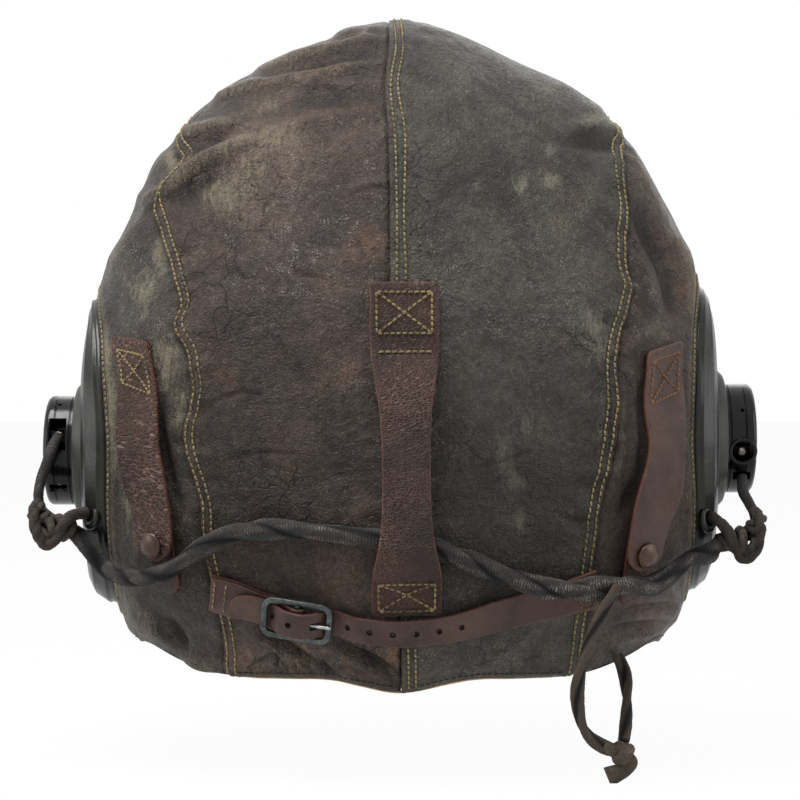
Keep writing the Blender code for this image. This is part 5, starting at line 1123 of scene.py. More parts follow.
# %% Painted numbers for the leather
MARKS = {  # x, y, half width and half height in pixels, and strength: scuffs, warmer places, glaze with painted glints, and painted light and shade
    "wear": """
215,192,24,18,0.75 250,165,22,22,0.5 272,132,26,13,0.55 300,150,30,20,0.38 266,105,14,7,0.5 383,124,6,14,0.6
240,210,26,22,0.35 160,255,9,24,0.75 141,290,16,16,0.75 166,370,12,20,0.65 182,412,9,24,0.85 187,520,8,12,0.7
168,350,18,12,0.5 140,320,10,10,0.4 172,160,6,14,0.8 350,375,16,20,0.3 300,440,24,20,0.22 205,448,14,10,0.25
225,515,14,8,0.4 330,260,20,20,0.2 120,262,10,20,0.35 340,505,30,12,0.25 290,660,60,14,0.32 372,300,8,26,0.3
109,352,4,26,0.8 113,402,4,28,0.8 118,452,4,26,0.8 127,500,5,24,0.8 136,535,5,20,0.7 535,100,24,16,0.42
553,86,18,8,0.5 549,150,8,7,0.75 520,186,8,13,0.8 551,181,11,9,0.9 476,187,6,6,0.5 590,196,12,18,0.4
505,455,12,26,0.72 528,425,9,15,0.55 518,482,9,10,0.8 521,522,6,12,0.7 545,440,14,26,0.3 597,326,8,12,0.7
600,350,12,12,0.6 587,320,8,14,0.5 585,120,22,8,0.35 668,262,8,8,0.6 600,420,8,40,0.3 560,230,20,16,0.3
505,520,20,10,0.3 470,130,20,30,0.18 655,330,18,10,0.45 690,300,10,30,0.25 430,290,14,10,0.2""",
    "flush": """
330,90,60,30,0.6 372,245,22,14,1 345,380,26,26,0.9 300,470,40,40,0.7 215,450,16,16,0.9 225,540,26,20,0.7
310,655,90,26,1 220,265,26,22,0.5 350,505,30,16,0.8 250,380,50,50,0.5 590,195,20,20,0.6 470,120,40,40,0.3
660,300,60,60,0.6 690,400,20,120,0.8 560,330,40,40,0.3 640,620,50,40,0.5""",
    "glaze_and_painted_glints": """
300,264,90,44,0.9 372,165,12,44,0.6 345,105,26,14,0.7 330,200,56,36,0.5 392,440,16,66,0.7 250,160,40,30,0.4
130,260,26,40,0.8 300,480,60,30,0.35 150,380,18,74,1 138,300,30,34,0.9 176,520,12,30,0.8 430,300,34,40,0.8
470,330,60,36,0.5 480,70,60,26,0.5 560,260,40,60,0.5 412,470,26,66,0.7 500,440,40,40,0.4 650,300,30,60,0.5""",
    "taper_and_painted_light_shade": """
290,652,130,40,0.5 285,480,120,70,-0.44 150,560,40,60,-0.1 280,160,120,90,0.14 128,380,30,90,0.1
500,650,100,36,0.42 520,490,96,74,-0.42 500,230,90,110,0.26 668,290,40,80,0.42 645,615,44,30,0.36"""}


def leather_marks(piece, points, height, shadow, rubbed=0.0):
    """Paints a panel from its places in the picture and its own heights."""
    px, py = pixel_of(points)
    behind = ease(-points[..., 1], -0.01, 0.03)
    base = {"wear": 0.12 * ease(waves(points, 0.03, 21), 0.2, 1.2) + rubbed,
            "flush": 0.25 + 0.35 * ease(waves(points, 0.05, 23), 0.0, 1.2),
            "glaze_and_painted_glints": 0.22 + 0.25 * ease(waves(points, 0.04, 25), 0.0, 1.2),
            "taper_and_painted_light_shade": 0.5 + 0.06 * waves(points, 0.06, 27)}
    rise = height / MILLIMETRE
    # The zones add real scuffs and warmer dye, glaze with its painted glints, and painted light and shade.
    for name, value in base.items():
        value = value + behind * sum(strength * patch(px, py, x, y, wide, high)
                                     for x, y, wide, high, strength in table(MARKS[name]))
        # High places get more of the real olive scuff, which also lightens the fold tops as a painted highlight.
        if name == "wear":
            value = value + ease(rise, 0.9, 2.6) * 0.45
        paint(piece, name, np.clip(value, 0, 1))
    # Painted shade: low places between folds, and the shadow given for the laps and seam rows, darken the leather.
    paint(piece, "crease_shade", np.clip(ease(-rise, 0.5, 2.2) * 0.68 + shadow, 0, 0.9))


# %% Crown panels
CROWN_ROWS, EDGE_STEPS, MIDDLE_STEPS, EDGE_SHARE = 430, 14, 76, 0.11


def crown_height(side, degrees, share):
    """Lift of a crown panel's outer face over the skin, and the part of it that is folds and dents."""
    degrees, share = np.broadcast_arrays(degrees, share)
    edge_gap = np.minimum(np.abs(degrees - hem(share)), np.abs(BROW_EDGE - degrees)) * math.radians(1) * 0.13
    height = relief(degrees, share) * ease(edge_gap, 0.0, 0.006)
    lap = side_lap(side, degrees, share)
    if side > 0:
        lap = lap + middle_lap(degrees, share)
    else:
        lap = lap - LAP_SINK * ease(past_line(LIP, degrees, share), -0.0020, -0.0002)
    return height + lap, height


def between_hem_and_brow(part, share_at, below=0.0):
    """Degrees from the hem to the brow for a grid whose shares depend on the degrees, and those shares."""
    degrees = -50 + (BROW_EDGE + 50) * part
    for _ in range(3):
        share = share_at(degrees)
        low = hem(share) - below
        degrees = low + (BROW_EDGE - low) * part
    return degrees, share


def crown_panel(side, material):
    across = spread((0.0, EDGE_SHARE, 1 - EDGE_SHARE, 1.0), (EDGE_STEPS, MIDDLE_STEPS, EDGE_STEPS))[None, :]

    def share_at(degrees):
        inner = smooth_table(LIP, degrees) if side > 0 else 0.002
        return inner + (side * (seam(side, degrees) + LAP_EDGE / ACROSS) - inner) * across

    degrees, share = between_hem_and_brow(np.linspace(0, 1, CROWN_ROWS)[:, None], share_at)
    lift, height = crown_height(side, degrees, share)
    past_lip, from_seam = past_line(LIP, degrees, share), near_seam(side, degrees, share)
    thin = ease(from_seam, -0.006, -0.003)
    raw = 0.9 * bell(from_seam - LAP_EDGE + 0.00015, 0.00035)
    shadow = 0.5 * bell(from_seam - LAP_EDGE, 0.0006)
    gaps = [from_seam + ROW_OFFSET, from_seam - ROW_OFFSET]
    if side > 0:
        thin = np.maximum(thin, 1 - ease(past_lip, 0.006, 0.011))
        raw = np.maximum(raw, 0.5 * bell(past_lip - 0.0002, 0.0004))
        shadow = shadow + 0.55 * bell(past_lip, 0.0006)
        gaps += [past_line(row, degrees, share) for row in ROWS]
    else:
        shadow = shadow + 0.8 * bell(past_lip + 0.0003, 0.0007)
    shadow = shadow + 0.35 * sum(bell(gap, 0.0008) for gap in gaps)
    name = f"crown_panel_{SIDE_NAMES[side]}"
    piece = skin_sheet(name + "_leather", degrees, share, lift, HOOD_LEATHER - (HOOD_LEATHER - LAP_LEATHER) * thin,
                       material, "hood_leather", name)
    leather_marks(piece, base_point(degrees, share), height, shadow)
    paint(piece, "edge", raw)


crown_panel(-1, CROWN_LEFT)
crown_panel(1, CROWN_RIGHT)

# %% Side panels
ROUND_THE_SIDE = (NAPE_CORNER, BROW_EDGE, 226.0, 284.0, 298.5, 302.0)
SIDE_COUNTS, SIDE_ACROSS = (250, 60, 70, 30, 12), 66
FLANGE_REACH, CUP_BAND, FLAP_ROW = 0.009, 0.0035, 0.0030


def side_height(side, degrees, share):
    """Lift of a side panel's outer face over the skin, and the part of it that is folds and dents."""
    to_ear = (oval_share(side, 0.0, degrees) - np.abs(share)) * ACROSS
    from_rim = (np.abs(share) - rim(side, degrees)) * ACROSS
    edge = np.where(degrees > BROW_EDGE, ease(from_rim, 0.0, 0.008), 1.0)
    height = relief(degrees, share) * ease(to_ear, 0.004, 0.014) * edge
    band = ease(to_ear, 0.0, 0.0015) * (1 - ease(to_ear, FLANGE_REACH - 0.001, FLANGE_REACH + 0.002))
    rows = 0.35 * bell(to_ear - CUP_BAND, SEWN_WIDTH) + 0.3 * bell(from_rim - FLAP_ROW, SEWN_WIDTH) * (
        degrees > BROW_EDGE)
    past = near_seam(side, degrees, share)
    sunk = LAP_SINK * (1 - ease(past, LAP_EDGE - 0.0004, LAP_EDGE + 0.0032)) * (degrees < BROW_EDGE + 1)
    return height + (0.45 * band - rows) * MILLIMETRE - sunk, height


def side_panel(side, material):
    degrees = spread(ROUND_THE_SIDE, SIDE_COUNTS)[None, :-1]
    outer = rim(side, degrees) - np.where(degrees <= BROW_EDGE, LAP_EDGE / ACROSS * 0.6, 0.0)
    inner = oval_share(side, 0.0, degrees)
    part = np.linspace(0, 1, SIDE_ACROSS)[:, None] ** 1.15
    share = side * (outer + (inner - outer) * (1 - part))
    degrees = np.broadcast_to(degrees, share.shape)
    lift, height = side_height(side, degrees, share)
    name = f"side_panel_{SIDE_NAMES[side]}"
    piece = skin_sheet(name + "_leather", degrees, share, lift, HOOD_LEATHER, material, "hood_leather", name,
                       wrap=True)
    to_ear = (inner - np.abs(share)) * ACROSS
    shadow = 0.8 * bell(near_seam(side, degrees, share) - LAP_EDGE, 0.0016) * (degrees < BROW_EDGE)
    leather_marks(piece, base_point(degrees, share), height, shadow + 0.25 * bell(to_ear - CUP_BAND, 0.0009),
                  0.40 * bell(to_ear - 0.0066, 0.0022))


side_panel(-1, SIDE_LEFT)
side_panel(1, SIDE_RIGHT)

# %% [markdown]
# ## Stitches
# A stitch is a short length of waxed thread that dips into the leather at both ends. From the camera each one is
# six pixels long, so they are real pieces of thread here: five rings of six points, set down on the height of
# the leather under them. One mesh holds all the stitches of a row.

# %% One mesh of stitches along lines
STITCH_PITCH, THREAD_RADIUS, FINE_THREAD = 0.0025, 0.00040, 0.00026
STITCH_PARTS = np.array([0.03, 0.16, 0.47, 0.78, 0.91])
STITCH_RISES = np.array([-1.0, 0.45, 0.95, 0.45, -1.0])
STITCH_WIDTHS = np.array([0.6, 1.0, 1.1, 1.0, 0.6])


def stitches(name, runs, material, body="hood", pitch=STITCH_PITCH, radius=THREAD_RADIUS):
    """runs is a list of (points, normals) lines on the leather's surface."""
    shells = []
    for line, normals in runs:
        lengths = lengths_along(line)
        count = max(int(round(lengths[-1] / pitch)), 1)
        where = (np.arange(count)[:, None] + STITCH_PARTS) * (lengths[-1] / count)
        centre = read_line(line, lengths, where)
        up = unit(read_line(normals, lengths, where))
        beside = unit(np.cross(unit(np.gradient(centre, axis=1)), up))
        centre = centre + beside * (radius * 0.5 * (0.5 - STITCH_PARTS))[None, :, None]
        centre = centre + up * (radius * STITCH_RISES)[None, :, None]
        angle = np.arange(6) * math.pi / 3
        ring = beside[:, :, None] * np.cos(angle)[:, None] - up[:, :, None] * np.sin(angle)[:, None]
        shells.append((centre[:, :, None] + ring * (radius * STITCH_WIDTHS)[None, :, None, None]).reshape(-1, 30, 3))
    shells = np.concatenate(shells)
    ends = [[3, 2, 1, 0], [5, 4, 3, 0], [24, 25, 26, 27], [24, 27, 28, 29]]
    one = np.concatenate([grid_faces(5, 6, wrap=True), ends])
    faces = (one[None] + 30 * np.arange(len(shells))[:, None, None]).reshape(-1, 4)
    print(name, len(shells), "stitches")
    return new_piece(name, shells, faces, material, body)


def runs_where(keep, points, normals):
    """Cuts a line into the runs where keep is true."""
    edges = np.flatnonzero(np.diff(np.concatenate([[0], keep.astype(int), [0]])))
    return [(points[a:b], normals[a:b]) for a, b in zip(edges[::2], edges[1::2]) if b - a > 4]


# %% Seam rows
STRAP_COVER = (-0.0652, 0.0592)
HEM_ROW = 1.25


def on_panel(height_of, side, degrees, share):
    """Points and normals on a panel's outer face; height_of is crown_height or side_height."""
    return skin(degrees, share, height_of(side, degrees, share)[0]), outward(degrees, share)


def seam_rows():
    degrees = np.linspace(-57.3, 133.2, 1400)
    for side in (-1, 1):
        runs = []
        for offset in (-ROW_OFFSET, ROW_OFFSET):
            share = side * (seam(side, degrees) + offset / ACROSS)
            runs += runs_where(degrees > hem(share) + 0.8, *on_panel(crown_height, side, degrees, share))
        stitches(f"side_seam_stitches_{SIDE_NAMES[side]}", runs, OCHRE_THREAD)
    runs = []
    for row in ROWS:
        share = smooth_table(row, degrees)
        points, normals = on_panel(crown_height, 1, degrees, share)
        covered = (points[:, 2] > STRAP_COVER[0]) & (points[:, 2] < STRAP_COVER[1]) & (points[:, 1] < 0)
        runs += runs_where((degrees > hem(share) + 0.8) & ~covered, points, normals)
    stitches("middle_seam_stitches", runs, OCHRE_THREAD)


seam_rows()


# %% Rows round the ears, the face edge and the hem
def edge_rows():
    hem_runs = []
    for side in (-1, 1):
        degrees = np.linspace(NAPE_CORNER + 0.5, 301.5, 1500)
        share = side * (oval_share(side, 0.0, degrees) - CUP_BAND / ACROSS)
        around = [on_panel(side_height, side, degrees, share)]
        stitches(f"ear_surround_stitches_{SIDE_NAMES[side]}", around, OCHRE_THREAD)
        degrees = np.linspace(BROW_EDGE + 1.0, 300.5, 900)
        flap = [on_panel(side_height, side, degrees, side * (rim(side, degrees) + FLAP_ROW / ACROSS))]
        stitches(f"flap_edge_stitches_{SIDE_NAMES[side]}", flap, DARK_THREAD, radius=FINE_THREAD)
        share = side * np.linspace(0.012, 0.318, 300)
        hem_runs.append(on_panel(crown_height, side, hem(share) + HEM_ROW, share))
    stitches("hem_stitches", hem_runs, DARK_THREAD, radius=FINE_THREAD)


edge_rows()

# %% [markdown]
# ## Rubber ear cups
# Each cup is one moulding: a flange under the leather, a dome with raised rings where the mould's parts met, and a
# turret that grips the receiver. It is swept round the ear: twenty outlines, the same as the solid's, are read
# with a smooth curve from one to the next, and the rings are added on top as a ripple.

# %% Ear cup outlines
CLEAR, RUBBER = 0.0003, 0.0016
CUP_FACE, TURRET_FACE = 0.1260, 0.1313
TURRET_RADIUS, TURRET_TOP_RADIUS, CUP_BORE = 0.0290, 0.0262, 0.0227
CUP_TURNS = 168


def oval_point(side, grow, angle):
    return (-(EAR_OVAL_WIDE + grow) * np.cos(angle), (EAR_OVAL_HIGH + grow) * np.sin(angle) - EAR_DROP[side])


def on_oval(side, grow, angle, lift=0.0):
    degrees, share = side_place(side, *oval_point(side, grow, angle))
    return skin(degrees, share, np.broadcast_to(lift, angle.shape))


def cup_outlines(side):
    angle = turns_round(CUP_TURNS)
    wall = RUBBER + CLEAR
    under = HOOD_LEATHER + 0.0009

    def seated(grow, lift):
        return on_oval(side, grow, angle, lift)

    def raised(grow, part, sink=0.0):
        foot = seated(grow, 0.0)[:, 0]
        return np.stack([foot + (side * CUP_FACE - foot) * part - side * sink, *oval_point(side, grow, angle)], -1)

    def circle(radius, face):
        return np.stack([side * face + 0 * angle, -radius * np.cos(angle),
                         radius * np.sin(angle) - EAR_DROP[side]], -1)

    return np.stack([
        seated(FLANGE_REACH, -under), seated(-CLEAR, -under), seated(-2 * CLEAR - 0.0004, 2 * CLEAR),
        raised(-2 * RUBBER, 0.5), raised(-4 * RUBBER, 0.8), raised(-8 * RUBBER, 0.96),
        circle(TURRET_RADIUS + RUBBER, CUP_FACE), circle(TURRET_RADIUS, CUP_FACE + RUBBER),
        circle(TURRET_TOP_RADIUS + 2 * CLEAR, TURRET_FACE - 2 * CLEAR), circle(TURRET_TOP_RADIUS, TURRET_FACE),
        circle(CUP_BORE, TURRET_FACE), circle(CUP_BORE, TURRET_FACE - wall),
        circle(TURRET_TOP_RADIUS - wall / 2, TURRET_FACE - wall), circle(TURRET_RADIUS - wall, CUP_FACE),
        circle(TURRET_RADIUS - wall / 2, CUP_FACE - wall), raised(-8 * RUBBER - wall / 2, 0.93, wall),
        raised(-4 * RUBBER - wall, 0.72, wall), raised(-2 * RUBBER - wall, 0.40, wall),
        seated(-2 * wall, -under - RUBBER), seated(FLANGE_REACH, -under - RUBBER)])


# %% Ear cups
CUP_STEPS = [2, 3, 12, 10, 10, 10, 8, 12, 3, 3, 2, 2, 3, 3, 5, 4, 4, 4, 3, 2]
CUP_RINGS = table("2.45,.55,.2 3.5,.22,.14 4.7,.45,.2 7.15,.22,.05 7.35,.2,.05 7.55,.2,.05 7.75,.2,.05")


def ear_cup(side):
    """CUP_RINGS has the outline that each raised ring lies on, its height in millimetres and its width."""
    outlines = cup_outlines(side)
    where = np.concatenate([index + np.arange(steps) / steps for index, steps in enumerate(CUP_STEPS)])
    at = where.astype(int)
    part = (where - at)[:, None, None]
    before, here, there, after = [outlines[(at + shift) % len(outlines)] for shift in (-1, 0, 1, 2)]
    curved = 0.5 * (2 * here + (there - before) * part + (2 * before - 5 * here + 4 * there - after) * part**2
                    + (3 * here - before - 3 * there + after) * part**3)
    soft = ((where > 2.6) & (where < 5.8)) | ((where > 14.5) & (where < 17.5))
    rings = np.where(soft[:, None, None], curved, here + (there - here) * part)
    normal = unit(ring_ways(rings))
    middle = np.array([side * 0.11, 0, -EAR_DROP[side]])
    way = 1 if (normal[30] * (rings[30] - middle)).sum() > 0 else -1
    ripple = sum(height * bell(where - place, width) for place, height, width in CUP_RINGS)
    dents = 0.35 * waves(rings, 0.045, 41) * ((where > 2.3) & (where < 6))[:, None]
    rings = rings + normal * way * (ripple[:, None, None] + dents[..., None]) * MILLIMETRE
    piece = new_piece(f"ear_cup_{SIDE_NAMES[side]}_rubber", rings, ring_faces(len(where), CUP_TURNS)[:, ::way],
                      CUP_RUBBER)
    paint(piece, "dusty", np.repeat(ease(where, 4.3, 5.2) * ease(-where, -12.0, -11.0), CUP_TURNS))
    stands_for(piece, "cup_rubber", f"ear_cup_{SIDE_NAMES[side]}")


ear_cup(-1)
ear_cup(1)

# %% Cord lugs on the cups
LUGS = {-1: (-0.1212, -0.0405, -0.0300), 1: (0.1212, -0.0400, -0.0315)}


def cord_lug(side):
    """A small rubber eye on the cup that the tie cord goes through."""
    u, v = turns_round(40), turns_round(16)[:, None]
    big, small = 0.0037 + 0.0004 * np.cos(u), 0.0014 + 0.0004 * np.sin(u)
    ahead = unit(np.array([side * 0.75, -0.62, 0.10]))
    over = unit(np.cross(ahead, (0.0, 0.35, 1.0)))
    way = over * np.cos(u)[:, None] + np.cross(ahead, over) * np.sin(u)[:, None]
    points = (np.array(LUGS[side]) + way[None] * (big + small * np.cos(v))[..., None]
              + ahead * (small * np.sin(v))[..., None])
    stands_for(new_piece(f"cord_lug_{SIDE_NAMES[side]}", points, ring_faces(16, 40), CUP_RUBBER), "cup_rubber")


cord_lug(-1)
cord_lug(1)

# %% [markdown]
# ## Turned pieces
# Receivers, press studs and mask studs are all round, so one helper spins an outline about an axis. Holes and
# windows are cut with a Boolean that is applied at once, and edges sharper than a set angle stay crisp.

# %% Lathe and cutter
SHARP_ANGLE = math.radians(32)


def placed(origin, up, along):
    """A matrix with local Z along up and local X near along."""
    z = Vector(up).normalized()
    x = (Vector(along) - z * z.dot(Vector(along))).normalized()
    matrix = Matrix((x, z.cross(x), z)).transposed().to_4x4()
    matrix.translation = Vector(origin)
    return matrix


def moved(points, matrix):
    return np.asarray(points, float) @ np.array(matrix.to_3x3()).T + np.array(matrix.translation)


def lathe(name, outline, material, matrix, body="hood", steps=96):
    """outline is a list of (radius, height), from the top's middle round to the bottom's middle."""
    outline = np.array(outline, float)
    turn = turns_round(steps)[None, :]
    solid = outline[0, 0] == 0
    inner = outline[1:-1] if solid else outline
    rings = np.stack([inner[:, :1] * np.cos(turn), inner[:, :1] * np.sin(turn), inner[:, 1:] + 0 * turn], -1)
    points, faces = rings.reshape(-1, 3), ring_faces(len(inner), steps).tolist()
    if solid:
        points = np.concatenate([points, [[0, 0, outline[0, 1]], [0, 0, outline[-1, 1]]]])
        faces = capped_faces(len(inner), steps)
    piece = new_piece(name, moved(points, matrix), [face[::-1] for face in faces], material, body)
    piece.data.set_sharp_from_angle(angle=SHARP_ANGLE)
    return piece


def drum(radius, reach, matrix, steps=48):
    outline = [(0, reach), (radius, reach), (radius, -reach), (0, -reach)]
    return lathe("drum", outline, None, matrix, None, steps)


def block(size, matrix):
    corners = np.array([[x, y, z] for x in (-1, 1) for y in (-1, 1) for z in (-1, 1)]) * np.array(size) / 2
    faces = [[0, 1, 3, 2], [4, 6, 7, 5], [0, 4, 5, 1], [2, 3, 7, 6], [0, 2, 6, 4], [1, 5, 7, 3]]
    return new_piece("block", moved(corners, matrix), faces, None, None)


def carve(piece, cutters, folded=False):
    """Cuts holes in a piece and throws the cutters away; a folded piece lies against itself."""
    for cutter in cutters:
        hole = piece.modifiers.new("hole", "BOOLEAN")
        hole.operation, hole.solver, hole.use_self, hole.object = "DIFFERENCE", "EXACT", folded, cutter
    bpy.context.view_layer.update()
    cut_mesh = bpy.data.meshes.new_from_object(piece.evaluated_get(bpy.context.evaluated_depsgraph_get()))
    piece.modifiers.clear()
    piece.data = cut_mesh
    for cutter in cutters:
        bpy.data.objects.remove(cutter, do_unlink=True)
    piece.data.set_sharp_from_angle(angle=SHARP_ANGLE)


# %% [markdown]
# ## Telephone receivers
# The receivers are bakelite drums pushed into the cups. Their outer rim is rounded, and the wall has a window, a
# port and a pin hole through which the terminal screws show. The outer face has a shallow turned ring. Inside,
# the magnets, coils and diaphragms keep their solids.

# %% Receivers
RECEIVER_FACE, RECEIVER_RADIUS, RECEIVER_END = 0.1435, 0.0223, 0.1140
RIM_ROUND, COLLAR_RADIUS, COLLAR_WIDTH = 0.0024, 0.0243, 0.0024
COLLAR_TOP = TURRET_FACE - RUBBER - 3 * CLEAR
RECEIVER_WALL, RECEIVER_FACE_WALL, CUT_REACH = 0.0023, 0.0024, 0.0045
WINDOW_RISE, WINDOW_FROM_FACE = {-1: 0.0072, 1: -0.0050}, 0.0058
PORT_FALL, PIN_RISE = 0.0150, 0.0115


def wall_place(side, rise):
    """Local Z out of the drum's wall at this height, local X up round the wall."""
    angle = math.asin(rise / RECEIVER_RADIUS)
    way = Vector((0, -math.cos(angle), math.sin(angle)))
    middle = Vector((side * (RECEIVER_FACE - WINDOW_FROM_FACE), 0, -EAR_DROP[side]))
    return placed(middle + way * RECEIVER_RADIUS, way, (0, math.sin(angle), math.cos(angle)))


def receiver(side):
    name = SIDE_NAMES[side]
    face, radius, inner = RECEIVER_FACE, RECEIVER_RADIUS, RECEIVER_RADIUS - RECEIVER_WALL
    outline = [(0, face - 0.0005), (0.0128, face - 0.0005), (0.0132, face - 0.0001), (0.0136, face), (0.0168, face),
               (0.0171, face - 0.0004), (0.0176, face - 0.0004), (0.0179, face)]
    outline += [(radius - RIM_ROUND + RIM_ROUND * math.sin(turn), face - RIM_ROUND + RIM_ROUND * math.cos(turn))
                for turn in np.radians(np.linspace(0, 90, 7))]
    for groove in (0.1391, 0.1330):
        outline += [(radius - sunk, groove + rise) for sunk, rise in (
            (0, 0.0004), (0.0003, 0.0001), (0.0003, -0.0001), (0, -0.0004))]
    outline += [(radius, COLLAR_TOP), (COLLAR_RADIUS - 0.0003, COLLAR_TOP), (COLLAR_RADIUS, COLLAR_TOP - 0.0003),
                (COLLAR_RADIUS, COLLAR_TOP - COLLAR_WIDTH), (radius, COLLAR_TOP - COLLAR_WIDTH),
                (radius, RECEIVER_END), (inner, RECEIVER_END), (inner, face - RECEIVER_FACE_WALL),
                (0, face - RECEIVER_FACE_WALL)]
    axis = placed((0, 0, -EAR_DROP[side]), (side, 0, 0), (0, -1, 0))
    piece = lathe(f"receiver_{name}_bakelite", outline, BAKELITE, axis, steps=128)
    window = wall_place(side, WINDOW_RISE[side])
    cut = block((0.0135, 0.0070, 2 * CUT_REACH), window) if side < 0 else drum(0.0044, CUT_REACH, window)
    port = block((0.0042, 0.0070, 2 * CUT_REACH), wall_place(side, -PORT_FALL))
    carve(piece, [cut, port, drum(0.0008, CUT_REACH, wall_place(side, PIN_RISE + max(WINDOW_RISE[side], 0)), 20)])
    stands_for(piece, "bakelite", f"receiver_shell_{name}")
    if side > 0:
        lip = [(0.0044, 0.0003), (0.0050, 0.0005), (0.0055, 0.0004), (0.0057, 0.0), (0.0057, -0.0012),
               (0.0044, -0.0012)]
        stands_for(lathe("receiver_right_window_lip", lip, BAKELITE, window, steps=64), "bakelite")


receiver(-1)
receiver(1)

# %% [markdown]
# ## Straps
# A strap is a line of stations: a middle, a direction across and a half width. A dense grid is drawn between
# them, its cut edges are squared off with a little roll, and three numbers are painted on it: how near the edge
# is, where the grain has gone pale, and where it is scratched. Where it is sewn, the thread pulls it in.

# %% Strap meshes
STRAP_ACROSS = np.concatenate([[-1.0, -0.975, -0.93], np.linspace(-0.86, 0.86, 21), [0.93, 0.975, 1.0]])
FOUR_DIPS = (-0.6, -0.2, 0.2, 0.6)


def across_of(points, normals):
    return unit(np.cross(np.gradient(points, axis=0), normals))


def round_end(left, half, share=1.0):
    """Half width of a strap whose end is rounded, at distances from its tip."""
    part = 1 - np.clip(left / (half * share), 0, 1)
    return half * np.maximum(np.sqrt(np.maximum(1 - part**2, 0)), 0.24)


class Strap:
    """The middle line of a strap, with its directions and half widths, read by distance along it."""

    def __init__(self, points, normals, half, across=None):
        self.points = np.asarray(points, float)
        self.across = across_of(self.points, normals) if across is None else unit(np.asarray(across, float))
        self.normals = unit(np.cross(self.across, unit(np.gradient(self.points, axis=0))))
        if (self.normals * normals).sum() < 0:
            self.normals = -self.normals
        self.half = np.broadcast_to(half, len(self.points))
        self.lengths = lengths_along(self.points)
        self.length = self.lengths[-1]

    def at(self, along, share, lift=0.0):
        """Points at distances along the strap and shares of its half width across, and the normals there."""
        along, share, lift = np.broadcast_arrays(np.asarray(along, float), share, lift)
        across, normal = (unit(read_line(ways, self.lengths, along)) for ways in (self.across, self.normals))
        half = np.interp(along, self.lengths, self.half)
        middle = read_line(self.points, self.lengths, along)
        return middle + across * (half * share)[..., None] + normal * lift[..., None], normal

    def place(self, along):
        """A matrix on the strap's middle line, with local Z out of the leather and local X along it."""
        ends, normal = self.at(np.array([along - CLEAR, along, along + CLEAR]), 0.0)
        return placed(ends[1], normal[1], ends[2] - ends[0])


def strap_mesh(name, strap, thickness, material, body, rows=150, dips=(), wobble=0.00020, seed=3, ends=None,
               pale=0.4, wear=0.5):
    """dips are (along, share, along radius, depth) places where thread pulls the leather in."""
    stops = spread((0.0, 0.0025, strap.length - 0.0045, strap.length), (6, rows, 14)) if ends is None else ends
    along, share = np.broadcast_arrays(stops[:, None], STRAP_ACROSS[None, :])
    middle, normal = strap.at(along, share)
    lift = 0.5 * thickness + 0.00010 * waves(middle, 0.014, seed) + 0.00006 * waves(middle, 0.005, seed + 1)
    for place, dip_share, reach, depth in dips:
        lift = lift - depth * bell(along - place, reach) * bell(share - dip_share, 0.12)
    edge_wobble = wobble * waves(np.stack([stops, 0 * stops, 1.0 + 0 * stops], -1), 0.021, seed + 2)
    pull = np.sign(share) * np.abs(share) ** 3 * edge_wobble[:, None]
    outer = middle + normal * lift[..., None] + unit(read_line(strap.across, strap.lengths, along)) * pull[..., None]
    piece = soft_sheet(name, outer, normal, 0.5 * thickness + lift, material, body, roll=0.22)
    near = np.minimum((1 - np.abs(share)) * np.interp(along, strap.lengths, strap.half),
                      np.minimum(along, strap.length - along))
    paint(piece, "edge", np.clip(1 - near / 0.0016, 0, 1))
    paint(piece, "pale", np.clip(pale + 0.5 * waves(middle, 0.03, seed + 5), 0, 1))
    paint(piece, "wear", np.clip(wear + 0.5 * waves(middle, 0.024, seed + 7), 0, 1))
    return stands_for(piece, "strap_leather")


def sewn_lines(strap, thickness, lines, sunk=0.0001):
    """Straight rows of stitches on a strap, each from (along, share) to (along, share), as runs for stitches()."""
    return [strap.at(np.linspace(*along, 41), np.linspace(*share, 41), thickness / 2 - sunk)
            for along, share in lines]


def box_with_cross(start, end, wide):
    """The sewn box of a strap's end: four sides and a cross."""
    return [((start, end), (-wide, -wide)), ((start, end), (wide, wide)), ((start, start), (-wide, wide)),
            ((end, end), (-wide, wide)), ((start, end), (-wide, wide)), ((start, end), (wide, -wide))]


# %% Centre strap
STRAP_LEATHER, CORNER = 0.0020, 0.0016
CENTRE_RISES = table("0,0 .19,0 .3,.5 .45,.88 .6,1 .72,1.02 .82,1.02 .87,.62 .92,.04 1,0")
CENTRE_WIDTHS = table("0,1 .22,.94 .4,.58 .58,.5 .75,.62 .88,1 1,1")


def blunted(lengths, half):
    """Takes the corners off both ends of a strap."""
    near = np.clip(np.minimum(lengths, lengths[-1] - lengths) / CORNER, 0, 1)
    return half - CORNER * (1 - np.sqrt(1 - (1 - near) ** 2))


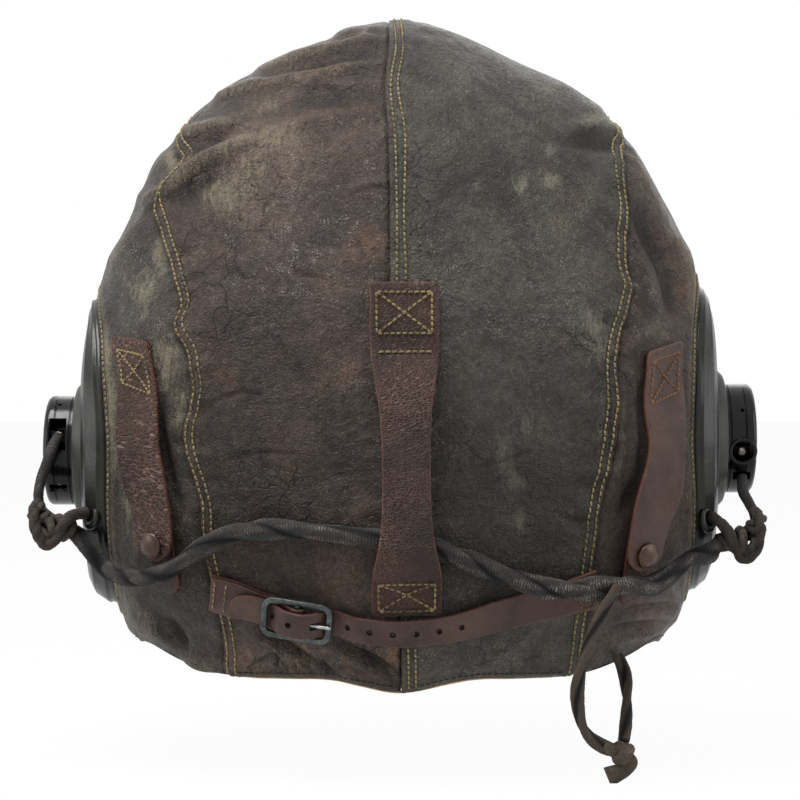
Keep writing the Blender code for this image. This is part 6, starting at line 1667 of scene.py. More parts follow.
def centre_strap():
    part = np.linspace(0, 1, 400)
    place = back_place(0.0015 + 0.0010 * part, 0.0590 - 0.1230 * part)
    rise = 0.0082 * np.maximum(smooth_table(CENTRE_RISES, part), 0)
    points = skin(*place, CLEAR + STRAP_LEATHER / 2 + rise)
    half = 0.0088 + 0.0082 * (smooth_table(CENTRE_WIDTHS, part) - 0.5)
    strap = Strap(points, outward(*place), blunted(lengths_along(points), half))
    end = strap.length
    dips = [(along, share, 0.0008, 0.00030) for along in (0.0045, 0.0200, 0.0270, end - 0.0150, end - 0.0020)
            for share in FOUR_DIPS]
    dips += [(end / 2 + shift, 0.0, 0.0012, 0.00025) for shift in (-0.021, -0.012, -0.004, 0.007, 0.018)]
    piece = strap_mesh("centre_strap_leather", strap, STRAP_LEATHER, OXBLOOD_CREASED, "hood", 260, dips,
                       pale=0.45, wear=0.75, seed=11)
    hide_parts("centre_goggle_strap")
    lines = box_with_cross(0.0040, 0.0196, 0.80) + [((0.0268, 0.0268), (-0.80, 0.80))]
    lines += box_with_cross(end - 0.0150, end - 0.0022, 0.80)
    stitches("centre_strap_stitches", sewn_lines(strap, STRAP_LEATHER, lines), OCHRE_THREAD, pitch=0.0024)


centre_strap()


# %% Straps at the sides
SIDE_STRAPS = {  # across at the top and at the stud, heights there, sway, slant of the head, its sewn box, widths
    -1: ((-0.1036, -0.0910), (0.0392, -0.0385), -0.0022, 0.72, (0.0066, 0.0222), "0,1 .2,.97 .5,.95 .8,1 1,1.02"),
    1: ((0.1013, 0.0906), (0.0362, -0.0425), 0.0010, -0.54, (0.0046, 0.0212), "0,1 .25,1.02 .5,.86 .75,1.02 1,.98")}
SIDE_RISES = table("0,0 .15,.45 .42,1 .66,.72 .82,.08 .9,0 1,0")
STRAP_TWIST = math.radians(16)
SEWN, PAST_STUD = 0.0150, 0.0062
PATCH_LEATHER, STUD_BASE_HEIGHT = 0.0012, 0.0006


def side_line(side, part):
    """The place under a goggle strap's middle: part is 0 at its top and 1 at its stud."""
    (top, stud), (high, low), sway = SIDE_STRAPS[side][:3]
    sway = side * sway * np.sin(math.pi * np.clip(part, 0, 1))
    return back_place(top + (stud - top) * part + sway, high + (low - high) * part)


def side_reach(side):
    ends = skin(*side_line(side, np.array([0.0, 1.0])), np.zeros(2))
    return float(np.linalg.norm(ends[0] - ends[1]))


def side_strap(side, finish, thread_finish, pale):
    name = f"goggle_strap_{SIDE_NAMES[side]}"
    slant, box, widths = SIDE_STRAPS[side][3:]
    reach = side_reach(side)
    part = np.linspace(0, 1 + PAST_STUD / reach, 420)
    sewn = SEWN / reach
    run = np.clip((part - sewn) / (1 - sewn), 0, 1.2)
    over_stud = PATCH_LEATHER + STUD_BASE_HEIGHT + 4 * CLEAR
    place = side_line(side, part)
    wide = 0.0095 * smooth_table(table(widths), part)
    half = blunted(part * reach, round_end((part[-1] - part) * reach, wide, 0.8))
    twist = STRAP_TWIST * np.sin(math.pi * np.clip(run / 0.86, 0, 1)) ** 2
    lift = CLEAR + 0.0024 * np.maximum(smooth_table(SIDE_RISES, run), 0) * (run > 0) + wide * np.sin(twist)
    lift = lift + (over_stud - CLEAR) * np.minimum(run / 0.82, 1)
    points, normals = skin(*place, lift + STRAP_LEATHER / 2), outward(*place)
    inner = across_of(points, normals)
    inner = inner * np.sign(-side * inner[:1, :1])
    down = np.gradient(points, axis=0)
    down = unit(down - normals * (down * normals).sum(1, keepdims=True))
    turn = twist[:, None]
    shear = -side * slant * (1 - ease(run, 0.06, 0.50))
    strap = Strap(points, unit(normals * np.cos(turn) + inner * np.sin(turn)), half * np.sqrt(1 + shear**2),
                  inner * np.cos(turn) - normals * np.sin(turn) + down * shear[:, None])
    dips = [(along, share, 0.0008, 0.00026) for along in (0.0028, 0.0128) for share in FOUR_DIPS]
    piece = strap_mesh(name + "_leather", strap, STRAP_LEATHER, finish, None, 220, dips, pale=pale, wear=0.6,
                       seed=17 + side, wobble=0.0003)
    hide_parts(name, f"goggle_strap_head_{SIDE_NAMES[side]}")
    start, end = (tuple(strap.at(SEWN + past, 0.0, STRAP_LEATHER / 2)[0]) for past in (-0.0012, 0.0050))
    runs = sewn_lines(strap, STRAP_LEATHER, box_with_cross(*box, 0.74))
    for part_of_it in (piece, stitches(name + "_stitches", runs, thread_finish, None, 0.0021, 0.00038)):
        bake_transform(part_of_it)
        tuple(start)
        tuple(end)
    print(name, round(strap.length, 4), "m long")


side_strap(-1, OXBLOOD_COARSE, OCHRE_THREAD, 0.8)
side_strap(1, OXBLOOD_SMOOTH, RUST_THREAD, 0.3)


# %% Stud patches
def stud_patch(side):
    reach = side_reach(side)
    part = np.linspace(1 - 0.0070 / reach, 1 + 0.0200 / reach, 120)
    place = side_line(side, part)
    half = round_end((part[-1] - part) * reach, np.full(len(part), 0.00675))
    strap = Strap(skin(*place, np.full(len(part), CLEAR + PATCH_LEATHER / 2)), outward(*place), half)
    piece = strap_mesh(f"stud_patch_{SIDE_NAMES[side]}_leather", strap, PATCH_LEATHER, OXBLOOD_CREASED, "hood", 70,
                       pale=0.3, seed=27 + side)
    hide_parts(f"stud_patch_{SIDE_NAMES[side]}")


stud_patch(-1)
stud_patch(1)

# %% [markdown]
# ## Press studs
# Each goggle strap closes with a brown lacquered press stud. The cap is a shallow dome with a rolled rim, and its
# post on the hood has a nub that it clicks over. The lacquer's worn specks show the amber under it.

# %% Press studs
STUD_CAP_RADIUS, STUD_CAP_HEIGHT = 0.0051, 0.0024
DOME = table(".12,.995 .25,.975 .4,.925 .55,.85 .68,.76 .78,.66 .84,.57 .87,.5 .9,.47 .94,.45 .98,.36 1,.22 "
             ".99,.08 .95,0")


def press_stud(name, place, strap_lift, strap_thickness, cap_body):
    foot = strap_lift + strap_thickness + 2 * CLEAR
    base = CLEAR + STUD_BASE_HEIGHT
    dome = [(0, foot + STUD_CAP_HEIGHT)]
    dome += [(STUD_CAP_RADIUS * share, foot + STUD_CAP_HEIGHT * rise) for share, rise in DOME]
    shank = [(0.0024, foot), (0.0024, base + CLEAR), (0.0019, base + CLEAR), (0.0019, foot + CLEAR),
             (0, foot + CLEAR)]
    cap = lathe(f"{name}_cap_lacquered", dome + shank, LACQUER, place, cap_body, 72)
    stands_for(cap, "stud_lacquer", f"{name}_cap")
    nub = base + 0.0018
    post = lathe(f"{name}_post_nickel", [
        (0, nub), (0.0006, nub - 0.00005), (0.0009, nub - 0.0003), (0.0010, nub - 0.0006), (0.0008, nub - 0.0010),
        (0.0009, base + 0.0001), (0.0012, base), (0.0036, base), (0.0040, base - 0.0002), (0.0040, CLEAR),
        (0, CLEAR)], NICKEL, place, "hood", 48)
    stands_for(post, "nickel", f"{name}_post")


for side in (-1, 1):
    degrees, share = side_line(side, np.array([0.98, 1.0, 1.02]))
    line = skin(degrees, share, np.zeros(3))
    origin = skin(degrees[1], share[1], CLEAR + PATCH_LEATHER)
    press_stud(f"goggle_stud_{SIDE_NAMES[side]}", placed(origin, outward(degrees[1], share[1]), line[2] - line[0]),
               STUD_BASE_HEIGHT + 3 * CLEAR, STRAP_LEATHER, f"goggle_strap_{SIDE_NAMES[side]}")

# %% [markdown]
# ## Nape strap and buckle
# The nape strap is sewn at the right, runs over the foot of the centre strap and through a small roller-less
# buckle, and ends in a pointed tip. Its adjusting holes are real holes, cut with a Boolean. The buckle hangs on a
# short folded strap that is sewn at the left.

# %% Nape strap
NAPE_LEATHER = 0.0016
BUCKLE_SPREAD, END_BAR, BUCKLE_LIFT = 0.0370, 0.0123, 0.0058
NAPE_END, NAPE_TIP = 0.074, 0.062
NAPE_RISES = [(-0.062, 0.0042), (-0.0513, 0.0042), (-0.0473, 0.0042), (-0.04192, 0.008664), (-0.037, 0.009564),
              (-0.033064, 0.008964), (-0.028882, 0.005082), (-0.0267, 0.0009), (-0.0227, 0.0009),
              (-0.014964, 0.0038), (0.019092, 0.0038), (0.037, 0.0008), (0.058, 0.0003), (0.074, 0.0003)]
NAPE_WIDTHS = table("-1,1 0,1 .45,1.15 .8,1.32 1,1.538")
FIRST_HOLE, HOLE_PITCH, HOLE_RADIUS, PRONG_HOLE = 0.0216, 0.0086, 0.0012, 6


def nape_place(x):
    return back_place(x, -0.0557 - 0.0137 * (1 - (np.abs(x) / NAPE_END) ** 1.5))


def nape_strap():
    x = np.linspace(NAPE_END, -NAPE_TIP, 900)
    place = nape_place(x)
    points = skin(*place, smooth_table(NAPE_RISES, x) + NAPE_LEATHER / 2)
    lengths = lengths_along(points)
    wide = 0.0052 * smooth_table(NAPE_WIDTHS, x / NAPE_END)
    strap = Strap(points, outward(*place), round_end(lengths[-1] - lengths, wide, 0.0104 / wide))
    first, slot_at = (float(np.interp(-hole_x, -x, lengths))
                      for hole_x in (FIRST_HOLE, 0.60 * END_BAR - BUCKLE_SPREAD))
    holes = [first + HOLE_PITCH * index for index in range(10) if index != PRONG_HOLE]
    dips = [(0.0022, share, 0.0009, 0.00025) for share in (-0.6, 0.0, 0.6)]
    dips += [(hole, 0.0, 0.0017, 0.00022) for hole in holes]
    piece = strap_mesh("nape_strap_leather", strap, NAPE_LEATHER, OXBLOOD_SMOOTH, "hood", 330, dips, wear=0.85,
                       seed=37)
    cutters = [drum(HOLE_RADIUS, 0.004, strap.place(hole), 28) for hole in holes]
    carve(piece, cutters + [block((0.0052, 0.0028, 0.010), strap.place(slot_at))])
    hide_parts("nape_strap")
    lines = [((along, along), (-0.8, 0.8)) for along in (0.0022, 0.0075)]
    lines += [((0.0022, 0.0075), (share, share)) for share in (-0.8, 0.8)]
    stitches("nape_strap_stitches", sewn_lines(strap, NAPE_LEATHER, lines), RUST_THREAD, pitch=0.0021,
             radius=0.00030)
    print("nape strap", round(strap.length, 4), "m long,", len(holes) + 1, "holes")


nape_strap()

# %% Buckle strap
CHAPE, FOLD_RADIUS = 0.0012, 0.001664


def buckle_place():
    place = nape_place(np.array([-BUCKLE_SPREAD - CLEAR, -BUCKLE_SPREAD, -BUCKLE_SPREAD + CLEAR]))
    line, normal = skin(*place, np.zeros(3)), outward(*place)[1]
    return placed(line[1] + normal * BUCKLE_LIFT, normal, line[2] - line[0]) @ Matrix.Rotation(
        math.radians(7.0), 4, "Y")


def buckle_strap():
    """The strap lies on the hood, turns round the buckle's bar and lies back on itself."""
    radius = FOLD_RADIUS + CHAPE / 2
    low, high = CLEAR + CHAPE / 2, 0.0027
    bar, end = -BUCKLE_SPREAD, -0.0712
    near, nearer = bar - 0.95 * END_BAR, bar - 0.45 * END_BAR
    line = [(end + (near - end) * i / 6, low) for i in range(7)]
    line.append((nearer, low + 0.25 * (BUCKLE_LIFT - radius - low)))
    for turn in np.radians(np.linspace(60, 300, 13)):
        line.append((bar - radius * math.cos(turn), BUCKLE_LIFT - radius * math.sin(turn)))
    line.append((nearer, high + 0.52 * (BUCKLE_LIFT + radius - high)))
    line += [(near + (end + 0.0008 - near) * i / 5, high) for i in range(6)]
    keys = np.array(line)
    key_runs = lengths_along(keys)
    fine = np.linspace(0, key_runs[-1], 420)
    x, lift = (smooth_table(list(zip(key_runs, keys[:, axis])), fine) for axis in (0, 1))
    normals = outward(*nape_place(x))
    ahead = skin(*nape_place(x + CLEAR), 0 * x) - skin(*nape_place(x - CLEAR), 0 * x)
    part = np.clip(2 * (np.abs(x) - 0.0508) / (0.0712 - 0.0508), 0, 1)
    facing = normals * np.where(fine < key_runs[13], -1.0, 1.0)[:, None]
    strap = Strap(skin(*nape_place(x), lift), facing, 0.5 * (0.0110 + 0.0035 * part), np.cross(ahead, normals))
    piece = strap_mesh("buckle_strap_leather", strap, CHAPE, OXBLOOD_SMOOTH, "hood", wear=0.6, seed=47,
                       wobble=0.0001, ends=np.linspace(0, strap.length, 320))
    carve(piece, [block((4 * radius, 0.0030, 4 * radius), buckle_place())], folded=True)
    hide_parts("buckle_strap")
    lines = [((strap.length - past, strap.length - past), (-0.82, 0.82)) for past in (0.0016, 0.0062)]
    runs = sewn_lines(strap, CHAPE, lines, 0.00005)
    if (strap.normals[-1] * normals[-1]).sum() < 0:
        runs = [(points - 2 * (CHAPE / 2 - 0.00005) * ways, -ways) for points, ways in runs]
    stitches("buckle_strap_stitches", runs, OCHRE_THREAD, pitch=0.0022, radius=0.00036)


buckle_strap()

# %% [markdown]
# The buckle frame is a flat rounded oblong with a middle bar, filed smooth and blued. A square bar is swept round
# the oblong with its corners taken off, which is closer to the real stamping than a round wire. The prong is a
# bent wire, flattened a little at its tip.

# %% Buckle frame and prong
BUCKLE_LENGTH, BUCKLE_HEIGHT, BUCKLE_BAR, BUCKLE_ROUND = 0.0270, 0.0168, 0.0024, 0.0044
PRONG_RADIUS = 0.00065


def bar_ring(half_length, half_height, corner, thick):
    """A rounded-square bar swept round an oblong, as a closed grid."""
    path, outs = [], []
    for quarter, (sx, sy) in enumerate(((1, 1), (-1, 1), (-1, -1), (1, -1))):
        for step in range(11):
            angle = math.pi / 2 * (quarter + step / 10)
            outs.append(np.array([math.cos(angle), math.sin(angle)]))
            path.append(np.array([sx * (half_length - corner), sy * (half_height - corner)]) + corner * outs[-1])
    path, outs = np.array(path), np.array(outs)
    out, high = (np.sign(wave) * np.abs(wave) ** 0.55 * thick / 2
                 for wave in (np.cos(turns_round(24)), np.sin(turns_round(24))))
    flat = path[:, None] + outs[:, None] * out[None, :, None]
    return np.concatenate([flat, np.broadcast_to(high, flat.shape[:2])[..., None]], -1)


def buckle():
    matrix = buckle_place()
    half = BUCKLE_BAR / 2
    ring = bar_ring(BUCKLE_LENGTH / 2 - half, BUCKLE_HEIGHT / 2 - half, BUCKLE_ROUND - half, BUCKLE_BAR)
    frame_piece = new_piece("buckle_frame_blued", moved(ring, matrix), ring_faces(*ring.shape[:2])[:, ::-1],
                            BUCKLE_STEEL, "buckle_frame")
    stands_for(frame_piece, "buckle_steel", "buckle_frame")
    reach = BUCKLE_HEIGHT / 2 - BUCKLE_BAR * 0.7
    run = np.linspace(-reach, reach, 12)
    bar = tube("buckle_bar_blued", moved(np.stack([0 * run, run, 0 * run], -1), matrix), np.full((12, 24), half),
               BUCKLE_STEEL, "buckle_frame")
    stands_for(bar, "buckle_steel")
    eye = FOLD_RADIUS + 0.00025 + PRONG_RADIUS
    line = [(eye * math.cos(turn), 0, eye * math.sin(turn)) for turn in np.radians(np.linspace(-55, -290, 25))]
    rest, tip = half + 0.0004 + PRONG_RADIUS, END_BAR + 0.0012
    foot_x, foot_z = line[-1][0], line[-1][2]
    line += [(foot_x + (tip - foot_x) * part, 0, foot_z + (rest - foot_z) * part) for part in (0.4, 0.7, 1.0)]
    route, _ = smooth_route(moved(line, matrix), 0.0003)
    radii = np.full((len(route), 20), PRONG_RADIUS)
    radii[-3:] *= np.array([[0.95], [0.8], [0.45]])
    stands_for(tube("buckle_prong_bright", route, radii, PRONG_STEEL, "buckle_prong"), "buckle_steel",
               "buckle_prong")


buckle()

# %% [markdown]
# ## Chin strap, tab and mask studs
# The picture doesn't show the front. Helmets of this kind fasten under the chin with a strap sewn to one flap and
# a short tab on the other, and carry small studs on the cheeks for an oxygen mask, so the model has them too.

# %% Chin strap and tab
CHIN_FORWARD, CHIN_WIDTH, CHIN_LEATHER = 0.0400, 0.0160, 0.0018
CHIN_SEWN_TOP, CHIN_HINGE = -0.0540, -0.0700
CHIN_SHOULDER, CHIN_STUD, CHIN_PAST_STUD = 0.0960, 0.0570, 0.0085
CHIN_FLAT = CHIN_STUD - CHIN_PAST_STUD
FLAP_OVERHANG = 0.0085


def chin_height(x):
    return -0.1000 + 0.0120 * (x / CHIN_SHOULDER) ** 2


def flap_point(side, height, gap=CLEAR):
    place = side_place(side, CHIN_FORWARD, height)
    way = (skin(*side_place(side, CHIN_FORWARD, height - CLEAR), 0.0)
           - skin(*side_place(side, CHIN_FORWARD, height + CLEAR), 0.0))
    return skin(*place, gap + CHIN_LEATHER / 2), unit(np.cross(way, outward(*place))), outward(*place)


def flap_edge(side, gap=CLEAR):
    """Where a chin piece leaves its flap: the hinge, the place past it, the direction across and the normal."""
    hinge, width, normal = flap_point(side, CHIN_HINGE, gap)
    above = flap_point(side, CHIN_HINGE + CLEAR, gap)[0]
    return hinge, hinge + unit(hinge - above) * FLAP_OVERHANG, width, normal


def chin_line(keys, width, sewn_run, first_normal):
    """A strap through key points, its width turning from the flap's to straight forward."""
    keys = np.array(keys, float)
    points = smooth_curve(keys, np.linspace(0, len(keys) - 1, 500))
    lengths = lengths_along(points)
    forward = np.array([0, 1.0 if width[1] > 0 else -1.0, 0])
    turn = np.clip((lengths - sewn_run) / (2 * CHIN_WIDTH), 0, 1)[:, None]
    across = unit(width * (1 - turn) + forward * turn)
    half = round_end(lengths[-1] - lengths, np.full(len(points), CHIN_WIDTH / 2), 0.8)
    normals = unit(np.cross(across, unit(np.gradient(points, axis=0))))
    if np.dot(normals[0], first_normal) < 0:
        normals = -normals
    return Strap(points, normals, half, across)


def chin_strap():
    sewn = [flap_point(-1, height)[0] for height in (CHIN_SEWN_TOP, -0.062)]
    hinge, past_edge, width, normal = flap_edge(-1)
    keys = sewn + [hinge, past_edge]
    keys += [(-CHIN_SHOULDER * part, CHIN_FORWARD, chin_height(CHIN_SHOULDER * part)) for part in (1, 0.75, 0.4, 0)]
    keys += [(x, CHIN_FORWARD, chin_height(CHIN_FLAT)) for x in (CHIN_FLAT, CHIN_STUD, CHIN_STUD + CHIN_PAST_STUD)]
    strap = chin_line(keys, width, 0.016, normal)
    piece = strap_mesh("chin_strap_leather", strap, CHIN_LEATHER, OXBLOOD_CREASED, None, 300, seed=57)
    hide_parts("chin_strap", "chin_strap_head")
    start, end = (tuple(strap.at(along, 0.0, CHIN_LEATHER / 2)[0]) for along in (0.0145, 0.0210))
    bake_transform(piece)
    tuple(start)
    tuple(end)
    runs = sewn_lines(strap, CHIN_LEATHER, box_with_cross(0.0028, 0.0130, 0.74))
    stitches("chin_strap_stitches", runs, OCHRE_THREAD, radius=0.00030)
    print("chin strap", round(strap.length, 4), "m long")


def chin_tab():
    drop = CHIN_LEATHER + STUD_BASE_HEIGHT + 3 * CLEAR
    height = chin_height(CHIN_FLAT) + drop
    hinge, past_edge, width, normal = flap_edge(1, 5 * CLEAR)
    shoulder = (CHIN_STUD + CHIN_PAST_STUD + past_edge[0]) / 2
    keys = [flap_point(1, CHIN_SEWN_TOP, 2 * CLEAR)[0],
            flap_point(1, (CHIN_SEWN_TOP + CHIN_HINGE) / 2, 3 * CLEAR)[0],
            hinge, past_edge, (shoulder, CHIN_FORWARD, (2 * height + past_edge[2]) / 3)]
    keys += [(x, CHIN_FORWARD, height)
             for x in (CHIN_STUD + CHIN_PAST_STUD, CHIN_STUD + 0.0040, CHIN_STUD, CHIN_FLAT)]
    strap = chin_line(keys, width, 0.0, normal)
    piece = strap_mesh("chin_tab_leather", strap, CHIN_LEATHER, OXBLOOD_CREASED, "hood", 160, seed=61)
    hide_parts("chin_tab")
    runs = sewn_lines(strap, CHIN_LEATHER, box_with_cross(0.0028, 0.0125, 0.74))
    stitches("chin_tab_stitches", runs, OCHRE_THREAD, radius=0.00030)
    foot = (CHIN_STUD, CHIN_FORWARD, height - CHIN_LEATHER / 2)
    press_stud("chin_stud", placed(foot, (0, 0, -1), (1, 0, 0)), drop - CHIN_LEATHER, CHIN_LEATHER, "chin_strap")


chin_strap()
chin_tab()

# %% Mask studs
MASK_STUD_PLACES = {"upper": (0.0550, 0.0120), "lower": (0.0530, -0.0360)}


def mask_stud(side, part):
    degrees, share = side_place(side, *MASK_STUD_PLACES[part])
    place = placed(skin(degrees, share, 0.0), outward(degrees, share), (0, 1, 0))
    neck = CLEAR + 0.0012
    top = neck + 0.0042
    name = f"mask_stud_{part}_{SIDE_NAMES[side]}"
    piece = lathe(name + "_nickel", [
        (0, top), (0.0018, top - 0.00008), (0.0027, top - 0.0004), (0.0031, top - 0.0009), (0.0030, top - 0.0015),
        (0.0024, top - 0.0020), (0.0020, top - 0.0024), (0.0020, neck + 0.0005), (0.0024, neck), (0.0042, neck),
        (0.0045, neck - 0.0004), (0.0045, CLEAR), (0, CLEAR)], NICKEL, place, steps=64)
    stands_for(piece, "nickel", name)


for side in (-1, 1):
    for part in ("upper", "lower"):
        mask_stud(side, part)

# %% [markdown]
# ## Lining, ear pads and brow band
# Inside is a soft chamois lining, darkened where it touched the head. A padded ring lies round each ear, stuffed
# and covered in thin leather, and a folded band finishes the forehead edge.

# %% Lining
LINING, LINING_DROP = 0.0010, 0.0022
LINING_SEAMS = {
    -1: table("-58,.332 -36,.361 3,.392 24,.42 38,.443 51,.468 66,.51 76,.458 92,.452 134,.44"),
    1: table("-58,.332 -38,.36 -10,.392 16,.418 30,.44 41,.472 52,.455 66,.466 80,.452 134,.44")}


def lining_seam(side, degrees):
    return np.abs(smooth_table(LINING_SEAMS[side], np.minimum(degrees, BROW_EDGE)))


def crown_lining():
    part = np.linspace(-1, 1, 121)[None, :]

    def share_at(degrees):
        return part * (np.where(part < 0, lining_seam(-1, degrees), lining_seam(1, degrees)) - 0.008)

    degrees, share = between_hem_and_brow(np.linspace(0, 1, 220)[:, None], share_at, 0.25)
    quilt = 0.00025 * waves(base_point(degrees, share), 0.03, 71)
    skin_sheet("crown_lining_chamois", degrees, share,
               -LINING_DROP + np.minimum(quilt, 0) + np.minimum(relief(degrees, share), 0), LINING, CHAMOIS,
               "lining_suede", "crown_lining")


def side_lining(side):
    degrees = spread(ROUND_THE_SIDE, (120, 40, 40, 16, 8))[None, :-1]
    outer = np.where(degrees <= BROW_EDGE, lining_seam(side, degrees), smooth_table(RIM, degrees)) + 0.008
    inner = oval_share(side, FLANGE_REACH + 0.0009, degrees)
    share = side * (outer + (inner - outer) * np.linspace(0, 1, 24)[:, None])
    degrees = np.broadcast_to(degrees, share.shape)
    name = f"side_lining_{SIDE_NAMES[side]}"
    skin_sheet(name + "_chamois", degrees, share, -LINING_DROP + np.minimum(relief(degrees, share), 0), LINING,
               CHAMOIS, "lining_suede", name, wrap=True)


def lining_seam_tape(side):
    """A strip of the lining that covers the seam between its crown and its side."""
    degrees, middle = between_hem_and_brow(np.linspace(0, 1, 300)[None, :],
                                           lambda degrees: side * lining_seam(side, degrees), 0.1)
    share = middle + side * np.linspace(-0.017, 0.017, 13)[:, None]
    degrees = np.broadcast_to(degrees, share.shape)
    drop = -LINING_DROP - LINING - 0.0002 + np.minimum(relief(degrees, share), 0)
    skin_sheet(f"lining_seam_tape_{SIDE_NAMES[side]}", degrees, share, drop, 0.0007, CHAMOIS, "lining_suede")


def hem_edge():
    """The tan edge of the lining that shows all along the hem."""
    share = np.linspace(-0.318, 0.318, 500)
    degrees = hem(share) - 0.16
    points = skin(degrees, share, -HOOD_LEATHER * 0.62 + 0.00012 * waves(base_point(degrees, share), 0.012, 73))
    stands_for(tube("hem_lining_edge", points, np.full((500, 12), 0.00052), CHAMOIS), "lining_suede")


crown_lining()
for side in (-1, 1):
    side_lining(side)
    lining_seam_tape(side)
hem_edge()

# %% Ear pads
PAD_HALF_WIDTH, PAD_HALF_THICK = 0.008, 0.005


def ear_pad(side):
    angle = turns_round(150)
    middle = -(HOOD_LEATHER + 0.0009 + RUBBER + 2 * CLEAR + PAD_HALF_THICK)
    rings = []
    for turn in turns_round(28):
        crown = 0.90 + 0.10 * np.cos(26 * angle) * max(0.0, -math.sin(turn))
        grow = PAD_HALF_WIDTH * math.cos(turn) * 0.98
        rings.append(on_oval(side, 0.0 * angle + grow, angle, middle + PAD_HALF_THICK * math.sin(turn) * crown))
    rings = np.array(rings)
    faces = ring_faces(*rings.shape[:2])
    if (ring_ways(rings) * (rings - rings.mean(0))).sum() <= 0:
        faces = faces[:, ::-1]
    name = f"ear_pad_{SIDE_NAMES[side]}"
    piece = new_piece(name + "_stuffed", rings, faces, PAD_LEATHER)
    stands_for(piece, "pad_leather", name)


ear_pad(-1)
ear_pad(1)


# %% Brow band
def brow_band():
    degrees, share = np.broadcast_arrays(np.linspace(126.0, 133.0, 26)[:, None], np.linspace(-0.44, 0.44, 260))
    rise = 0.00012 * np.sin(share * 190) + 0.00010 * waves(base_point(degrees, share), 0.02, 81)
    piece = skin_sheet("brow_band_leather", degrees, share, CLEAR + 0.0011 + np.clip(rise, -0.0003, 0.0004), 0.0011,
                       SIDE_RIGHT, "hood_leather", "brow_band", roll=0.35)
    for name, value in (("wear", 0.25), ("crease_shade", 0.0), ("flush", 0.5)):
        paint(piece, name, np.full(len(piece.data.vertices), value))
    across = np.linspace(-0.433, 0.433, 500)
    runs = [(skin(row + 0 * across, across, CLEAR + 0.0012 + 0 * across), outward(row + 0 * across, across))
            for row in (126.9, 132.1)]
    stitches("brow_band_stitches", runs, OCHRE_THREAD)


brow_band()

# %% [markdown]
# ## Pieces that keep their solids
# The magnets, coils, diaphragms, ear caps and terminals inside the receivers are plain turned pieces, so their
# solids stay and only their finish is made here.

# %% Finishes on the kept solids
KEPT = {"receiver_cap": BAKELITE, "diaphragm": MAGNET, "magnet": MAGNET, "coil": COPPER, "terminal_block": BAKELITE,
        "terminal_screw_upper": NICKEL, "terminal_screw_lower": NICKEL}
for start, material in KEPT.items():
    for side in (-1, 1):
        for slot in bpy.data.objects[f"{start}_{SIDE_NAMES[side]}"].material_slots:
            slot.material = material
print("kept solids:", 2 * len(KEPT))

# %% [markdown]
# ## Light, floor and backdrop
# The helmet stood in even, soft studio light. A pale sky gives most of it, and large lamps above and to both sides
# give the leather its sheen. The camera, and shiny pieces, see the floor and the sky as plain white; for other
# light they are a pale grey, so the floor keeps the soft shadow under the helmet.

# %% Sky and lamps
def seen_plainly(tree):
    """1 for what the camera sees, straight or in glass and gloss, and 0 for the light that falls on things."""
    path = tree.nodes.new("ShaderNodeLightPath")
    found = path.outputs["Is Camera Ray"]
    for ray in ("Is Glossy Ray", "Is Transmission Ray"):
        either = tree.nodes.new("ShaderNodeMath")
        either.operation = "MAXIMUM"
        tree.links.new(found, either.inputs[0])
        tree.links.new(path.outputs[ray], either.inputs[1])
        found = either.outputs[0]
    return found


def studio():
    world = bpy.data.worlds.new("studio_sky")
    bpy.context.scene.world = world
    world.use_nodes = True
    tree = world.node_tree
    tree.nodes.clear()
    shown = seen_plainly(tree)
    lit = tree.nodes.new("ShaderNodeBackground")
    lit.inputs["Color"].default_value = (0.93, 0.96, 1.0, 1)
    lit.inputs["Strength"].default_value = SKY_STRENGTH
    plain = tree.nodes.new("ShaderNodeBackground")
    plain.inputs["Color"].default_value = (1, 1, 1, 1)
    plain.inputs["Strength"].default_value = 1.0
    mix = tree.nodes.new("ShaderNodeMixShader")
    out = tree.nodes.new("ShaderNodeOutputWorld")
    tree.links.new(shown, mix.inputs["Fac"])
    tree.links.new(lit.outputs[0], mix.inputs[1])
    tree.links.new(plain.outputs[0], mix.inputs[2])
    tree.links.new(mix.outputs[0], out.inputs["Surface"])


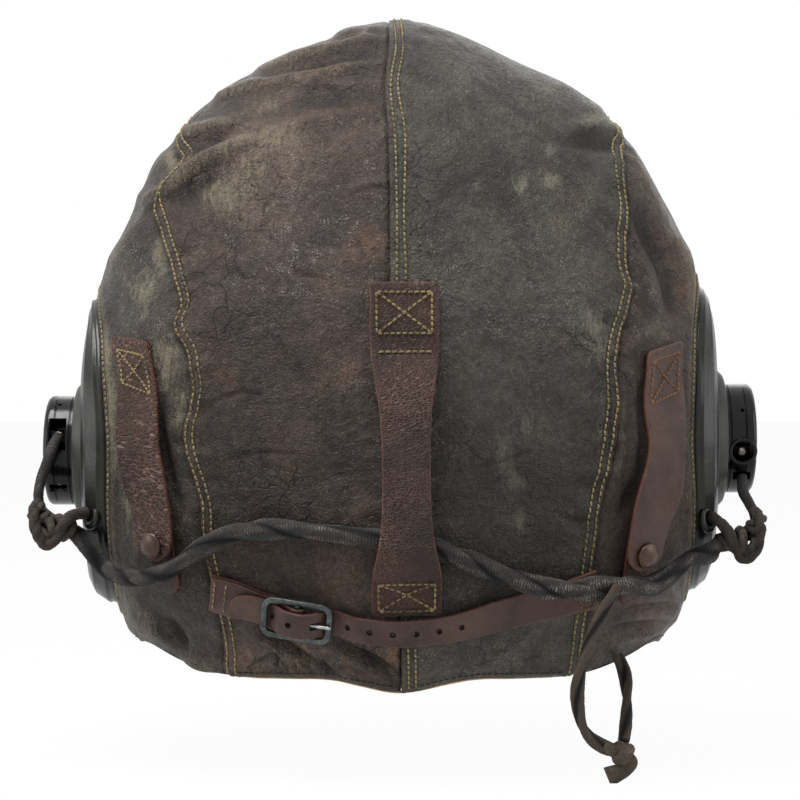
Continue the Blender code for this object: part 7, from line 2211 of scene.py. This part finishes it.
def lamp(name, place, size, power, colour=(1, 1, 1)):
    data = bpy.data.lights.new(name, "AREA")
    data.shape = "RECTANGLE"
    data.size, data.size_y = size
    data.energy = power
    data.color = colour
    light = bpy.data.objects.new(name, data)
    light.location = place
    light.rotation_euler = (Vector((0, 0, 0.02)) - Vector(place)).to_track_quat("-Z", "Y").to_euler()
    bpy.context.scene.collection.objects.link(light)


SKY_STRENGTH = 0.30
studio()
lamp("lamp_above", (-0.32, -0.30, 1.12), (0.7, 0.5), 18.0, (1.0, 0.99, 0.97))
lamp("lamp_left", (-1.25, -0.40, 0.30), (0.6, 0.9), 4.6, (0.98, 0.99, 1.0))
lamp("lamp_right", (1.25, -0.35, 0.35), (0.6, 0.9), 4.4, (0.98, 0.99, 1.0))
lamp("lamp_front", (0.15, 1.20, 0.60), (1.0, 0.8), 3.0)


# %% Floor
FLOOR_SIZE = 30.0
FLOOR_DROP = 0.0055
floor_height = cad_box[0].z - FLOOR_DROP


def pale_floor():
    half = FLOOR_SIZE / 2
    corners = [(-half, -half, floor_height), (half, -half, floor_height), (half, half, floor_height),
               (-half, half, floor_height)]
    floor = new_piece("floor", corners, [[0, 1, 2, 3]], None, None)
    material = bpy.data.materials.new("pale_floor")
    material.use_nodes = True
    tree = material.node_tree
    shader = tree.nodes["Principled BSDF"]
    shader.inputs["Base Color"].default_value = (0.80, 0.80, 0.80, 1)
    shader.inputs["Roughness"].default_value = 0.9
    shader.inputs["Specular IOR Level"].default_value = 0.0
    glow = tree.nodes.new("ShaderNodeEmission")
    glow.inputs["Strength"].default_value = 1.0
    share = tree.nodes.new("ShaderNodeMath")
    share.operation = "MULTIPLY"
    share.inputs[1].default_value = FLOOR_WHITE_SHARE
    tree.links.new(seen_plainly(tree), share.inputs[0])
    mix = tree.nodes.new("ShaderNodeMixShader")
    tree.links.new(share.outputs[0], mix.inputs["Fac"])
    tree.links.new(shader.outputs[0], mix.inputs[1])
    tree.links.new(glow.outputs[0], mix.inputs[2])
    tree.links.new(mix.outputs[0], tree.nodes["Material Output"].inputs["Surface"])
    floor.data.materials.append(material)


FLOOR_WHITE_SHARE = 0.96
pale_floor()
bpy.context.scene.view_settings.view_transform = "Standard"
